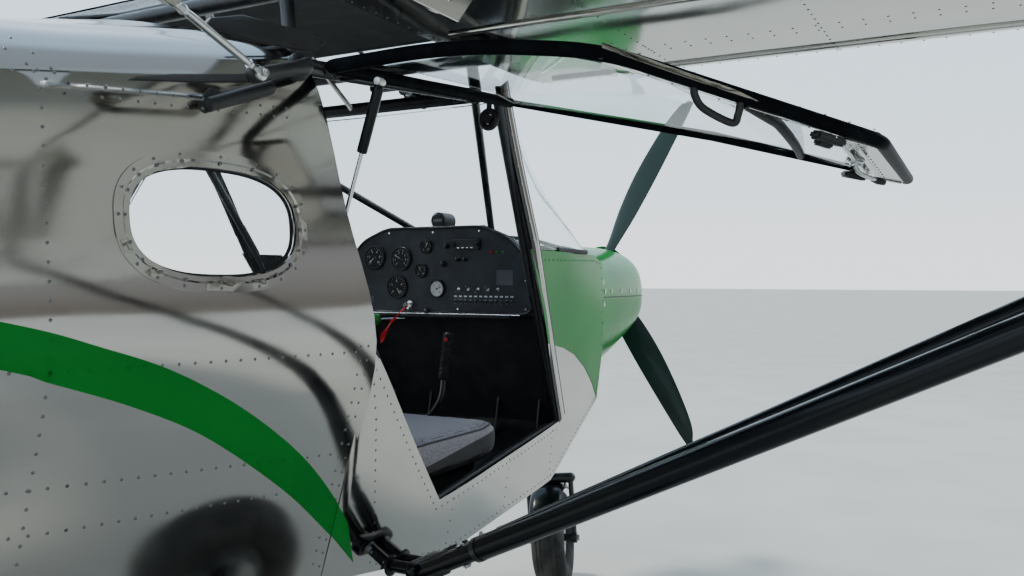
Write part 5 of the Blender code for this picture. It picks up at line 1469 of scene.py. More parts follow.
DOOR_TOP_REAR = between(DOOR_REAR_HINGE, DOOR_KNEE, 0.035)
DOOR_TOP_FRONT = between(DOOR_FRONT_HINGE, DOOR_FRONT_FOOT, 0.034)
DOOR_CORNERS = [DOOR_TOP_REAR, DOOR_KNEE, DOOR_REAR_FOOT, DOOR_FRONT_FOOT, DOOR_TOP_FRONT]
DOOR_RING = [DOOR_TOP_REAR, between(DOOR_TOP_REAR, DOOR_KNEE, 0.5), DOOR_KNEE, DOOR_REAR_FOOT,
             DOOR_FRONT_FOOT, between(DOOR_FRONT_FOOT, DOOR_TOP_FRONT, 0.5), DOOR_TOP_FRONT]
DOOR_INSIDE = place(2.1, 0, 1.1)
BRACE_LOW = between(DOOR_KNEE, DOOR_REAR_FOOT, 0.53)
BRACE_HIGH = between(DOOR_FRONT_FOOT, DOOR_TOP_FRONT, 0.20)
HINGE_SHARES = (0.14, 0.86)


def door_bulge(s, z):
    """How far the door stands out of the side's own surface between its hinge and its knee."""
    a, b = DOOR_TOP_REAR, DOOR_KNEE
    t = max(0.0, min(1.0, ((s - a[0]) * (b[0] - a[0]) + (z - a[1]) * (b[1] - a[1]))
                     / ((b[0] - a[0]) ** 2 + (b[1] - a[1]) ** 2)))
    reach = (2.62 - s) / 0.60
    return DOOR_BULGE * 4 * t * (1 - t) * max(0.0, min(1.0, 1 - reach))


def door_at(s, z, side, inward=0.0):
    return on_side(s, z, side, inward - door_bulge(s, z))


def door_plate(outline, side, inward, depth, step=0.03):
    """A thin sheet of the door over a side-view outline, swung up."""
    bm = clipped_sheet(outline, step)
    for vert in bm.verts:
        s, z = vert.co.x, vert.co.y
        vert.co = door_at(s, z, side, inward)
    return swung(solidify(bm, depth, DOOR_INSIDE), side)


def make_doors():
    for side, word in SIDES:
        body = f"door_{word}"
        rear, front = hinge_points(side)
        axis = (front - rear).normalized()
        corner_points = [on_side(*p, side, -DOOR_BULGE if i == 1 else 0.0) for i, p in enumerate(DOOR_RING)]
        path = filleted(corner_points, (0.02, 0.30, 0.075, 0.045, 0.035, 0.0, 0.02), 9)
        radii = [DOOR_TUBE] * len(path)
        front_foot, front_top = corner_points[4], corner_points[6]
        along = (front_top - front_foot).normalized()
        for i, p in enumerate(path):
            off = (p - front_foot) - along * (p - front_foot).dot(along)
            if off.length < 0.004:
                radii[i] = 0.0092
        parts = [swung(closed_tube(path, radii, 20), side)]
        for share in HINGE_SHARES:
            at = rear + (front - rear) * share
            seat = on_side(*DOOR_TOP_REAR, side).lerp(on_side(*DOOR_TOP_FRONT, side), share)
            parts.append(swung(tube([at, seat], 0.0065, 12), side))
            barrel = [(-0.030, 0.0), (-0.030, 0.0092), (-0.029, 0.0100), (0.029, 0.0100), (0.030, 0.0092),
                      (0.030, 0.0)]
            parts.append(turned(barrel, at, axis, 24))
        low, high = between(DOOR_KNEE, DOOR_REAR_FOOT, 0.49), between(DOOR_FRONT_FOOT, DOOR_TOP_FRONT, 0.275)
        brace = []
        for k in range(17):
            t = k / 16
            bow = 4 * t * (1 - t)
            s, z = between(between(low, high, t), DOOR_REAR_FOOT, 0.10 * bow)
            brace.append(door_at(s, z, side, 0.004 + 0.014 * bow))
        parts.append(swung(tube(brace, 0.0105, 16), side))
        piece(f"door_tubes_{word}", join(parts), "tubing", body, replaces=(f"door_frame_{word}",), angle=35)
        make_door_skin(side, word, body)
        make_door_fittings(side, word, body)


def make_door_skin(side, word, body):
    edge = DOOR_CORNERS[1:4]
    inner = inset(DOOR_CORNERS, DOOR_TUBE + DOOR_STRIP)
    front_in = between(DOOR_FRONT_FOOT, DOOR_TOP_FRONT, 0.115)
    strip = edge + [front_in, inner[2], inner[1]]
    shrunk = inset(edge + [between(edge[2], front_in, 0.98), inner[2], inner[1]], 0.004)
    for name, outline, inward in (("skin", strip, -0.0050), ("skin_inner", shrunk, 0.0100)):
        sheet = door_plate(outline, side, inward, 0.0012, 0.02)
        piece(f"door_{name}_{word}", sheet, "aluminium", body, angle=30, weld=1e-5)
    lip_outer = inset(DOOR_CORNERS, -0.024)
    lip_inner = inset(DOOR_CORNERS, 0.006)
    for name, a, b in (("rear", 1, 2), ("low", 2, 3)):
        rows = []
        for k in range(25):
            t = k / 24
            fade = max(0.22, 1 - max(0.0, (t - 0.40) / 0.35)) if name == "rear" else 0.22
            taper = min(1.0, 6 * t + 0.25) * fade
            low = between(lip_inner[a], lip_inner[b], t)
            high = between(lip_outer[a], lip_outer[b], t)
            row = []
            for j in range(5):
                u = j / 4
                s, z = between(low, between(low, high, taper), u)
                row.append(door_at(s, z, side, -0.0125 - 0.005 * sin(pi * u) + 0.008 * u))
            rows.append(row)
        bm = solidify(loft(rows, closed=False), 0.0010, DOOR_INSIDE)
        piece(f"door_lip_{name}_{word}", swung(bm, side), "aluminium", body, angle=40)
    spots = []
    swing = door_swing(side)
    inward_normal = (swing.to_3x3() @ Vector((0, -side, -0.15))).normalized()
    middle = inset(DOOR_CORNERS, 0.050)
    for s, z in spread(middle[1], middle[2], 0.045) + spread(middle[2], middle[3], 0.045):
        spots.append((swing @ door_at(s, z, side, 0.0112), inward_normal))
    rivets(f"door_inner_rivets_{word}", spots, 0.0028, body=body)
    spots = []
    outward_normal = -inward_normal
    for s, z in spread(middle[1], middle[2], 0.035) + spread(middle[2], middle[3], 0.035):
        spots.append((swing @ door_at(s, z, side, -0.0049), outward_normal))
    rear_edge = [between(DOOR_KNEE, DOOR_REAR_FOOT, share) for share in (0.03, 0.97)]
    for s, z in spread(*rear_edge, 0.052):
        spots.append((swing @ door_at(s, z, side, -0.0165), outward_normal))
    rivets(f"door_outer_rivets_{word}", spots, 0.0028, body=body)
    bay = inset(DOOR_RING, DOOR_TUBE + 0.0035)
    lap = inset(DOOR_CORNERS, DOOR_TUBE + DOOR_STRIP - 0.010)
    pane = [bay[0], bay[1], between(lap[1], bay[1], 0.03), lap[2], between(bay[4], bay[5], 0.20), *bay[5:]]
    piece(f"door_pane_{word}", door_plate(pane, side, 0.0022, 0.003), "glass", body,
          replaces=(f"door_glass_{word}",), angle=40, weld=1e-5)
    spots = []
    for s, z in spread(DOOR_RING[0], DOOR_RING[1], 0.075) + spread(DOOR_RING[1], DOOR_RING[2], 0.075):
        spots.append((swing @ door_at(s, z, side, 0.0125), inward_normal))
    for s, z in spread(DOOR_RING[4], DOOR_RING[6], 0.085)[1:-1]:
        spots.append((swing @ on_side(s, z, side, 0.0088), inward_normal))
    rivets(f"door_screws_{word}", spots, 0.0036, "steel", body)


DOOR_HANDLE = (
    # share from the knee to the rear foot, depth inwards, share of the low edge's run
    (0.315, 0.006, 0.0), (0.322, 0.021, 0.004), (0.355, 0.036, 0.012), (0.455, 0.044, 0.012),
    (0.475, 0.028, 0.004), (0.480, 0.006, 0.0),
)


def make_door_grips(side, word, body):
    """The inside handle, and the round vent in the pane with its slide."""
    low_run = (DOOR_FRONT_FOOT[0] - DOOR_REAR_FOOT[0], DOOR_FRONT_FOOT[1] - DOOR_REAR_FOOT[1])
    points = []
    for share, depth, shift in DOOR_HANDLE:
        s, z = between(DOOR_KNEE, DOOR_REAR_FOOT, share)
        points.append(door_at(s + low_run[0] * shift, z + low_run[1] * shift, side, depth))
    handle = swung(tube(curve_points(points, 7), 0.0068, 16), side)
    piece(f"door_handle_{word}", handle, "plastic", body, angle=60)
    on_brace = between(BRACE_LOW, BRACE_HIGH, 0.42)
    vent = (on_brace[0] + 0.135, on_brace[1] + 0.055)
    rings = []
    for wide, tall, depth in ((0.047, 0.036, 0.0020), (0.047, 0.036, 0.0052), (0.041, 0.030, 0.0066),
                              (0.036, 0.026, 0.0052), (0.036, 0.026, 0.0020)):
        line = superellipse(vent, (wide, tall), 40, 2.0)
        rings.append([door_at(s, z, side, 0.0048 + depth) for s, z in line])
    piece(f"door_vent_{word}", swung(loft(rings, False, False), side), "glass", body, angle=50)
    slide = superellipse((vent[0] - 0.010, vent[1]), (0.030, 0.021), 32, 2.0)
    rings = [[door_at(s, z, side, d) for s, z in slide] for d in (0.0066, 0.0084)]
    piece(f"door_vent_slide_{word}", swung(loft(rings), side), "glass", body, angle=50)


def make_door_fittings(side, word, body):
    """The latch with its blocks, rods and grip, the free end's frame and the hinge bolts."""

    def inner(s, z, depth):
        return door_at(s, z, side, depth)

    make_door_grips(side, word, body)
    brackets = []
    foot_way = (on_side(*DOOR_REAR_FOOT, side) - on_side(*DOOR_KNEE, side)).normalized()
    low_way = (on_side(*DOOR_FRONT_FOOT, side) - on_side(*DOOR_REAR_FOOT, side)).normalized()
    inner_way = Vector((0, -side, 0))
    front_way = (on_side(*DOOR_FRONT_FOOT, side) - on_side(*DOOR_TOP_FRONT, side)).normalized()
    for (s, z), way, off in ((between(DOOR_KNEE, DOOR_REAR_FOOT, 0.80), foot_way, low_way),
                             (between(DOOR_FRONT_FOOT, DOOR_TOP_FRONT, 0.135), front_way, -low_way)):
        base = on_side(s, z, side, 0.020) + off * 0.016
        wide = (off - way * off.dot(way)).normalized()
        rise = way.cross(wide)
        turn = Matrix((way, wide, rise)).transposed()
        brackets.append(swung(box(base, (0.058, 0.034, 0.016), turn, 0.004, 2), side))
        cap = base + rise * -0.010 + wide * 0.010
        brackets.append(swung(box(cap, (0.030, 0.022, 0.012), turn, 0.003, 2), side))
    piece(f"door_latch_blocks_{word}", join(brackets), "plastic", body, angle=40)
    low = between(DOOR_KNEE, DOOR_REAR_FOOT, 0.83)
    high = between(DOOR_FRONT_FOOT, DOOR_TOP_FRONT, 0.10)
    hub = between(low, high, 0.52)
    parts = [tube([inner(*low, 0.018), inner(*hub, 0.022)], 0.0042, 12),
             tube([inner(*hub, 0.022), inner(*high, 0.018)], 0.0042, 12)]
    hub3 = inner(*hub, 0.020)
    parts.append(turned([(-0.012, 0.0), (-0.012, 0.016), (-0.008, 0.019), (0.004, 0.019), (0.008, 0.012),
                         (0.012, 0.012), (0.014, 0.0)], hub3, inner_way, 28))
    lever = [hub3 + inner_way * 0.010, hub3 + inner_way * 0.024 + foot_way * 0.012,
             hub3 + inner_way * 0.028 + foot_way * 0.055 + low_way * 0.012]
    parts.append(tube(curve_points(lever, 6), 0.0048, 12))
    for share in (0.12, 0.30, 0.70, 0.88):
        at = inner(*between(low, high, share), 0.018)
        parts.append(box(at + inner_way * -0.004, (0.012, 0.012, 0.010), None, 0.002))
    piece(f"door_latch_{word}", swung(join(parts), side), "bright", body, angle=40)
    knob = hub3 + inner_way * 0.028 + foot_way * 0.060 + low_way * 0.014
    grip = tube([knob - foot_way * 0.016, knob, knob + foot_way * 0.016], (0.006, 0.0085, 0.006), 14)
    piece(f"door_latch_grip_{word}", swung(grip, side), "plastic", body, angle=50)
    outer_rear, outer_front = inset(DOOR_CORNERS, 0.014)[2:4]
    inner_rear = inset(DOOR_CORNERS, 0.062)[2]
    inner_front = between(DOOR_FRONT_FOOT, DOOR_TOP_FRONT, 0.075)
    parts = []
    for a, b in ((outer_rear, inner_rear), (outer_front, inner_front)):
        parts.append(tube([inner(*between(a, b, t), 0.0125) for t in (0, 0.5, 1)], 0.0055, 10, 0.5))
    top_line = [inner(*between(inner_rear, inner_front, k / 8), 0.0125) for k in range(9)]
    parts.append(tube(top_line, 0.0075, 10, 0.45))
    piece(f"door_end_frame_{word}", swung(join(parts), side), "aluminium", body, angle=50)
    rear, front = hinge_points(side)
    axis = (front - rear).normalized()
    bolts = [bolt(rear + (front - rear) * share, axis, 0.0045, 0.062, 0.004) for share in HINGE_SHARES]
    piece(f"door_hinge_bolts_{word}", join(bolts), "bright", body, angle=30)


GAS_PLACE = (2.640, 0.100, 0.030)
GAS_FOOT = (2.612, 1.395, 0.030)


def make_gas_struts():
    for side, word in SIDES:
        rear = hinge_points(side)[0]
        upper = place(GAS_PLACE[0], rear.y + side * GAS_PLACE[1], rear.z - GAS_PLACE[2])
        lower = on_side(GAS_FOOT[0], GAS_FOOT[1], side, GAS_FOOT[2])
        along = (lower - upper).normalized()
        reach = (lower - upper).length
        profile = [(-0.006, 0.0), (-0.006, 0.005), (0.004, 0.0062), (0.010, 0.0085), (0.014, 0.0100),
                   (0.131, 0.0100), (0.1345, 0.0092), (0.135, 0.0060), (0.135, 0.0048), (0.012, 0.0048),
                   (0.012, 0.0)]
        piece(f"gas_tube_{word}", turned(profile, upper, along, 28), "black", body_of(f"gas_cylinder_{word}"),
              replaces=(f"gas_cylinder_{word}",), angle=35)
        start = upper + along * 0.115
        rod = turned([(0.0, 0.0), (0.0, 0.0040), (reach - 0.115 - 0.004, 0.0042), (reach - 0.115, 0.0062),
                      (reach - 0.115 + 0.006, 0.0050), (reach - 0.115 + 0.0065, 0.0)], start, along, 20)
        piece(f"gas_shaft_{word}", rod, "bright", body_of(f"gas_rod_{word}"), replaces=(f"gas_rod_{word}",),
              angle=40)
        ball = turned([(-0.010, 0.0), (-0.010, 0.007), (-0.006, 0.0085), (0.004, 0.0085), (0.010, 0.006),
                       (0.011, 0.0)], upper, Vector((1, 0, 0)), 20)
        piece(f"gas_ball_{word}", ball, "bright", body_of(f"gas_cylinder_{word}"), angle=40)


def body_of(node):
    """The body that a CAD node belongs to."""
    bodies = frame["record"]["behaviour"]["bodies"]
    return next(name for name, nodes in bodies.items() if node in nodes)


# Instrument panel
PANEL = 1.43
PANEL_HALF = ((0.375, 1.170), (0.375, 1.290), (0.345, 1.360), (0.290, 1.420), (0.190, 1.460))
AFT = Vector((-1, 0, 0))


def on_panel(y, z, out=0.0):
    return place(PANEL + out, y, z)


def panel_disc(y, z, profile, steps=40):
    """A turned shape standing on the panel; its profile is (out from the panel, radius)."""
    return turned(profile, on_panel(y, z), AFT, steps)


def written(text, y, z, size, out):
    """A generic number laid on the panel as a thin mesh."""
    data = bpy.data.curves.new("number", "FONT")
    data.body = text
    data.size = size
    data.align_x = "CENTER"
    data.align_y = "CENTER"
    data.extrude = 0.0001
    thing = put("number", data)
    bpy.context.view_layer.update()
    mesh = applied(thing)
    bpy.data.objects.remove(thing, do_unlink=True)
    bm = bmesh.new()
    bm.from_mesh(mesh)
    bpy.data.meshes.remove(mesh)
    turn = Matrix(((0, 0, -1), (-1, 0, 0), (0, 1, 0)))
    bmesh.ops.transform(bm, matrix=turn.to_4x4(), verts=bm.verts)
    bmesh.ops.translate(bm, vec=on_panel(y, z, out), verts=bm.verts)
    return bm


DIALS = (
    # middle y, middle z, radius, pointer turn in degrees, numbers, look of the face
    (0.238, 1.359, 0.039, 215, ("0", "2", "4", "6", "8", "10"), "dial"),
    (0.128, 1.354, 0.038, 150, ("0", "1", "2", "3", "4", "5", "6", "7"), "dial"),
    (0.026, 1.394, 0.022, 60, ("0", "5", "10"), "dial"),
    (0.045, 1.313, 0.022, 120, ("0", "5", "10"), "dial"),
    (0.144, 1.258, 0.038, 300, ("0", "3", "6", "9", "12"), "dial"),
    (-0.019, 1.253, 0.028, 20, ("0", "4", "8", "12"), "pale"),
)


def dial_turn(degrees):
    """The way outwards on a dial at an angle, and the turn that lays a stroke along it."""
    angle = radians(degrees)
    out = Vector((0, -cos(angle), sin(angle)))
    side = Vector((0, sin(angle), cos(angle)))
    return out, Matrix((out, side, AFT)).transposed()


def make_panel():
    ring = [(-y, z) for y, z in PANEL_HALF] + [(y, z) for y, z in reversed(PANEL_HALF)]
    inner = inset(ring, 0.007)
    plate_bm = loft([[on_panel(y, z, out) for y, z in inner] for out in (0.0004, 0.0024)])
    bmesh.ops.bevel(plate_bm, geom=plate_bm.edges[:], offset=0.0006, segments=1, affect="EDGES")
    piece("panel_face", plate_bm, "panel", angle=30)
    rim = filleted([on_panel(y, z, 0.001) for y, z in inset(ring, 0.003)], [0.03] * len(ring), 6)
    piece("panel_rim", closed_tube(rim, [0.0055] * len(rim), 12), "plastic", angle=60)
    bezels, faces, pale, marks, hands, dark = [], [], [], [], [], []
    for y, z, radius, turn, numbers, look in DIALS:
        bezel = [(0.002, 0.0), (0.002, radius * 1.10), (0.0085, radius * 1.10), (0.0110, radius * 1.04),
                 (0.0112, radius * 0.96), (0.0070, radius * 0.90), (0.0070, 0.0)]
        bezels.append(panel_disc(y, z, bezel, 56))
        face = panel_disc(y, z, [(0.0071, radius * 0.895), (0.0074, radius * 0.89), (0.0074, 0.0)], 56)
        (pale if look == "pale" else faces).append(face)
        strokes = dark if look == "pale" else marks
        count = 4 * (len(numbers) - 1) if len(numbers) > 3 else 10
        for k in range(count + 1):
            out, across = dial_turn(225 - 270 * k / count)
            long, wide = (0.14, 0.0010) if k % 4 == 0 else (0.08, 0.0006)
            middle = on_panel(y, z, 0.0076) + out * radius * (0.86 - long / 2)
            strokes.append(box(middle, (radius * long, wide, 0.0003), across))
        for k, word in enumerate(numbers):
            angle = radians(225 - 270 * k / (len(numbers) - 1))
            strokes.append(written(word, y - cos(angle) * radius * 0.56, z + sin(angle) * radius * 0.56,
                                   radius * 0.26, 0.0076))
        out, across = dial_turn(turn)
        hand = box(on_panel(y, z, 0.0084) + out * radius * 0.28, (radius * 0.80, 0.0018, 0.0005), across)
        hub = panel_disc(y, z, [(0.0075, radius * 0.10), (0.0092, radius * 0.10), (0.0094, 0.0)], 20)
        (dark if look == "pale" else hands).append(hand)
        dark.append(hub)
        screw = [(0.0024, 0.0), (0.0024, 0.0024), (0.0036, 0.0020), (0.0038, 0.0)]
        for a in (45, 135, 225, 315):
            spot = (y + cos(radians(a)) * radius * 1.26, z + sin(radians(a)) * radius * 1.26)
            dark.append(panel_disc(*spot, screw, 14))
    for name, parts, look, smooth in (
            ("bezels", bezels, "plastic", True), ("faces", faces, "dial", True),
            ("face_light", pale, "white", True), ("marks", marks, "white", False),
            ("hands", hands, "white", False), ("dark_marks", dark, "plastic", True)):
        piece(f"dial_{name}", join(parts), look, smooth=smooth, angle=40)
    make_switches()
    make_throttle()
    make_compass()


def make_switches():
    """Breakers, toggles, knobs, radio, lamps and key, gathered by finish."""
    parts, light, red, silver = [], [], [], []
    breaker = [(0.0024, 0.0), (0.0024, 0.0066), (0.0060, 0.0062), (0.0066, 0.0050), (0.0110, 0.0048),
               (0.0114, 0.0)]
    washer = [(0.0024, 0.0), (0.0024, 0.0076), (0.0032, 0.0074), (0.0034, 0.0060)]
    for k in range(12):
        y = -0.090 - 0.0193 * k
        parts.append(panel_disc(y, 1.211, breaker, 20))
        silver.append(panel_disc(y, 1.211, washer, 20))
        light.append(box(on_panel(y, 1.229, 0.0026), (0.0006, 0.0110, 0.0050)))
    nut = [(0.0024, 0.0), (0.0024, 0.0062), (0.0064, 0.0058), (0.0068, 0.0)]
    for k in range(5):
        y = -0.105 - 0.037 * k
        silver.append(panel_disc(y, 1.252, nut, 6))
        lean = 0.006 if k % 2 else -0.006
        silver.append(tube([on_panel(y, 1.252, 0.006), on_panel(y, 1.252 + lean, 0.018),
                            on_panel(y, 1.252 + lean * 1.3, 0.022)], (0.0022, 0.0027, 0.0032), 12))
    for y, z, radius in ((-0.054, 1.396, 0.0095), (-0.043, 1.336, 0.0095), (0.020, 1.178, 0.010),
                         (-0.100, 1.350, 0.007), (-0.128, 1.350, 0.007)):
        knob = [(0.0024, 0.0), (0.0024, radius * 1.15), (0.0050, radius * 1.10), (0.0056, radius * 0.9),
                (0.0160, radius * 0.84), (0.0176, radius * 0.7), (0.0180, 0.0)]
        parts.append(panel_disc(y, z, knob, 28))
        light.append(box(on_panel(y, z + radius * 0.45, 0.0182), (0.0006, 0.0010, radius * 0.7)))
    parts.append(box(on_panel(-0.131, 1.3995, 0.006), (0.010, 0.106, 0.038), None, 0.003, 3))
    parts.append(box(on_panel(-0.131, 1.3995, 0.0112), (0.0012, 0.064, 0.020), None, 0.0005, 1))
    dial = [(0.010, 0.0), (0.010, 0.0062), (0.020, 0.0056), (0.021, 0.0)]
    for y in (-0.087, -0.175):
        parts.append(panel_disc(y, 1.3995, dial, 24))
    for k in range(4):
        at = on_panel(-0.105 - 0.017 * k, 1.3885, 0.0113)
        silver.append(box(at, (0.0018, 0.0085, 0.0040), None, 0.0006, 1))
    cards = [box(on_panel(-0.2745, 1.291, 0.0027), (0.0008, 0.059, 0.048), None, 0.0003, 1),
             box(on_panel(0.27, 1.215, 0.0027), (0.0008, 0.050, 0.022), None, 0.0003, 1)]
    piece("panel_cards", join(cards), "card", smooth=False)
    screw = [(0.0024, 0.0), (0.0024, 0.0042), (0.0036, 0.0036), (0.0040, 0.0)]
    for y, z in ((-0.352, 1.19), (-0.352, 1.28), (0.352, 1.19), (0.352, 1.28), (0.18, 1.443), (-0.18, 1.443),
                 (0.0, 1.443), (-0.10, 1.186), (0.10, 1.186)):
        silver.append(panel_disc(y, z, screw, 16))
    green = []
    lens = [(0.0024, 0.0048), (0.0056, 0.0044), (0.0072, 0.0026), (0.0078, 0.0)]
    for y, lamps in ((-0.225, red), (-0.247, green), (-0.269, green)):
        lamps.append(panel_disc(y, 1.372, lens, 20))
    key_y, key_z = 0.089, 1.201
    lock = [(0.0024, 0.0), (0.0024, 0.0125), (0.0075, 0.0118), (0.0085, 0.0070), (0.0085, 0.0)]
    silver.append(panel_disc(key_y, key_z, lock, 28))
    silver.append(box(on_panel(key_y, key_z, 0.020), (0.024, 0.0022, 0.010), None, 0.0008, 1))
    turns = [2 * pi * k / 16 for k in range(16)]
    hoop = [on_panel(key_y, key_z + 0.010 * cos(t) - 0.004, 0.0335 + 0.008 * sin(t)) for t in turns]
    silver.append(closed_tube(hoop, [0.0010] * 16, 8))
    piece("panel_controls", join(parts), "plastic", angle=40)
    piece("panel_labels", join(light), "white", smooth=False)
    piece("panel_metal", join(silver), "bright", angle=40)
    piece("panel_lamp_red", join(red), "red_plastic", angle=50)
    piece("panel_lamps_green", join(green), "green_plastic", angle=50)


def make_throttle():
    """The key's ribbon, the throttle and the rail and strip along the panel's lower edge."""
    ribbon = []
    path = curve_points([on_panel(0.091, 1.190, 0.034), on_panel(0.104, 1.172, 0.044),
                         on_panel(0.135, 1.145, 0.040), on_panel(0.160, 1.108, 0.052),
                         on_panel(0.176, 1.070, 0.046)], 8)
    for i, p in enumerate(path):
        wave = sin(i * 0.55)
        across = Vector((0.35 * wave, -0.8, 0.45)).normalized() * 0.0125
        ribbon.append([p - across, p + Vector((0.0012 * wave, 0, 0)), p + across])
    piece("key_ribbon", solidify(loft(ribbon, closed=False), 0.0014, place(1.43, 0.1, 1.1)), "red", angle=60)
    ball = on_panel(0.204, 1.146, 0.046)
    pull = [on_panel(0.122, 1.152, -0.010), on_panel(0.150, 1.150, 0.020), ball]
    piece("throttle_rod", tube(curve_points(pull, 6), 0.0042, 14), "bright", angle=60)
    ball_bm = turned([(-0.022, 0.0), (-0.0200, 0.009), (-0.0135, 0.0172), (-0.004, 0.0215), (0.006, 0.0205),
                      (0.015, 0.0150), (0.020, 0.008), (0.0220, 0.0)], ball, (-0.2, 0.9, 0), 28)
    piece("throttle_knob", ball_bm, "green_plastic", angle=60)
    shelf = [on_panel(y, 1.162, 0.004) for y in (-0.30, -0.1, 0.1, 0.30)]
    piece("panel_lower_rail", tube(shelf, 0.007, 12), "plastic", angle=60)
    edge = [on_panel(y, 1.1695, 0.008) for y in (-0.335, -0.1, 0.1, 0.365)]
    piece("panel_edge_strip", tube(edge, 0.0026, 8), "bright", angle=60)


def make_compass():
    station, height = 1.365, 1.484
    middle = place(station, 0, height)
    body = turned([(-0.0400, 0.0), (-0.0400, 0.0255), (-0.037, 0.0285), (0.031, 0.0285), (0.036, 0.0255),
                   (0.040, 0.015), (0.0405, 0.0)], middle, FRONT, 36)
    piece("compass_case", body, "plastic", angle=40)
    card = turned([(-0.0405, 0.0), (-0.0405, 0.0205), (-0.0400, 0.0210)], middle, FRONT, 36)
    piece("compass_card", card, "dial", angle=40)
    parts = []
    for k in range(9):
        y = -0.0150 + 0.0037 * k
        parts.append(box(place(station + 0.0410, y, height), (0.0004, 0.0007, 0.007 if k % 2 else 0.012)))
    piece("compass_marks", join(parts), "white", smooth=False)
    window = turned([(-0.0420, 0.0), (-0.0420, 0.0222), (-0.0402, 0.0240)], middle, FRONT, 36)
    piece("compass_window", window, "glass", angle=40)
    foot = box(place(station, 0, 1.4605), (0.050, 0.034, 0.006), None, 0.0015)
    piece("compass_foot", foot, "plastic", angle=40)


# Cabin
def floor_z(station):
    """The floor's height at a station."""
    return row_at(SIDE, station)[1]


def make_interior():
    """Dark floor covering, side liners and the cover over the firewall's cabin side."""
    rows = []
    for station in (0.985, 1.15, 1.30, 1.45, 1.70, 1.95, 2.12, 2.35, 2.56):
        half = row_at(SIDE, station)[0] - 0.010
        rows.append([place(station, half * k / 4, floor_z(station) + 0.0062 + 0.0008 * sin(station * 40 + k))
                     for k in range(-4, 5)])
    piece("floor_mat", solidify(loft(smooth_rows(rows, 3), closed=False), 0.0022, place(1.8, 0, 5.0)), "trim",
          angle=50)
    hole = inset(DOOR_HOLE, -0.012)
    low = [(1.02, 0.885), (1.45, 0.680), (2.12, 0.622), (2.565, 0.688), between(hole[2], hole[1], KNEE_SHARE),
           hole[2], hole[3], between(hole[3], hole[4], 0.56), (1.115, 1.360), (1.02, 1.335)]
    for side, word in SIDES:
        bm = clipped_sheet(low, 0.04)
        for vert in bm.verts:
            s, z = vert.co.x, vert.co.y
            vert.co = place(s, side * (cabin_y(s, z) - 0.0075), z)
        piece(f"side_liner_{word}", solidify(bm, 0.002, place(1.8, 0, 1.1)), "trim", angle=40, weld=1e-5)
    cover = []
    for z in (0.885, 1.00, 1.15, 1.30, 1.36):
        half = side_y(0.985, z) - 0.012
        cover.append([place(0.988, half * k / 4, z + (0.025 if z > 1.3 and abs(k) < 3 else 0))
                      for k in range(-4, 5)])
    piece("firewall_cover", solidify(loft(cover, closed=False), 0.003, place(1.8, 0, 1.1)), "trim", angle=40)
    bin_front = []
    for z, lean in ((1.158, 0.0), (1.05, 0.02), (0.93, 0.06), (0.80, 0.10)):
        station = 1.30 - lean
        half = side_y(station, z) - 0.045
        bin_front.append([place(station, half * k / 6, z) for k in range(-6, 7)])
    well = solidify(loft(smooth_rows(bin_front, 2), closed=False), 0.003, place(2.2, 0, 1.1))
    piece("footwell_cover", well, "trim", angle=40)
    pedals = []
    for y in (-0.30, -0.14, 0.14, 0.30):
        base = place(1.245, y, floor_z(1.245) + 0.010)
        top = place(1.215, y, floor_z(1.215) + 0.150)
        pedals.append(tube([base, top], 0.0065, 12))
        pedals.append(tube([top + Vector((0, -0.045, 0)), top + Vector((0, 0.045, 0))], 0.0105, 14))
        pedals.append(box(base, (0.05, 0.030, 0.012), None, 0.003))
    piece("rudder_pedals", join(pedals), "steel", angle=40)
    console = []
    for station, half, high in ((1.46, 0.040, 0.075), (1.60, 0.040, 0.080), (1.78, 0.042, 0.088)):
        z = floor_z(station) + 0.008
        console.append([place(station, -half, z), place(station, -half, z + high * 0.8),
                        place(station, -half * 0.7, z + high), place(station, half * 0.7, z + high),
                        place(station, half, z + high * 0.8), place(station, half, z)])
    piece("tunnel_cover", loft(console), "trim", angle=50)


def make_stick():
    """The control stick's bent tube, its ribbed grip, the boot at its foot and the button."""
    foot = place(1.62, -0.055, floor_z(1.62) + 0.0062)
    path = curve_points([foot, place(1.625, -0.075, 0.80), place(1.600, -0.140, 0.905),
                         place(1.582, -0.145, 1.000)], 8)
    piece("stick_tube", tube(path, 0.0098, 20), "steel", replaces=("control_stick",), angle=60)
    low = place(1.588, -0.143, 0.968)
    high = place(1.565, -0.150, 1.115)
    along = (high - low).normalized()
    profile = [(0.0, 0.0), (0.0, 0.0130)]
    count = 13
    pitch = ((high - low).length - 0.016) / count
    for k in range(count):
        at = 0.004 + pitch * k
        profile += [(at + pitch * share, radius)
                    for share, radius in ((0.0, 0.0148), (0.15, 0.0168), (0.65, 0.0168), (0.80, 0.0148))]
    end = (high - low).length
    profile += [(end - 0.012, 0.0172), (end - 0.004, 0.0165), (end, 0.0120), (end + 0.001, 0.0)]
    piece("stick_grip", turned(profile, low, along, 32), "seal", angle=50)
    boot = [(0.0, 0.0), (0.0, 0.050), (0.008, 0.044), (0.014, 0.036), (0.020, 0.034), (0.027, 0.025),
            (0.033, 0.023), (0.040, 0.014)]
    boot_foot = place(1.62, -0.0575, floor_z(1.62) + 0.0062)
    piece("stick_boot", turned(boot, boot_foot, UP, 32), "seal", angle=70)
    button = [(-0.001, 0.0), (-0.001, 0.0065), (0.004, 0.0060), (0.0052, 0.0)]
    at = high - along * 0.020 + AFT * 0.0150
    piece("stick_button", turned(button, at, AFT, 20), "red_plastic", angle=50)


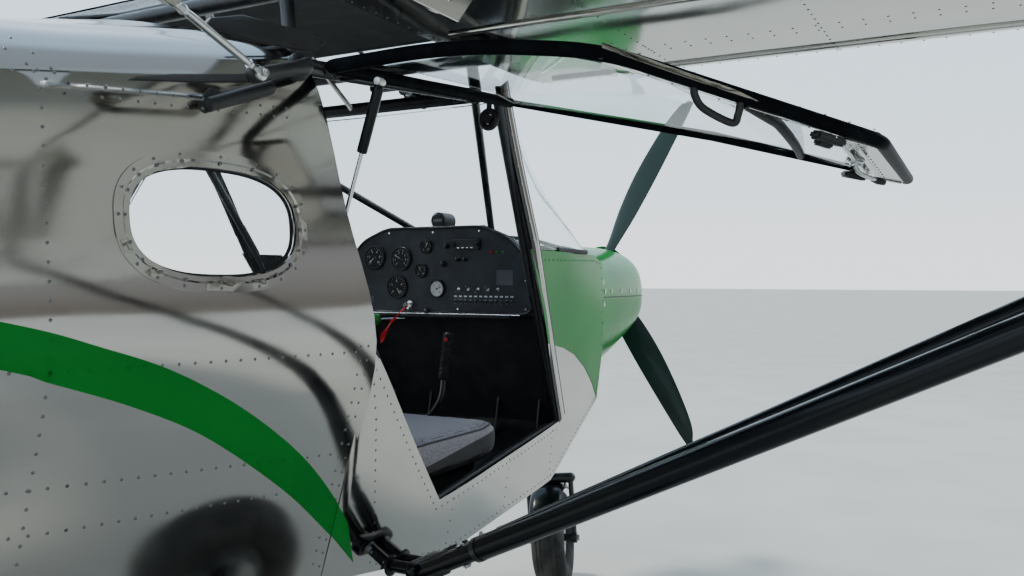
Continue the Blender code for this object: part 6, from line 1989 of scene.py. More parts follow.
# Seats
PAD_VOXEL = 0.0055
PAD_PRESSURE = 4.0
PAD_FRAMES = 20
PAD_REACH = 0.008
CUSHION_STATION = 2.003
# a plane across each cushion: faces above it get the pale cloth, faces below get the near-black copy as
# painted shade
CUSHION_SHADE_EDGE = place(1.74, 0, 0.868)
CUSHION_SHADE_EDGE_UP = Vector((-0.13, 0.0, 1.0)).normalized()


def swollen(name, bm, look, node, body="airframe"):
    """A padded form: voxel remesh, then cloth blown up from inside, with its movement capped."""
    bmesh.ops.recalc_face_normals(bm, faces=bm.faces)
    thing = put(name, mesh_from(name, bm))
    step = thing.modifiers.new("remesh", "REMESH")
    step.mode = "VOXEL"
    step.voxel_size = PAD_VOXEL
    smooth = thing.modifiers.new("smooth", "SMOOTH")
    smooth.factor = 0.5
    smooth.iterations = 4
    bpy.context.view_layer.update()
    base = applied(thing)
    thing.modifiers.clear()
    thing.data = base
    start = [v.co.copy() for v in base.vertices]
    cloth = thing.modifiers.new("cloth", "CLOTH")
    settings = cloth.settings
    settings.quality = 5
    settings.mass = 0.3
    settings.tension_stiffness = 12
    settings.compression_stiffness = 12
    settings.shear_stiffness = 6
    settings.bending_stiffness = 0.5
    settings.use_pressure = True
    settings.uniform_pressure_force = PAD_PRESSURE
    settings.effector_weights.gravity = 0.0
    scene = bpy.context.scene
    cloth.point_cache.frame_start = 1
    cloth.point_cache.frame_end = PAD_FRAMES
    for number in range(1, PAD_FRAMES + 1):
        scene.frame_set(number)
        bpy.context.view_layer.update()
    blown = applied(thing)
    thing.modifiers.clear()
    for vert, old in zip(blown.vertices, start):
        move = vert.co - old
        if move.length > PAD_REACH:
            vert.co = old + move.normalized() * PAD_REACH
    thing.data = blown
    scene.frame_set(1)
    thing.data.materials.clear()
    thing.data.materials.append(MAT[look])
    # second slot: the near-black cloth, painted shade for the pads' sides
    thing.data.materials.append(MAT["fabric_shade_and_trim"])
    thing.data.shade_smooth()
    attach(thing, body)
    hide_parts(node)
    return thing


def seat_form(width, deep, thick):
    """A cushion's starting form, drawn in as a rounded slab whose sides pull in between the corners."""
    rings = []
    outline = superellipse((0, 0), (deep / 2, width / 2), 120, 10.0)
    rows = ((0.0, 0.90), (0.10, 0.975), (0.30, 0.995), (0.62, 1.0), (0.86, 0.985), (0.97, 0.955), (1.0, 0.92))
    for up, share in rows:
        ring = []
        for a, b in outline:
            waist = 1.0 - 0.012 * (1 - abs(2 * a / deep) ** 4) * (1 - abs(2 * b / width) ** 4)
            ring.append(Vector((a * share * waist, b * share * waist, thick * up)))
        rings.append(ring)
    return loft(rings)


def around_cushion(tree, middle_y, half, count):
    """Points and normals of the cushion's top along a rounded line, found from above."""
    found = [tree.ray_cast(place(a, b, 1.2), Vector((0, 0, -1)))[:2]
             for a, b in superellipse((CUSHION_STATION, middle_y), half, count, 8.0)]
    return [(point, normal) for point, normal in found if point]


def make_cushion(side, word):
    """The seat's cushion: pale cloth above a cutting plane and near-black cloth below it, painted shade on
    its sides, with piping and stitches round its top.
    """
    y = side * 0.237
    bm = seat_form(0.420, 0.530, 0.082)
    bmesh.ops.translate(bm, vec=place(CUSHION_STATION, y, 0.798), verts=bm.verts)
    cushion = swollen(f"seat_pad_{word}", bm, "fabric", f"seat_cushion_{word}")
    split = bmesh.new()
    split.from_mesh(cushion.data)
    bmesh.ops.bisect_plane(split, geom=split.verts[:] + split.edges[:] + split.faces[:],
                           plane_co=CUSHION_SHADE_EDGE, plane_no=CUSHION_SHADE_EDGE_UP)
    split.to_mesh(cushion.data)
    split.free()
    # pale cloth above the plane, near-black cloth below it: painted shade on the sides
    for poly in cushion.data.polygons:
        poly.material_index = 0 if (poly.center - CUSHION_SHADE_EDGE).dot(CUSHION_SHADE_EDGE_UP) > 0 else 1
    tree = tree_of(cushion)
    seam = [point + Vector((0, 0, 0.0004)) for point, _ in around_cushion(tree, y, (0.250, 0.195), 120)]
    piece(f"seat_piping_{word}", closed_tube(seam, [0.0030] * len(seam), 8), "fabric_shade_and_trim", angle=70)
    stitches = around_cushion(tree, y, (0.241, 0.186), 150)
    parts = []
    for (p, n), (q, _) in zip(stitches, stitches[1:] + stitches[:1]):
        way = q - p
        if way.length > 1e-5:
            path = [p + n * rise + way * share
                    for rise, share in ((0.0004, 0.15), (0.0012, 0.42), (0.0004, 0.7))]
            parts.append(tube(path, 0.0007, 6))
    piece(f"seat_stitches_{word}", join(parts), "fabric_shade_and_trim", angle=70)


def make_seats():
    for side, word in SIDES:
        make_cushion(side, word)
        y = side * 0.222
        back = seat_form(0.372, 0.400, 0.064)
        lean = Matrix.Rotation(radians(-90 - 15.5), 4, "Y")
        bmesh.ops.transform(back, matrix=lean, verts=back.verts)
        middle = (place(2.3005, y, 0.815) + place(2.4105, y, 1.232)) / 2
        bmesh.ops.translate(back, vec=middle - back_middle(back), verts=back.verts)
        rest = swollen(f"seat_rest_{word}", back, "fabric", f"seat_back_{word}")
        # faces turned forward and up get the pale cloth, the rest the near-black copy: painted shade by which
        # way each face turns
        for poly in rest.data.polygons:
            poly.material_index = 0 if poly.normal.dot(Vector((1, 0, 0.25)).normalized()) > 0.60 else 1


def back_middle(bm):
    total = Vector()
    for vert in bm.verts:
        total += vert.co
    return total / len(bm.verts)


# Cabin frame of welded tubes
def make_frame_tubes():
    inner = 0.048
    front_roof, rear_roof = (FRONT_SPAR - 0.03, WING_UNDERSIDE + 0.030), (REAR_SPAR, WING_UNDERSIDE + 0.008)
    front_top = (DOOR_FRONT_HINGE[0] + 0.01, DOOR_FRONT_HINGE[1] + 0.010)
    rear_top = (DOOR_REAR_HINGE[0] + 0.01, DOOR_REAR_HINGE[1] + 0.005)
    sill_front = (DOOR_FRONT_FOOT[0] - 0.02, DOOR_FRONT_FOOT[1] - 0.045)
    sill_rear = (DOOR_REAR_FOOT[0] - 0.01, DOOR_REAR_FOOT[1] - 0.050)
    knee = (SEAM + 0.05, DOOR_KNEE[1] - 0.02)
    runs = []
    gussets = []
    for side in (-1, 1):
        front, rear = on_side(*front_top, side, inner), on_side(*rear_top, side, inner)
        runs.append(([front, rear], 0.0165))
        post_foot = on_side(*sill_front, side, 0.026) + FRONT * 0.050
        runs.append(([front + Vector((0.066, side * 0.022, -0.006)), post_foot], 0.0120))
        low = [on_side(*p, side, inner) for p in (sill_front, sill_rear, knee)]
        runs.append((low, 0.014))
        runs.append(([low[2], rear + Vector((0.004, 0, 0))], 0.014))
        brace = [place(1.300, side * 0.150, 1.4540), place(front_roof[0], side * 0.50, front_roof[1])]
        runs.append((brace, 0.0118))
        for corner in (sill_front, sill_rear, knee):
            runs.append(([on_side(*corner, side, inner), on_side(*corner, side, 0.0066)], 0.006))
        for (station, z), target in ((front_roof, front), (rear_roof, rear)):
            runs.append(([place(station, side * 0.505, z), target], 0.014))
        hinge_rear, hinge_front = hinge_points(side)
        for share in HINGE_SHARES:
            at = hinge_rear + (hinge_front - hinge_rear) * share
            beam = on_side(*between(rear_top, front_top, share), side, inner)
            runs.append(([Vector((at.x, beam.y, at.z)), at - Vector((0, side * 0.0110, 0))], 0.008))
            for shift in (-0.024, 0.024):
                gussets.append(box(Vector((at.x + shift, (at.y + beam.y) / 2 - side * 0.006, at.z)),
                                   (0.0035, 0.040, 0.020), None, 0.001, 1))
        anchor = on_side(*between(knee, rear_top, 0.46), side, inner)
        lower = on_side(GAS_FOOT[0], GAS_FOOT[1], side, GAS_FOOT[2])
        runs.append(([anchor, lower + (anchor - lower).normalized() * 0.0056], 0.0045))
    edge = side_y(*front_top) - inner
    for station, z in (front_top, rear_top):
        runs.append(([place(station, -edge, z), place(station, edge, z)], 0.0165))
    for station, z in (front_roof, rear_roof):
        runs.append(([place(station, -0.5997, z), place(station, 0.5997, z)], 0.0165))
    runs.append(([place(2.035, -0.30, 1.825), place(2.695, 0.30, 1.803)], 0.0095))
    runs.append(([place(2.035, 0.30, 1.825), place(2.695, -0.30, 1.803)], 0.0095))
    parts = []
    for path, radius in runs:
        parts.append(tube(path, radius, 18))
        for end in (path[0], path[-1]):
            parts.append(bead(end, radius * 1.10))
    piece("frame_tubes", join(parts + gussets), "steel", replaces=("cabin_frame",), angle=50)


def bead(at, radius):
    """A small ball that rounds off a welded joint."""
    bm = bmesh.new()
    bmesh.ops.create_icosphere(bm, subdivisions=2, radius=radius)
    bmesh.ops.translate(bm, vec=at, verts=bm.verts)
    return bm


def make_roof():
    """Skylight sheet with its edge strips, cross ribs and screws, and the lining under it."""
    upper = curve_points([(a, 0, b) for a, b in WING_UPPER], 12)

    def top(station):
        along = (station - WING_LEADING) / WING_CHORD
        for p, q in zip(upper, upper[1:]):
            if p.x <= along <= q.x and q.x > p.x:
                rise = p.z + (q.z - p.z) * (along - p.x) / (q.x - p.x)
                return WING_UNDERSIDE + WING_THICK * rise - WING_DROOP * along
        return WING_UNDERSIDE + WING_THICK * upper[-1].z - WING_DROOP

    edge = 0.5994
    stations = [WING_LEADING + WING_CHORD * (0.006 + (0.985 - 0.006) * (k / 30) ** 1.35) for k in range(31)]
    rows = [[place(s, edge * k / 8, top(s) - 0.0005) for k in range(-8, 9)] for s in stations]
    piece("skylight_sheet", solidify(loft(rows, closed=False), 0.0035, place(2.2, 0, 1.0)), "glass",
          replaces=("skylight",), angle=50)
    lining = []
    for k in range(27):
        station = 1.870 + 0.840 * k / 26
        lining.append([place(station, 0.590 * j / 8, top(station) - 0.020) for j in range(-8, 9)])
    piece("roof_lining", solidify(loft(lining, closed=False), 0.003, place(2.4, 0, 1.0)), "trim", angle=50)
    ribs = []
    for station in (1.845, 2.14, 2.42, 2.66):
        z = top(station) - 0.012
        ribs.append(tube([place(station, -0.595, z), place(station, 0.595, z)], 0.0070, 12))
    for side in (-1, 1):
        line = [place(s, side * 0.586, top(s) - 0.012) for s in stations[3:]]
        ribs.append(tube(line, 0.0075, 12))
    ribs.append(tube([place(s, 0, top(s) - 0.011) for s in stations[3:]], 0.0055, 12))
    piece("roof_ribs", join(ribs), "steel", angle=60)
    spots = []
    for side in (-1, 1):
        for s in stations[5::2]:
            spots.append((place(s, side * 0.586, top(s) - 0.0002), UP))
    rivets("roof_screws", spots, 0.0040, "bright")


def make_roof_fittings():
    """The boxes, knob, rod, strap and round vent under the roof."""
    boxes = [box(place(1.955, -0.300, 1.788), (0.100, 0.075, 0.034), None, 0.004),
             box(place(1.955, -0.300, 1.768), (0.080, 0.055, 0.012), None, 0.003),
             box(place(2.000, -0.230, 1.795), (0.030, 0.110, 0.020), None, 0.003),
             box(place(1.985, 0.120, 1.795), (0.060, 0.090, 0.026), None, 0.004)]
    piece("roof_boxes", join(boxes), "plastic", angle=40)
    knob = [(-0.020, 0.0), (-0.020, 0.012), (0.020, 0.012), (0.020, 0.0)]
    piece("roof_knob", turned(knob, place(1.955, -0.300, 1.752), FRONT, 20), "plastic", angle=40)
    rod_line = curve_points([place(2.66, -0.44, 1.700), place(2.45, -0.45, 1.712), place(2.20, -0.43, 1.722),
                             place(2.06, -0.33, 1.752), place(1.995, -0.310, 1.765)], 8)
    piece("roof_rod", tube(rod_line, 0.0034, 10), "steel", angle=60)
    strap = [place(2.640, -0.520, 1.690), place(2.600, -0.500, 1.690), place(2.500, -0.500, 1.626)]
    piece("roof_strap", tube(curve_points(strap, 6), 0.0075, 12, 0.35), "aluminium", angle=50)
    centre = place(1.967, -0.520, 1.690)
    turns = [2 * pi * k / 40 for k in range(40)]
    ring = [centre + Vector((0.0, cos(turn) * 0.021, sin(turn) * 0.021)) for turn in turns]
    parts = [closed_tube(ring, [0.0085] * 40, 14),
             turned([(-0.010, 0.0), (-0.010, 0.012), (0.010, 0.012), (0.010, 0.0)], centre, FRONT, 24),
             tube([centre + Vector((0, 0, 0.020)), place(1.975, -0.525, 1.742)], 0.007, 12)]
    piece("vent_ring", join(parts), "plastic", angle=50)


# Flaperons and their linkage
FLAP = {"leading": 2.855, "chord": 0.345, "thick": 0.044, "root": 0.68, "tip": 4.44, "height": 1.752}
FLAP_AXIS = (2.955, 1.684)
HORN = (3.122, 1.650)


def make_flaperons():
    upper = [(0.00, 0.45), (0.03, 0.80), (0.15, 1.00), (0.50, 0.75), (1.00, 0.12)]
    lower = [(1.00, 0.0), (0.50, 0.05), (0.15, 0.00), (0.03, 0.12), (0.00, 0.45)]
    outline = curve_points([(a, 0, b) for a, b in upper], 6)[:-1] + [Vector((1.0, 0, 0.12))]
    outline += curve_points([(a, 0, b) for a, b in lower], 6)[:-1]
    low = FLAP["height"] - FLAP["thick"] / 2
    for side, word in SIDES:
        body = body_of(f"flaperon_{word}")
        rings = []
        for k in range(61):
            y = FLAP["root"] + (FLAP["tip"] - FLAP["root"]) * k / 60
            at_end = k in (0, 60)
            ring = []
            for p in outline:
                along = 0.004 + p.x * 0.992 if at_end else p.x
                up = 0.40 + (p.z - 0.40) * (0.80 if at_end else 1.0)
                point = place(FLAP["leading"] + FLAP["chord"] * along, side * y,
                              low + FLAP["thick"] * up - 0.012 * p.x)
                swing = noise.noise(Vector((point.x * 6, point.y * 5, 2.0))) * 0.0006 * abs(sin(pi * k / 5))
                ring.append(point + UP * swing)
            rings.append(ring)
        hinge_s, hinge_z = FLAP_AXIS
        under = low + 0.010
        lug = [(hinge_s + 0.030, under), (hinge_s + 0.014, hinge_z), (hinge_s + 0.010, hinge_z - 0.010),
               (hinge_s, hinge_z - 0.014), (hinge_s - 0.010, hinge_z - 0.010), (hinge_s - 0.014, hinge_z),
               (hinge_s - 0.030, under)]
        lugs = [plate(lug, side * (y + 0.009), 0.008, 0.001) for y in bracket_spans()]
        skin = piece(f"flaperon_skin_{word}", loft(rings), "wing_sheet", body, replaces=(f"flaperon_{word}",),
                     angle=38)
        horn_s, horn_z = HORN
        horn = [(horn_s - 0.055, under), (horn_s + 0.045, under - 0.003), (horn_s + 0.016, horn_z + 0.004),
                (horn_s + 0.010, horn_z - 0.010), (horn_s - 0.002, horn_z - 0.014),
                (horn_s - 0.012, horn_z - 0.006), (horn_s - 0.018, horn_z + 0.008)]
        lugs.append(plate(horn, side * (FLAP["root"] + 0.012), 0.006, 0.001))
        piece(f"flaperon_lugs_{word}", join(lugs), "aluminium", body, angle=35)
        lines = [((station, FLAP["root"] + 0.02), (station, FLAP["tip"] - 0.02), 0.042)
                 for station in (FLAP["leading"] + 0.050, FLAP["leading"] + 0.150,
                                 FLAP["leading"] + FLAP["chord"] - 0.018)]
        rivets(f"flaperon_rivets_{word}", both_faces(tree_of(skin), lines, side), 0.0024, body=body, sides=6)
        bolts = [bolt(place(hinge_s, side * (y + 0.0045), hinge_z), (0, 1, 0), 0.0042, 0.020, 0.003)
                 for y in bracket_spans()]
        piece(f"flaperon_bolts_{word}", join(bolts), "bright", angle=30)
        make_linkage(side, word)


def make_linkage(side, word):
    y = side_y(2.735, 1.652)
    root = place(2.735, side * (y + 0.0022), 1.652)
    tip = place(2.884, side * (y + 0.045), 1.604)
    arm = [root, place(2.741, side * (y + 0.028), 1.650), place(2.79, side * (y + 0.040), 1.634), tip]
    arm = curve_points(arm, 6)
    radii = [0.0170 - 0.006 * k / (len(arm) - 1) for k in range(len(arm))]
    parts = [tube(arm, radii, 18, 0.75)]
    flange = [(-0.004, 0.0), (-0.004, 0.024), (0.0, 0.026), (0.006, 0.024), (0.012, 0.016), (0.012, 0.0)]
    parts.append(turned(flange, root, (0, side, 0), 28))
    eye = [(-0.009, 0.0), (-0.009, 0.013), (-0.007, 0.015), (0.007, 0.015), (0.009, 0.013), (0.009, 0.0)]
    parts.append(turned(eye, tip, (0, 1, 0), 24))
    stub = curve_points([place(2.790, side * (side_y(2.79, 1.605) - 0.004), 1.605),
                         place(2.822, side * (side_y(2.82, 1.595) + 0.016), 1.596),
                         place(2.930, side * (side_y(2.93, 1.552) + 0.018), 1.552)], 6)
    parts.append(tube(stub, 0.0115, 16, 0.8))
    blade = [(3.012, 1.645), (2.998, 1.662), (2.933, 1.684), (2.861, 1.688), (2.801, 1.693), (2.735, 1.690),
             (2.765, 1.664), (2.899, 1.650), (2.948, 1.650)]
    parts.append(plate(blade, side * 0.628, 0.010, 0.0015))
    piece(f"linkage_arm_{word}", join(parts), "plastic", replaces=(f"flap_linkage_{word}",), angle=45)
    end = place(HORN[0], side * (FLAP["root"] + 0.0035), HORN[1])
    start = tip + Vector((0, side * 0.012, 0))
    along = (end - start).normalized()
    rod = [start + along * (end - start).length * k / 14 for k in range(1, 14)]
    shapes = [tube(rod, [0.0048] * 2 + [0.0062] * 9 + [0.0048] * 2, 16)]
    rod_eye = [(-0.005, 0.0), (-0.005, 0.009), (-0.003, 0.0115), (0.003, 0.0115), (0.005, 0.009),
               (0.005, 0.0)]
    shank = [(0.008, 0.0), (0.008, 0.0062), (0.030, 0.0062), (0.032, 0.0078), (0.038, 0.0078), (0.038, 0.0)]
    for at, back in ((start, along), (end, -along)):
        shapes.append(turned(rod_eye, at, (0, 1, 0), 24))
        shapes.append(turned(shank, at, back, 6))
        shapes.append(bolt(at, (0, 1, 0), 0.0048, 0.022, 0.004))
    rod_piece = piece(f"linkage_rod_{word}", join(shapes), "bright", None, angle=40)
    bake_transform(rod_piece)


# Propeller and spinner
BLADE = (
    # radius, chord, twist from the disc in degrees, thickness, sweep of its middle line
    (0.055, 0.056, 38.0, 0.040, 0.000),
    (0.160, 0.078, 33.0, 0.026, 0.002),
    (0.300, 0.112, 26.0, 0.018, 0.006),
    (0.480, 0.118, 19.0, 0.013, 0.006),
    (0.680, 0.098, 14.0, 0.009, -0.002),
    (0.830, 0.068, 11.5, 0.006, -0.014),
    (0.90, 0.028, 10.5, 0.004, -0.030),
)
BLADE_SECTION = ((0.50, 0.0), (0.44, 0.24), (0.30, 0.42), (0.10, 0.55), (-0.12, 0.53), (-0.32, 0.34),
                 (-0.50, 0.06), (-0.50, -0.04), (-0.30, -0.20), (-0.05, -0.33), (0.20, -0.36), (0.40, -0.24))


def make_propeller():
    hub = place(0, 0, HUB_HEIGHT)
    columns = [curve_points([(row[0], row[k], 0) for row in BLADE], 7) for k in (1, 2, 3, 4)]
    rows = [(columns[0][i].x, *(column[i].y for column in columns)) for i in range(len(columns[0]))]
    parts = []
    for number in range(3):
        turn = radians(62) - 2 * pi * number / 3
        out = Vector((0, -cos(turn), sin(turn)))
        round_way = Vector((0, sin(turn), cos(turn)))
        rings = []
        for radius, chord, twist, thick, lean in rows:
            flat = round_way * cos(radians(twist)) + FRONT * sin(radians(twist))
            up = FRONT * cos(radians(twist)) - round_way * sin(radians(twist))
            middle = hub + out * radius + round_way * lean
            section = [flat * (u * chord) + up * (v * thick) + middle for u, v in BLADE_SECTION]
            rings.append(curve_points(section, 3, True))
        parts.append(loft(rings))
        socket = [(0.030, 0.0), (0.030, 0.030), (0.085, 0.026), (0.092, 0.022), (0.092, 0.0)]
        parts.append(turned(socket, hub, out, 28))
    drum = [(-0.043, 0.0), (-0.043, 0.072), (-0.040, 0.075), (0.040, 0.075), (0.043, 0.072), (0.043, 0.0)]
    parts.append(turned(drum, hub, FRONT, 48))
    piece("propeller_blades", join(parts), "blade", "propeller_unit", replaces=("propeller",), angle=40)
    bolts = []
    for k in range(6):
        turn = 2 * pi * (k + 0.5) / 6
        at = hub + Vector((-0.044, 0.055 * cos(turn), 0.055 * sin(turn)))
        head = [(-0.006, 0.0), (-0.006, 0.0075), (0.0, 0.0075), (0.0, 0.010), (0.0015, 0.010)]
        bolts.append(turned(head, at, FRONT, 6))
    piece("propeller_bolts", join(bolts), "bright", "propeller_unit", angle=30)
    profile = curve_points([(0.0433, 0.125, 0), (0.093, 0.1163, 0), (0.143, 0.0925, 0), (0.190, 0.055, 0),
                            (0.214, 0.0225, 0), (0.2199, 0.0006, 0)], 8)
    shape = [(0.0436, 0.0), (0.0436, 0.123)] + [(p.x, p.y) for p in profile] + [(0.22, 0.0)]
    dome = turned(shape, hub, FRONT, 72)
    piece("spinner_dome", dome, "green", "propeller_unit", replaces=("spinner",), angle=40)
    rim = [(0.0436, 0.1245), (0.0440, 0.1262), (0.0520, 0.1258), (0.0524, 0.1243)]
    piece("spinner_band", turned(rim, hub, FRONT, 72), "aluminium", "propeller_unit", angle=40)
    spots = []
    for k in range(12):
        turn = 2 * pi * k / 12
        out = Vector((0, cos(turn), sin(turn)))
        spots.append((hub + FRONT * 0.0482 + out * 0.1261, out))
    rivets("spinner_screws", spots, 0.0032, "bright", "propeller_unit")


# Wheels and gear
MAIN_STATION = 2.46
TRACK = 2.02
NOSE_AXLE = 0.535
STEER_REST = radians(18.0)


def tyre_shape(radius, width, rim, count=64):
    """A tyre's section, with a groove round its middle and two each side."""
    points = []
    middle = (radius + rim) / 2 + 0.004
    for i in range(count):
        turn = 2 * pi * i / count
        c, s = cos(turn), sin(turn)
        r = middle + (radius - middle if s > 0 else middle - rim) * abs(s) ** 0.8 * (1 if s > 0 else -1)
        a = width / 2 * abs(c) ** 0.75 * (1 if c > 0 else -1)
        if s > 0.55 and abs(a) < width * 0.36:
            groove = max(1 - abs(abs(a) / width - spot) / 0.020 for spot in (0.0, 0.15, 0.29))
            r -= 0.0042 * min(1.0, max(0.0, groove) * 1.6)
        points.append((a, r))
    return points


def rim_shape(rim, width, bore):
    """A rim's section, the same on both sides of the wheel's middle."""
    half = width / 2
    seat = rim - 0.0009
    outer = [(0.72, bore + 0.016), (0.66, bore + 0.022), (0.36, bore + 0.026), (0.28, bore + 0.032),
             (0.24, (bore + rim) / 2 + 0.004), (0.30, seat - 0.020), (0.50, seat - 0.010),
             (0.585, seat - 0.007), (0.62, seat - 0.003), (0.62, seat), (0.56, seat - 0.002)]
    return ([(-half * 0.72, bore), (half * 0.72, bore)] + [(half * share, r) for share, r in outer]
            + [(-half * share, r) for share, r in reversed(outer)])


def make_wheel(name, centre, axle, radius, width, rim, body, tyre_node, rim_node):
    piece(f"{name}_tyre", turned(tyre_shape(radius, width, rim), centre, axle, 96, True), "rubber", body,
          replaces=(tyre_node,), angle=50)
    piece(f"{name}_rim", turned(rim_shape(rim, width, 0.0161), centre, axle, 72, True), "cast", body,
          replaces=(rim_node,), angle=35)
    axle = Vector(axle).normalized()
    u = axle.orthogonal().normalized()
    v = axle.cross(u)
    parts = []
    for face in (-1, 1):
        for k in range(6):
            turn = 2 * pi * k / 6
            at = centre + (u * cos(turn) + v * sin(turn)) * 0.058 + axle * face * width * 0.155
            head = [(-0.004, 0.0), (-0.004, 0.0065), (0.004, 0.0065), (0.005, 0.0058), (0.005, 0.0)]
            parts.append(turned(head, at, axle * face, 6))
    valve = centre + u * (rim - 0.028) + axle * width * 0.10
    parts.append(tube([valve, valve + axle * 0.022 - u * 0.006], (0.0045, 0.0036), 12))
    piece(f"{name}_wheel_bolts", join(parts), "bright", body, angle=35)


def steer_frame():
    foot, top = place(LEG_FOOT[0], 0, LEG_FOOT[1]), place(LEG_TOP[0], 0, LEG_TOP[1])
    return foot, (top - foot).normalized()


def steered(bm):
    foot, axis = steer_frame()
    move = Matrix.Translation(foot) @ Matrix.Rotation(STEER_REST, 4, axis) @ Matrix.Translation(-foot)
    bmesh.ops.transform(bm, matrix=move, verts=bm.verts)
    return bm


def make_main_gear():
    for side, word in SIDES:
        centre = place(MAIN_STATION, side * TRACK / 2, 0.215)
        make_wheel(f"main_{word}", centre, (0, side, 0), 0.215, 0.150, 0.100, f"main_wheel_{word}",
                   f"main_tyre_{word}", f"main_rim_{word}")
        cap = [(0.058, 0.0), (0.058, 0.0135), (0.0610, 0.0120), (0.0620, 0.0)]
        piece(f"axle_nut_{word}", turned(cap, centre, (0, side, 0), 6), "bright", angle=30)
        disc = [(-0.068, 0.030), (-0.068, 0.078), (-0.064, 0.078), (-0.064, 0.030)]
        piece(f"brake_disc_{word}", turned(disc, centre, (0, side, 0), 48, True), "bright",
              f"main_wheel_{word}", angle=35)
        caliper = [box(centre + Vector((-0.070, -side * 0.066, 0.020)), (0.030, 0.030, 0.060), None, 0.004),
                   box(centre + Vector((-0.060, -side * 0.082, 0.010)), (0.050, 0.012, 0.026), None, 0.003)]
        piece(f"brake_caliper_{word}", join(caliper), "cast", angle=35)
        top_z = floor_z(MAIN_STATION - 0.05) - 0.0003
        end_y = TRACK / 2 - 0.105
        upper = [(0.0, top_z), (0.20, top_z), (0.30, top_z), (0.38, top_z - 0.024), (end_y - 0.05, 0.298),
                 (end_y - 0.004, 0.255), (end_y, 0.18)]
        lower = [(0.0, top_z - 0.020), (0.20, top_z - 0.020), (0.296, top_z - 0.020), (0.372, top_z - 0.044),
                 (end_y - 0.062, 0.276), (end_y - 0.024, 0.243), (end_y - 0.020, 0.18)]
        rows = []
        upper, lower = (curve_points([(y, 0, z) for y, z in line], 8) for line in (upper, lower))
        for a, b in zip(upper, lower):
            row = []
            for share, station in ((0.0, -0.046), (0.0, 0.046), (0.18, 0.050), (0.82, 0.050), (1.0, 0.046),
                                   (1.0, -0.046), (0.82, -0.050), (0.18, -0.050)):
                p = a.lerp(b, share)
                row.append(place(MAIN_STATION + station, side * p.x, p.z))
            rows.append(row)
        leg = ("main_gear_leg",) if side < 0 else ()
        piece(f"gear_spring_{word}", loft(rows), "black", replaces=leg, angle=30)
        clamps = []
        for y in (0.22, 0.34):
            z = top_z - 0.021
            clamps.append(box(place(MAIN_STATION, side * y, z), (0.115, 0.028, 0.006), None, 0.0015))
        piece(f"gear_clamps_{word}", join(clamps), "steel", angle=35)


def make_nose_gear():
    """The nose wheel with its fork, guard, leg and spring, steered as in the photograph."""
    foot, axis = steer_frame()
    centre = steered_point(place(NOSE_AXLE, 0, 0.200))
    turn = Matrix.Rotation(STEER_REST, 3, axis)
    make_wheel("nose", centre, turn @ Vector((0, 1, 0)), 0.200, 0.135, 0.092, "nose_wheel", "nose_tyre",
               "nose_rim")
    crown = foot - axis * 0.115
    arm = 0.135 / 2 + 0.024
    axle = place(NOSE_AXLE, 0, 0.200)
    parts = [tube([foot - axis * 0.0009, foot - axis * 0.03, crown - axis * 0.01], 0.0238, 28),
             tube([crown + Vector((0, -arm, 0)), crown + Vector((0, arm, 0))], 0.0218, 24),
             tube([axle + Vector((0, -arm - 0.012, 0)), axle + Vector((0, arm + 0.012, 0))], 0.0158, 32)]
    for side in (-1, 1):
        shift = Vector((0, side * arm, 0))
        path = [crown + shift, crown.lerp(axle, 0.5) + shift + Vector((0.004, 0, 0)), axle + shift]
        parts.append(tube(curve_points(path, 6), 0.0140, 18, 0.8))
        parts.append(bead(crown + shift, 0.0225))
        parts.append(turned([(-0.012, 0.0), (-0.012, 0.024), (0.010, 0.024), (0.012, 0.020), (0.012, 0.0)],
                            axle + shift, (0, side, 0), 24))
    piece("nose_fork_tubes", steered(join(parts)), "steel", "nose_steering_unit", replaces=("nose_fork",),
          angle=45)
    nuts = [turned([(0.0, 0.0145), (0.009, 0.0145), (0.010, 0.0130), (0.010, 0.0)],
                   axle + Vector((0, side * (arm + 0.0122), 0)), (0, side, 0), 6) for side in (-1, 1)]
    piece("nose_axle_nuts", steered(join(nuts)), "bright", "nose_steering_unit", angle=30)
    rows = []
    radius = 0.2278
    for step in range(33):
        t = radians(52 + 96 * step / 32)
        row = []
        for y, drop in ((-0.0665, -0.018), (-0.0655, -0.010), (-0.058, -0.003), (-0.040, 0.0005),
                        (0.0, 0.0022), (0.040, 0.0005), (0.058, -0.003), (0.0655, -0.010), (0.0665, -0.018)):
            row.append(axle + Vector((cos(t) * (radius + drop), y, sin(t) * (radius + drop))))
        rows.append(row)
    guard = steered(solidify(loft(rows, closed=False), 0.0026, axle))
    piece("nose_guard", guard, "black", "nose_steering_unit", replaces=("nose_fender",), angle=40)
    stays = []
    for side in (-1, 1):
        t = radians(100)
        hold = axle + Vector((cos(t) * (radius - 0.012), side * 0.0675, sin(t) * (radius - 0.012)))
        stays.append(tube([hold, crown + Vector((0, side * 0.072, -0.006))], 0.0045, 10))
    piece("nose_guard_stays", steered(join(stays)), "steel", "nose_steering_unit", angle=50)
    top = place(LEG_TOP[0], 0, LEG_TOP[1])
    leg = turned([(0.0, 0.0), (0.0, 0.026), (0.004, 0.030), (0.030, 0.030), (0.034, 0.0275), (0.19, 0.0275),
                  (0.196, 0.030), ((top - foot).length, 0.030), ((top - foot).length, 0.0)], foot, axis, 36)
    parts = [leg, box(place((0.676 + 0.9737) / 2, 0, 0.9675), (0.2977, 0.098, 0.034), None, 0.004)]
    piece("nose_leg_tube", join(parts), "steel", replaces=("nose_leg",), angle=35)
    coils = [foot + axis * (0.05 + 0.135 * k / 120) + (Matrix.Rotation(2 * pi * k / 20, 3, axis)
             @ axis.orthogonal().normalized()) * 0.0335 for k in range(121)]
    piece("nose_spring", tube(coils, 0.0040, 8), "steel", angle=60)


def steered_point(point):
    foot, axis = steer_frame()
    return foot + Matrix.Rotation(STEER_REST, 3, axis) @ (point - foot)


# Tail
TAIL_HEIGHT = 1.38


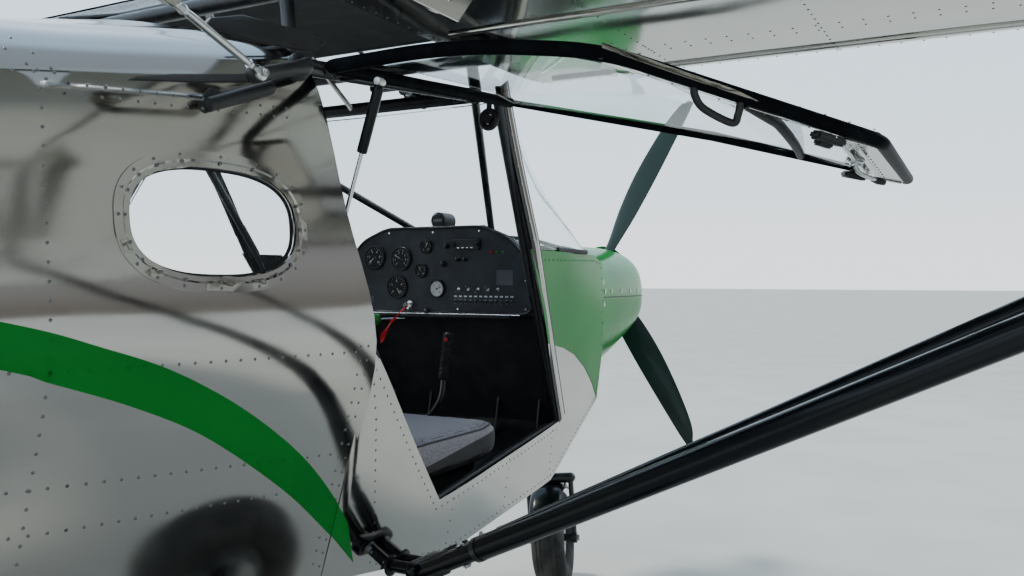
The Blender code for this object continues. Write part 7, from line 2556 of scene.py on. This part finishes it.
def make_tail_details():
    specs = (
        ("stabilizer", "airframe", [((5.37, -1.26), (5.37, 1.26)), ((5.50, -1.26), (5.50, 1.26)),
                                    ((5.79, -1.26), (5.79, 1.26))]),
        ("elevator", "elevator_body", [((5.90, -1.26), (5.90, 1.26)), ((6.215, -1.24), (6.215, -0.24)),
                                       ((6.215, 0.24), (6.215, 1.24))]),
    )
    for node, body, lines in specs:
        fore, aft = (5.37, 5.79) if node == "stabilizer" else (5.90, 6.20)
        ribs = [((fore, y), (aft, y)) for y in (-1.25, -0.95, -0.65, -0.35, 0.35, 0.65, 0.95, 1.25)]
        spots = both_faces(tree_of(node), [(a, b, 0.038) for a, b in lines + ribs])
        near = [spot for spot in spots if abs(spot[0].z - TAIL_HEIGHT) < 0.06]
        rivets(f"{node}_rivets", near, 0.0024, body=body, sides=6)
    specs = (
        ("fin", "airframe", "rivet", [((5.62, 1.55), (5.80, 2.44)), ((5.94, 1.43), (5.94, 2.44))],
         (5.72, 5.93)),
        ("rudder", "rudder_body", "green", [((6.06, 1.22), (6.06, 2.44)), ((6.27, 1.24), (6.24, 2.44))],
         (6.07, 6.25)),
    )
    for node, body, look, lines, (fore, aft) in specs:
        tree = tree_of(node)
        spots = []
        for a, b in lines + [((fore, z), (aft, z)) for z in (1.60, 1.85, 2.10, 2.35)]:
            for s, z in spread(a, b, 0.040):
                for side in (-1, 1):
                    found = hit(tree, place(s, side * 0.5, z), (0, -side, 0))
                    if found:
                        spots.append(found)
        rivets(f"{node}_rivets", spots, 0.0025, look, body, 6)


FIRST_LOOKS = {
    "aluminium": ("rear_fuselage", "cabin_side_right", "cabin_side_left", "cabin_floor", "stabilizer",
                  "elevator", "fin", "flaperon_right", "flaperon_left"),
    "green": ("cowl_upper", "cowl_lower", "scuttle_deck", "spinner", "rudder"),
    "glass": ("skylight", "windshield", "door_glass_right", "door_glass_left", "rear_window_right",
              "rear_window_left"),
    "blade": ("propeller",),
    "black": ("strut_front_right", "strut_front_left", "strut_rear_right", "strut_rear_left",
              "gas_cylinder_right", "gas_cylinder_left", "nose_fender", "door_frame_right", "door_frame_left",
              "flap_linkage_right", "flap_linkage_left"),
    "steel": ("cabin_frame", "control_stick", "main_gear_leg", "axle_right", "axle_left", "nose_leg",
              "nose_fork", "seat_pan", "strut_fitting_right", "strut_fitting_left"),
    "bright": ("gas_rod_right", "gas_rod_left"),
    "cast": ("engine", "firewall", "main_rim_right", "main_rim_left", "nose_rim"),
    "rubber": ("main_tyre_right", "main_tyre_left", "nose_tyre"),
    "panel": ("instrument_panel", "glareshield"),
    "fabric": ("seat_cushion_right", "seat_cushion_left", "seat_back_right", "seat_back_left"),
    "wing_sheet": ("wing_right", "wing_left"),
}


def dress_solids():
    """Every solid that stays in view gets its finish."""
    for look, names in FIRST_LOOKS.items():
        for name in names:
            for slot in NODES[name].material_slots:
                slot.material = MAT[look]


make_camera()
make_floor()
make_sky()
make_lights()
dress_solids()
shell = make_rear_skin()
make_rear_details(shell)
make_wings()
make_struts()
make_strut_feet()
make_cabin_sides()
make_cowl()
make_scuttle()
make_windshield()
make_doors()
make_gas_struts()
make_panel()
make_interior()
make_stick()
make_seats()
make_frame_tubes()
make_roof()
make_roof_fittings()
make_flaperons()
make_propeller()
make_main_gear()
make_nose_gear()
make_tail_details()
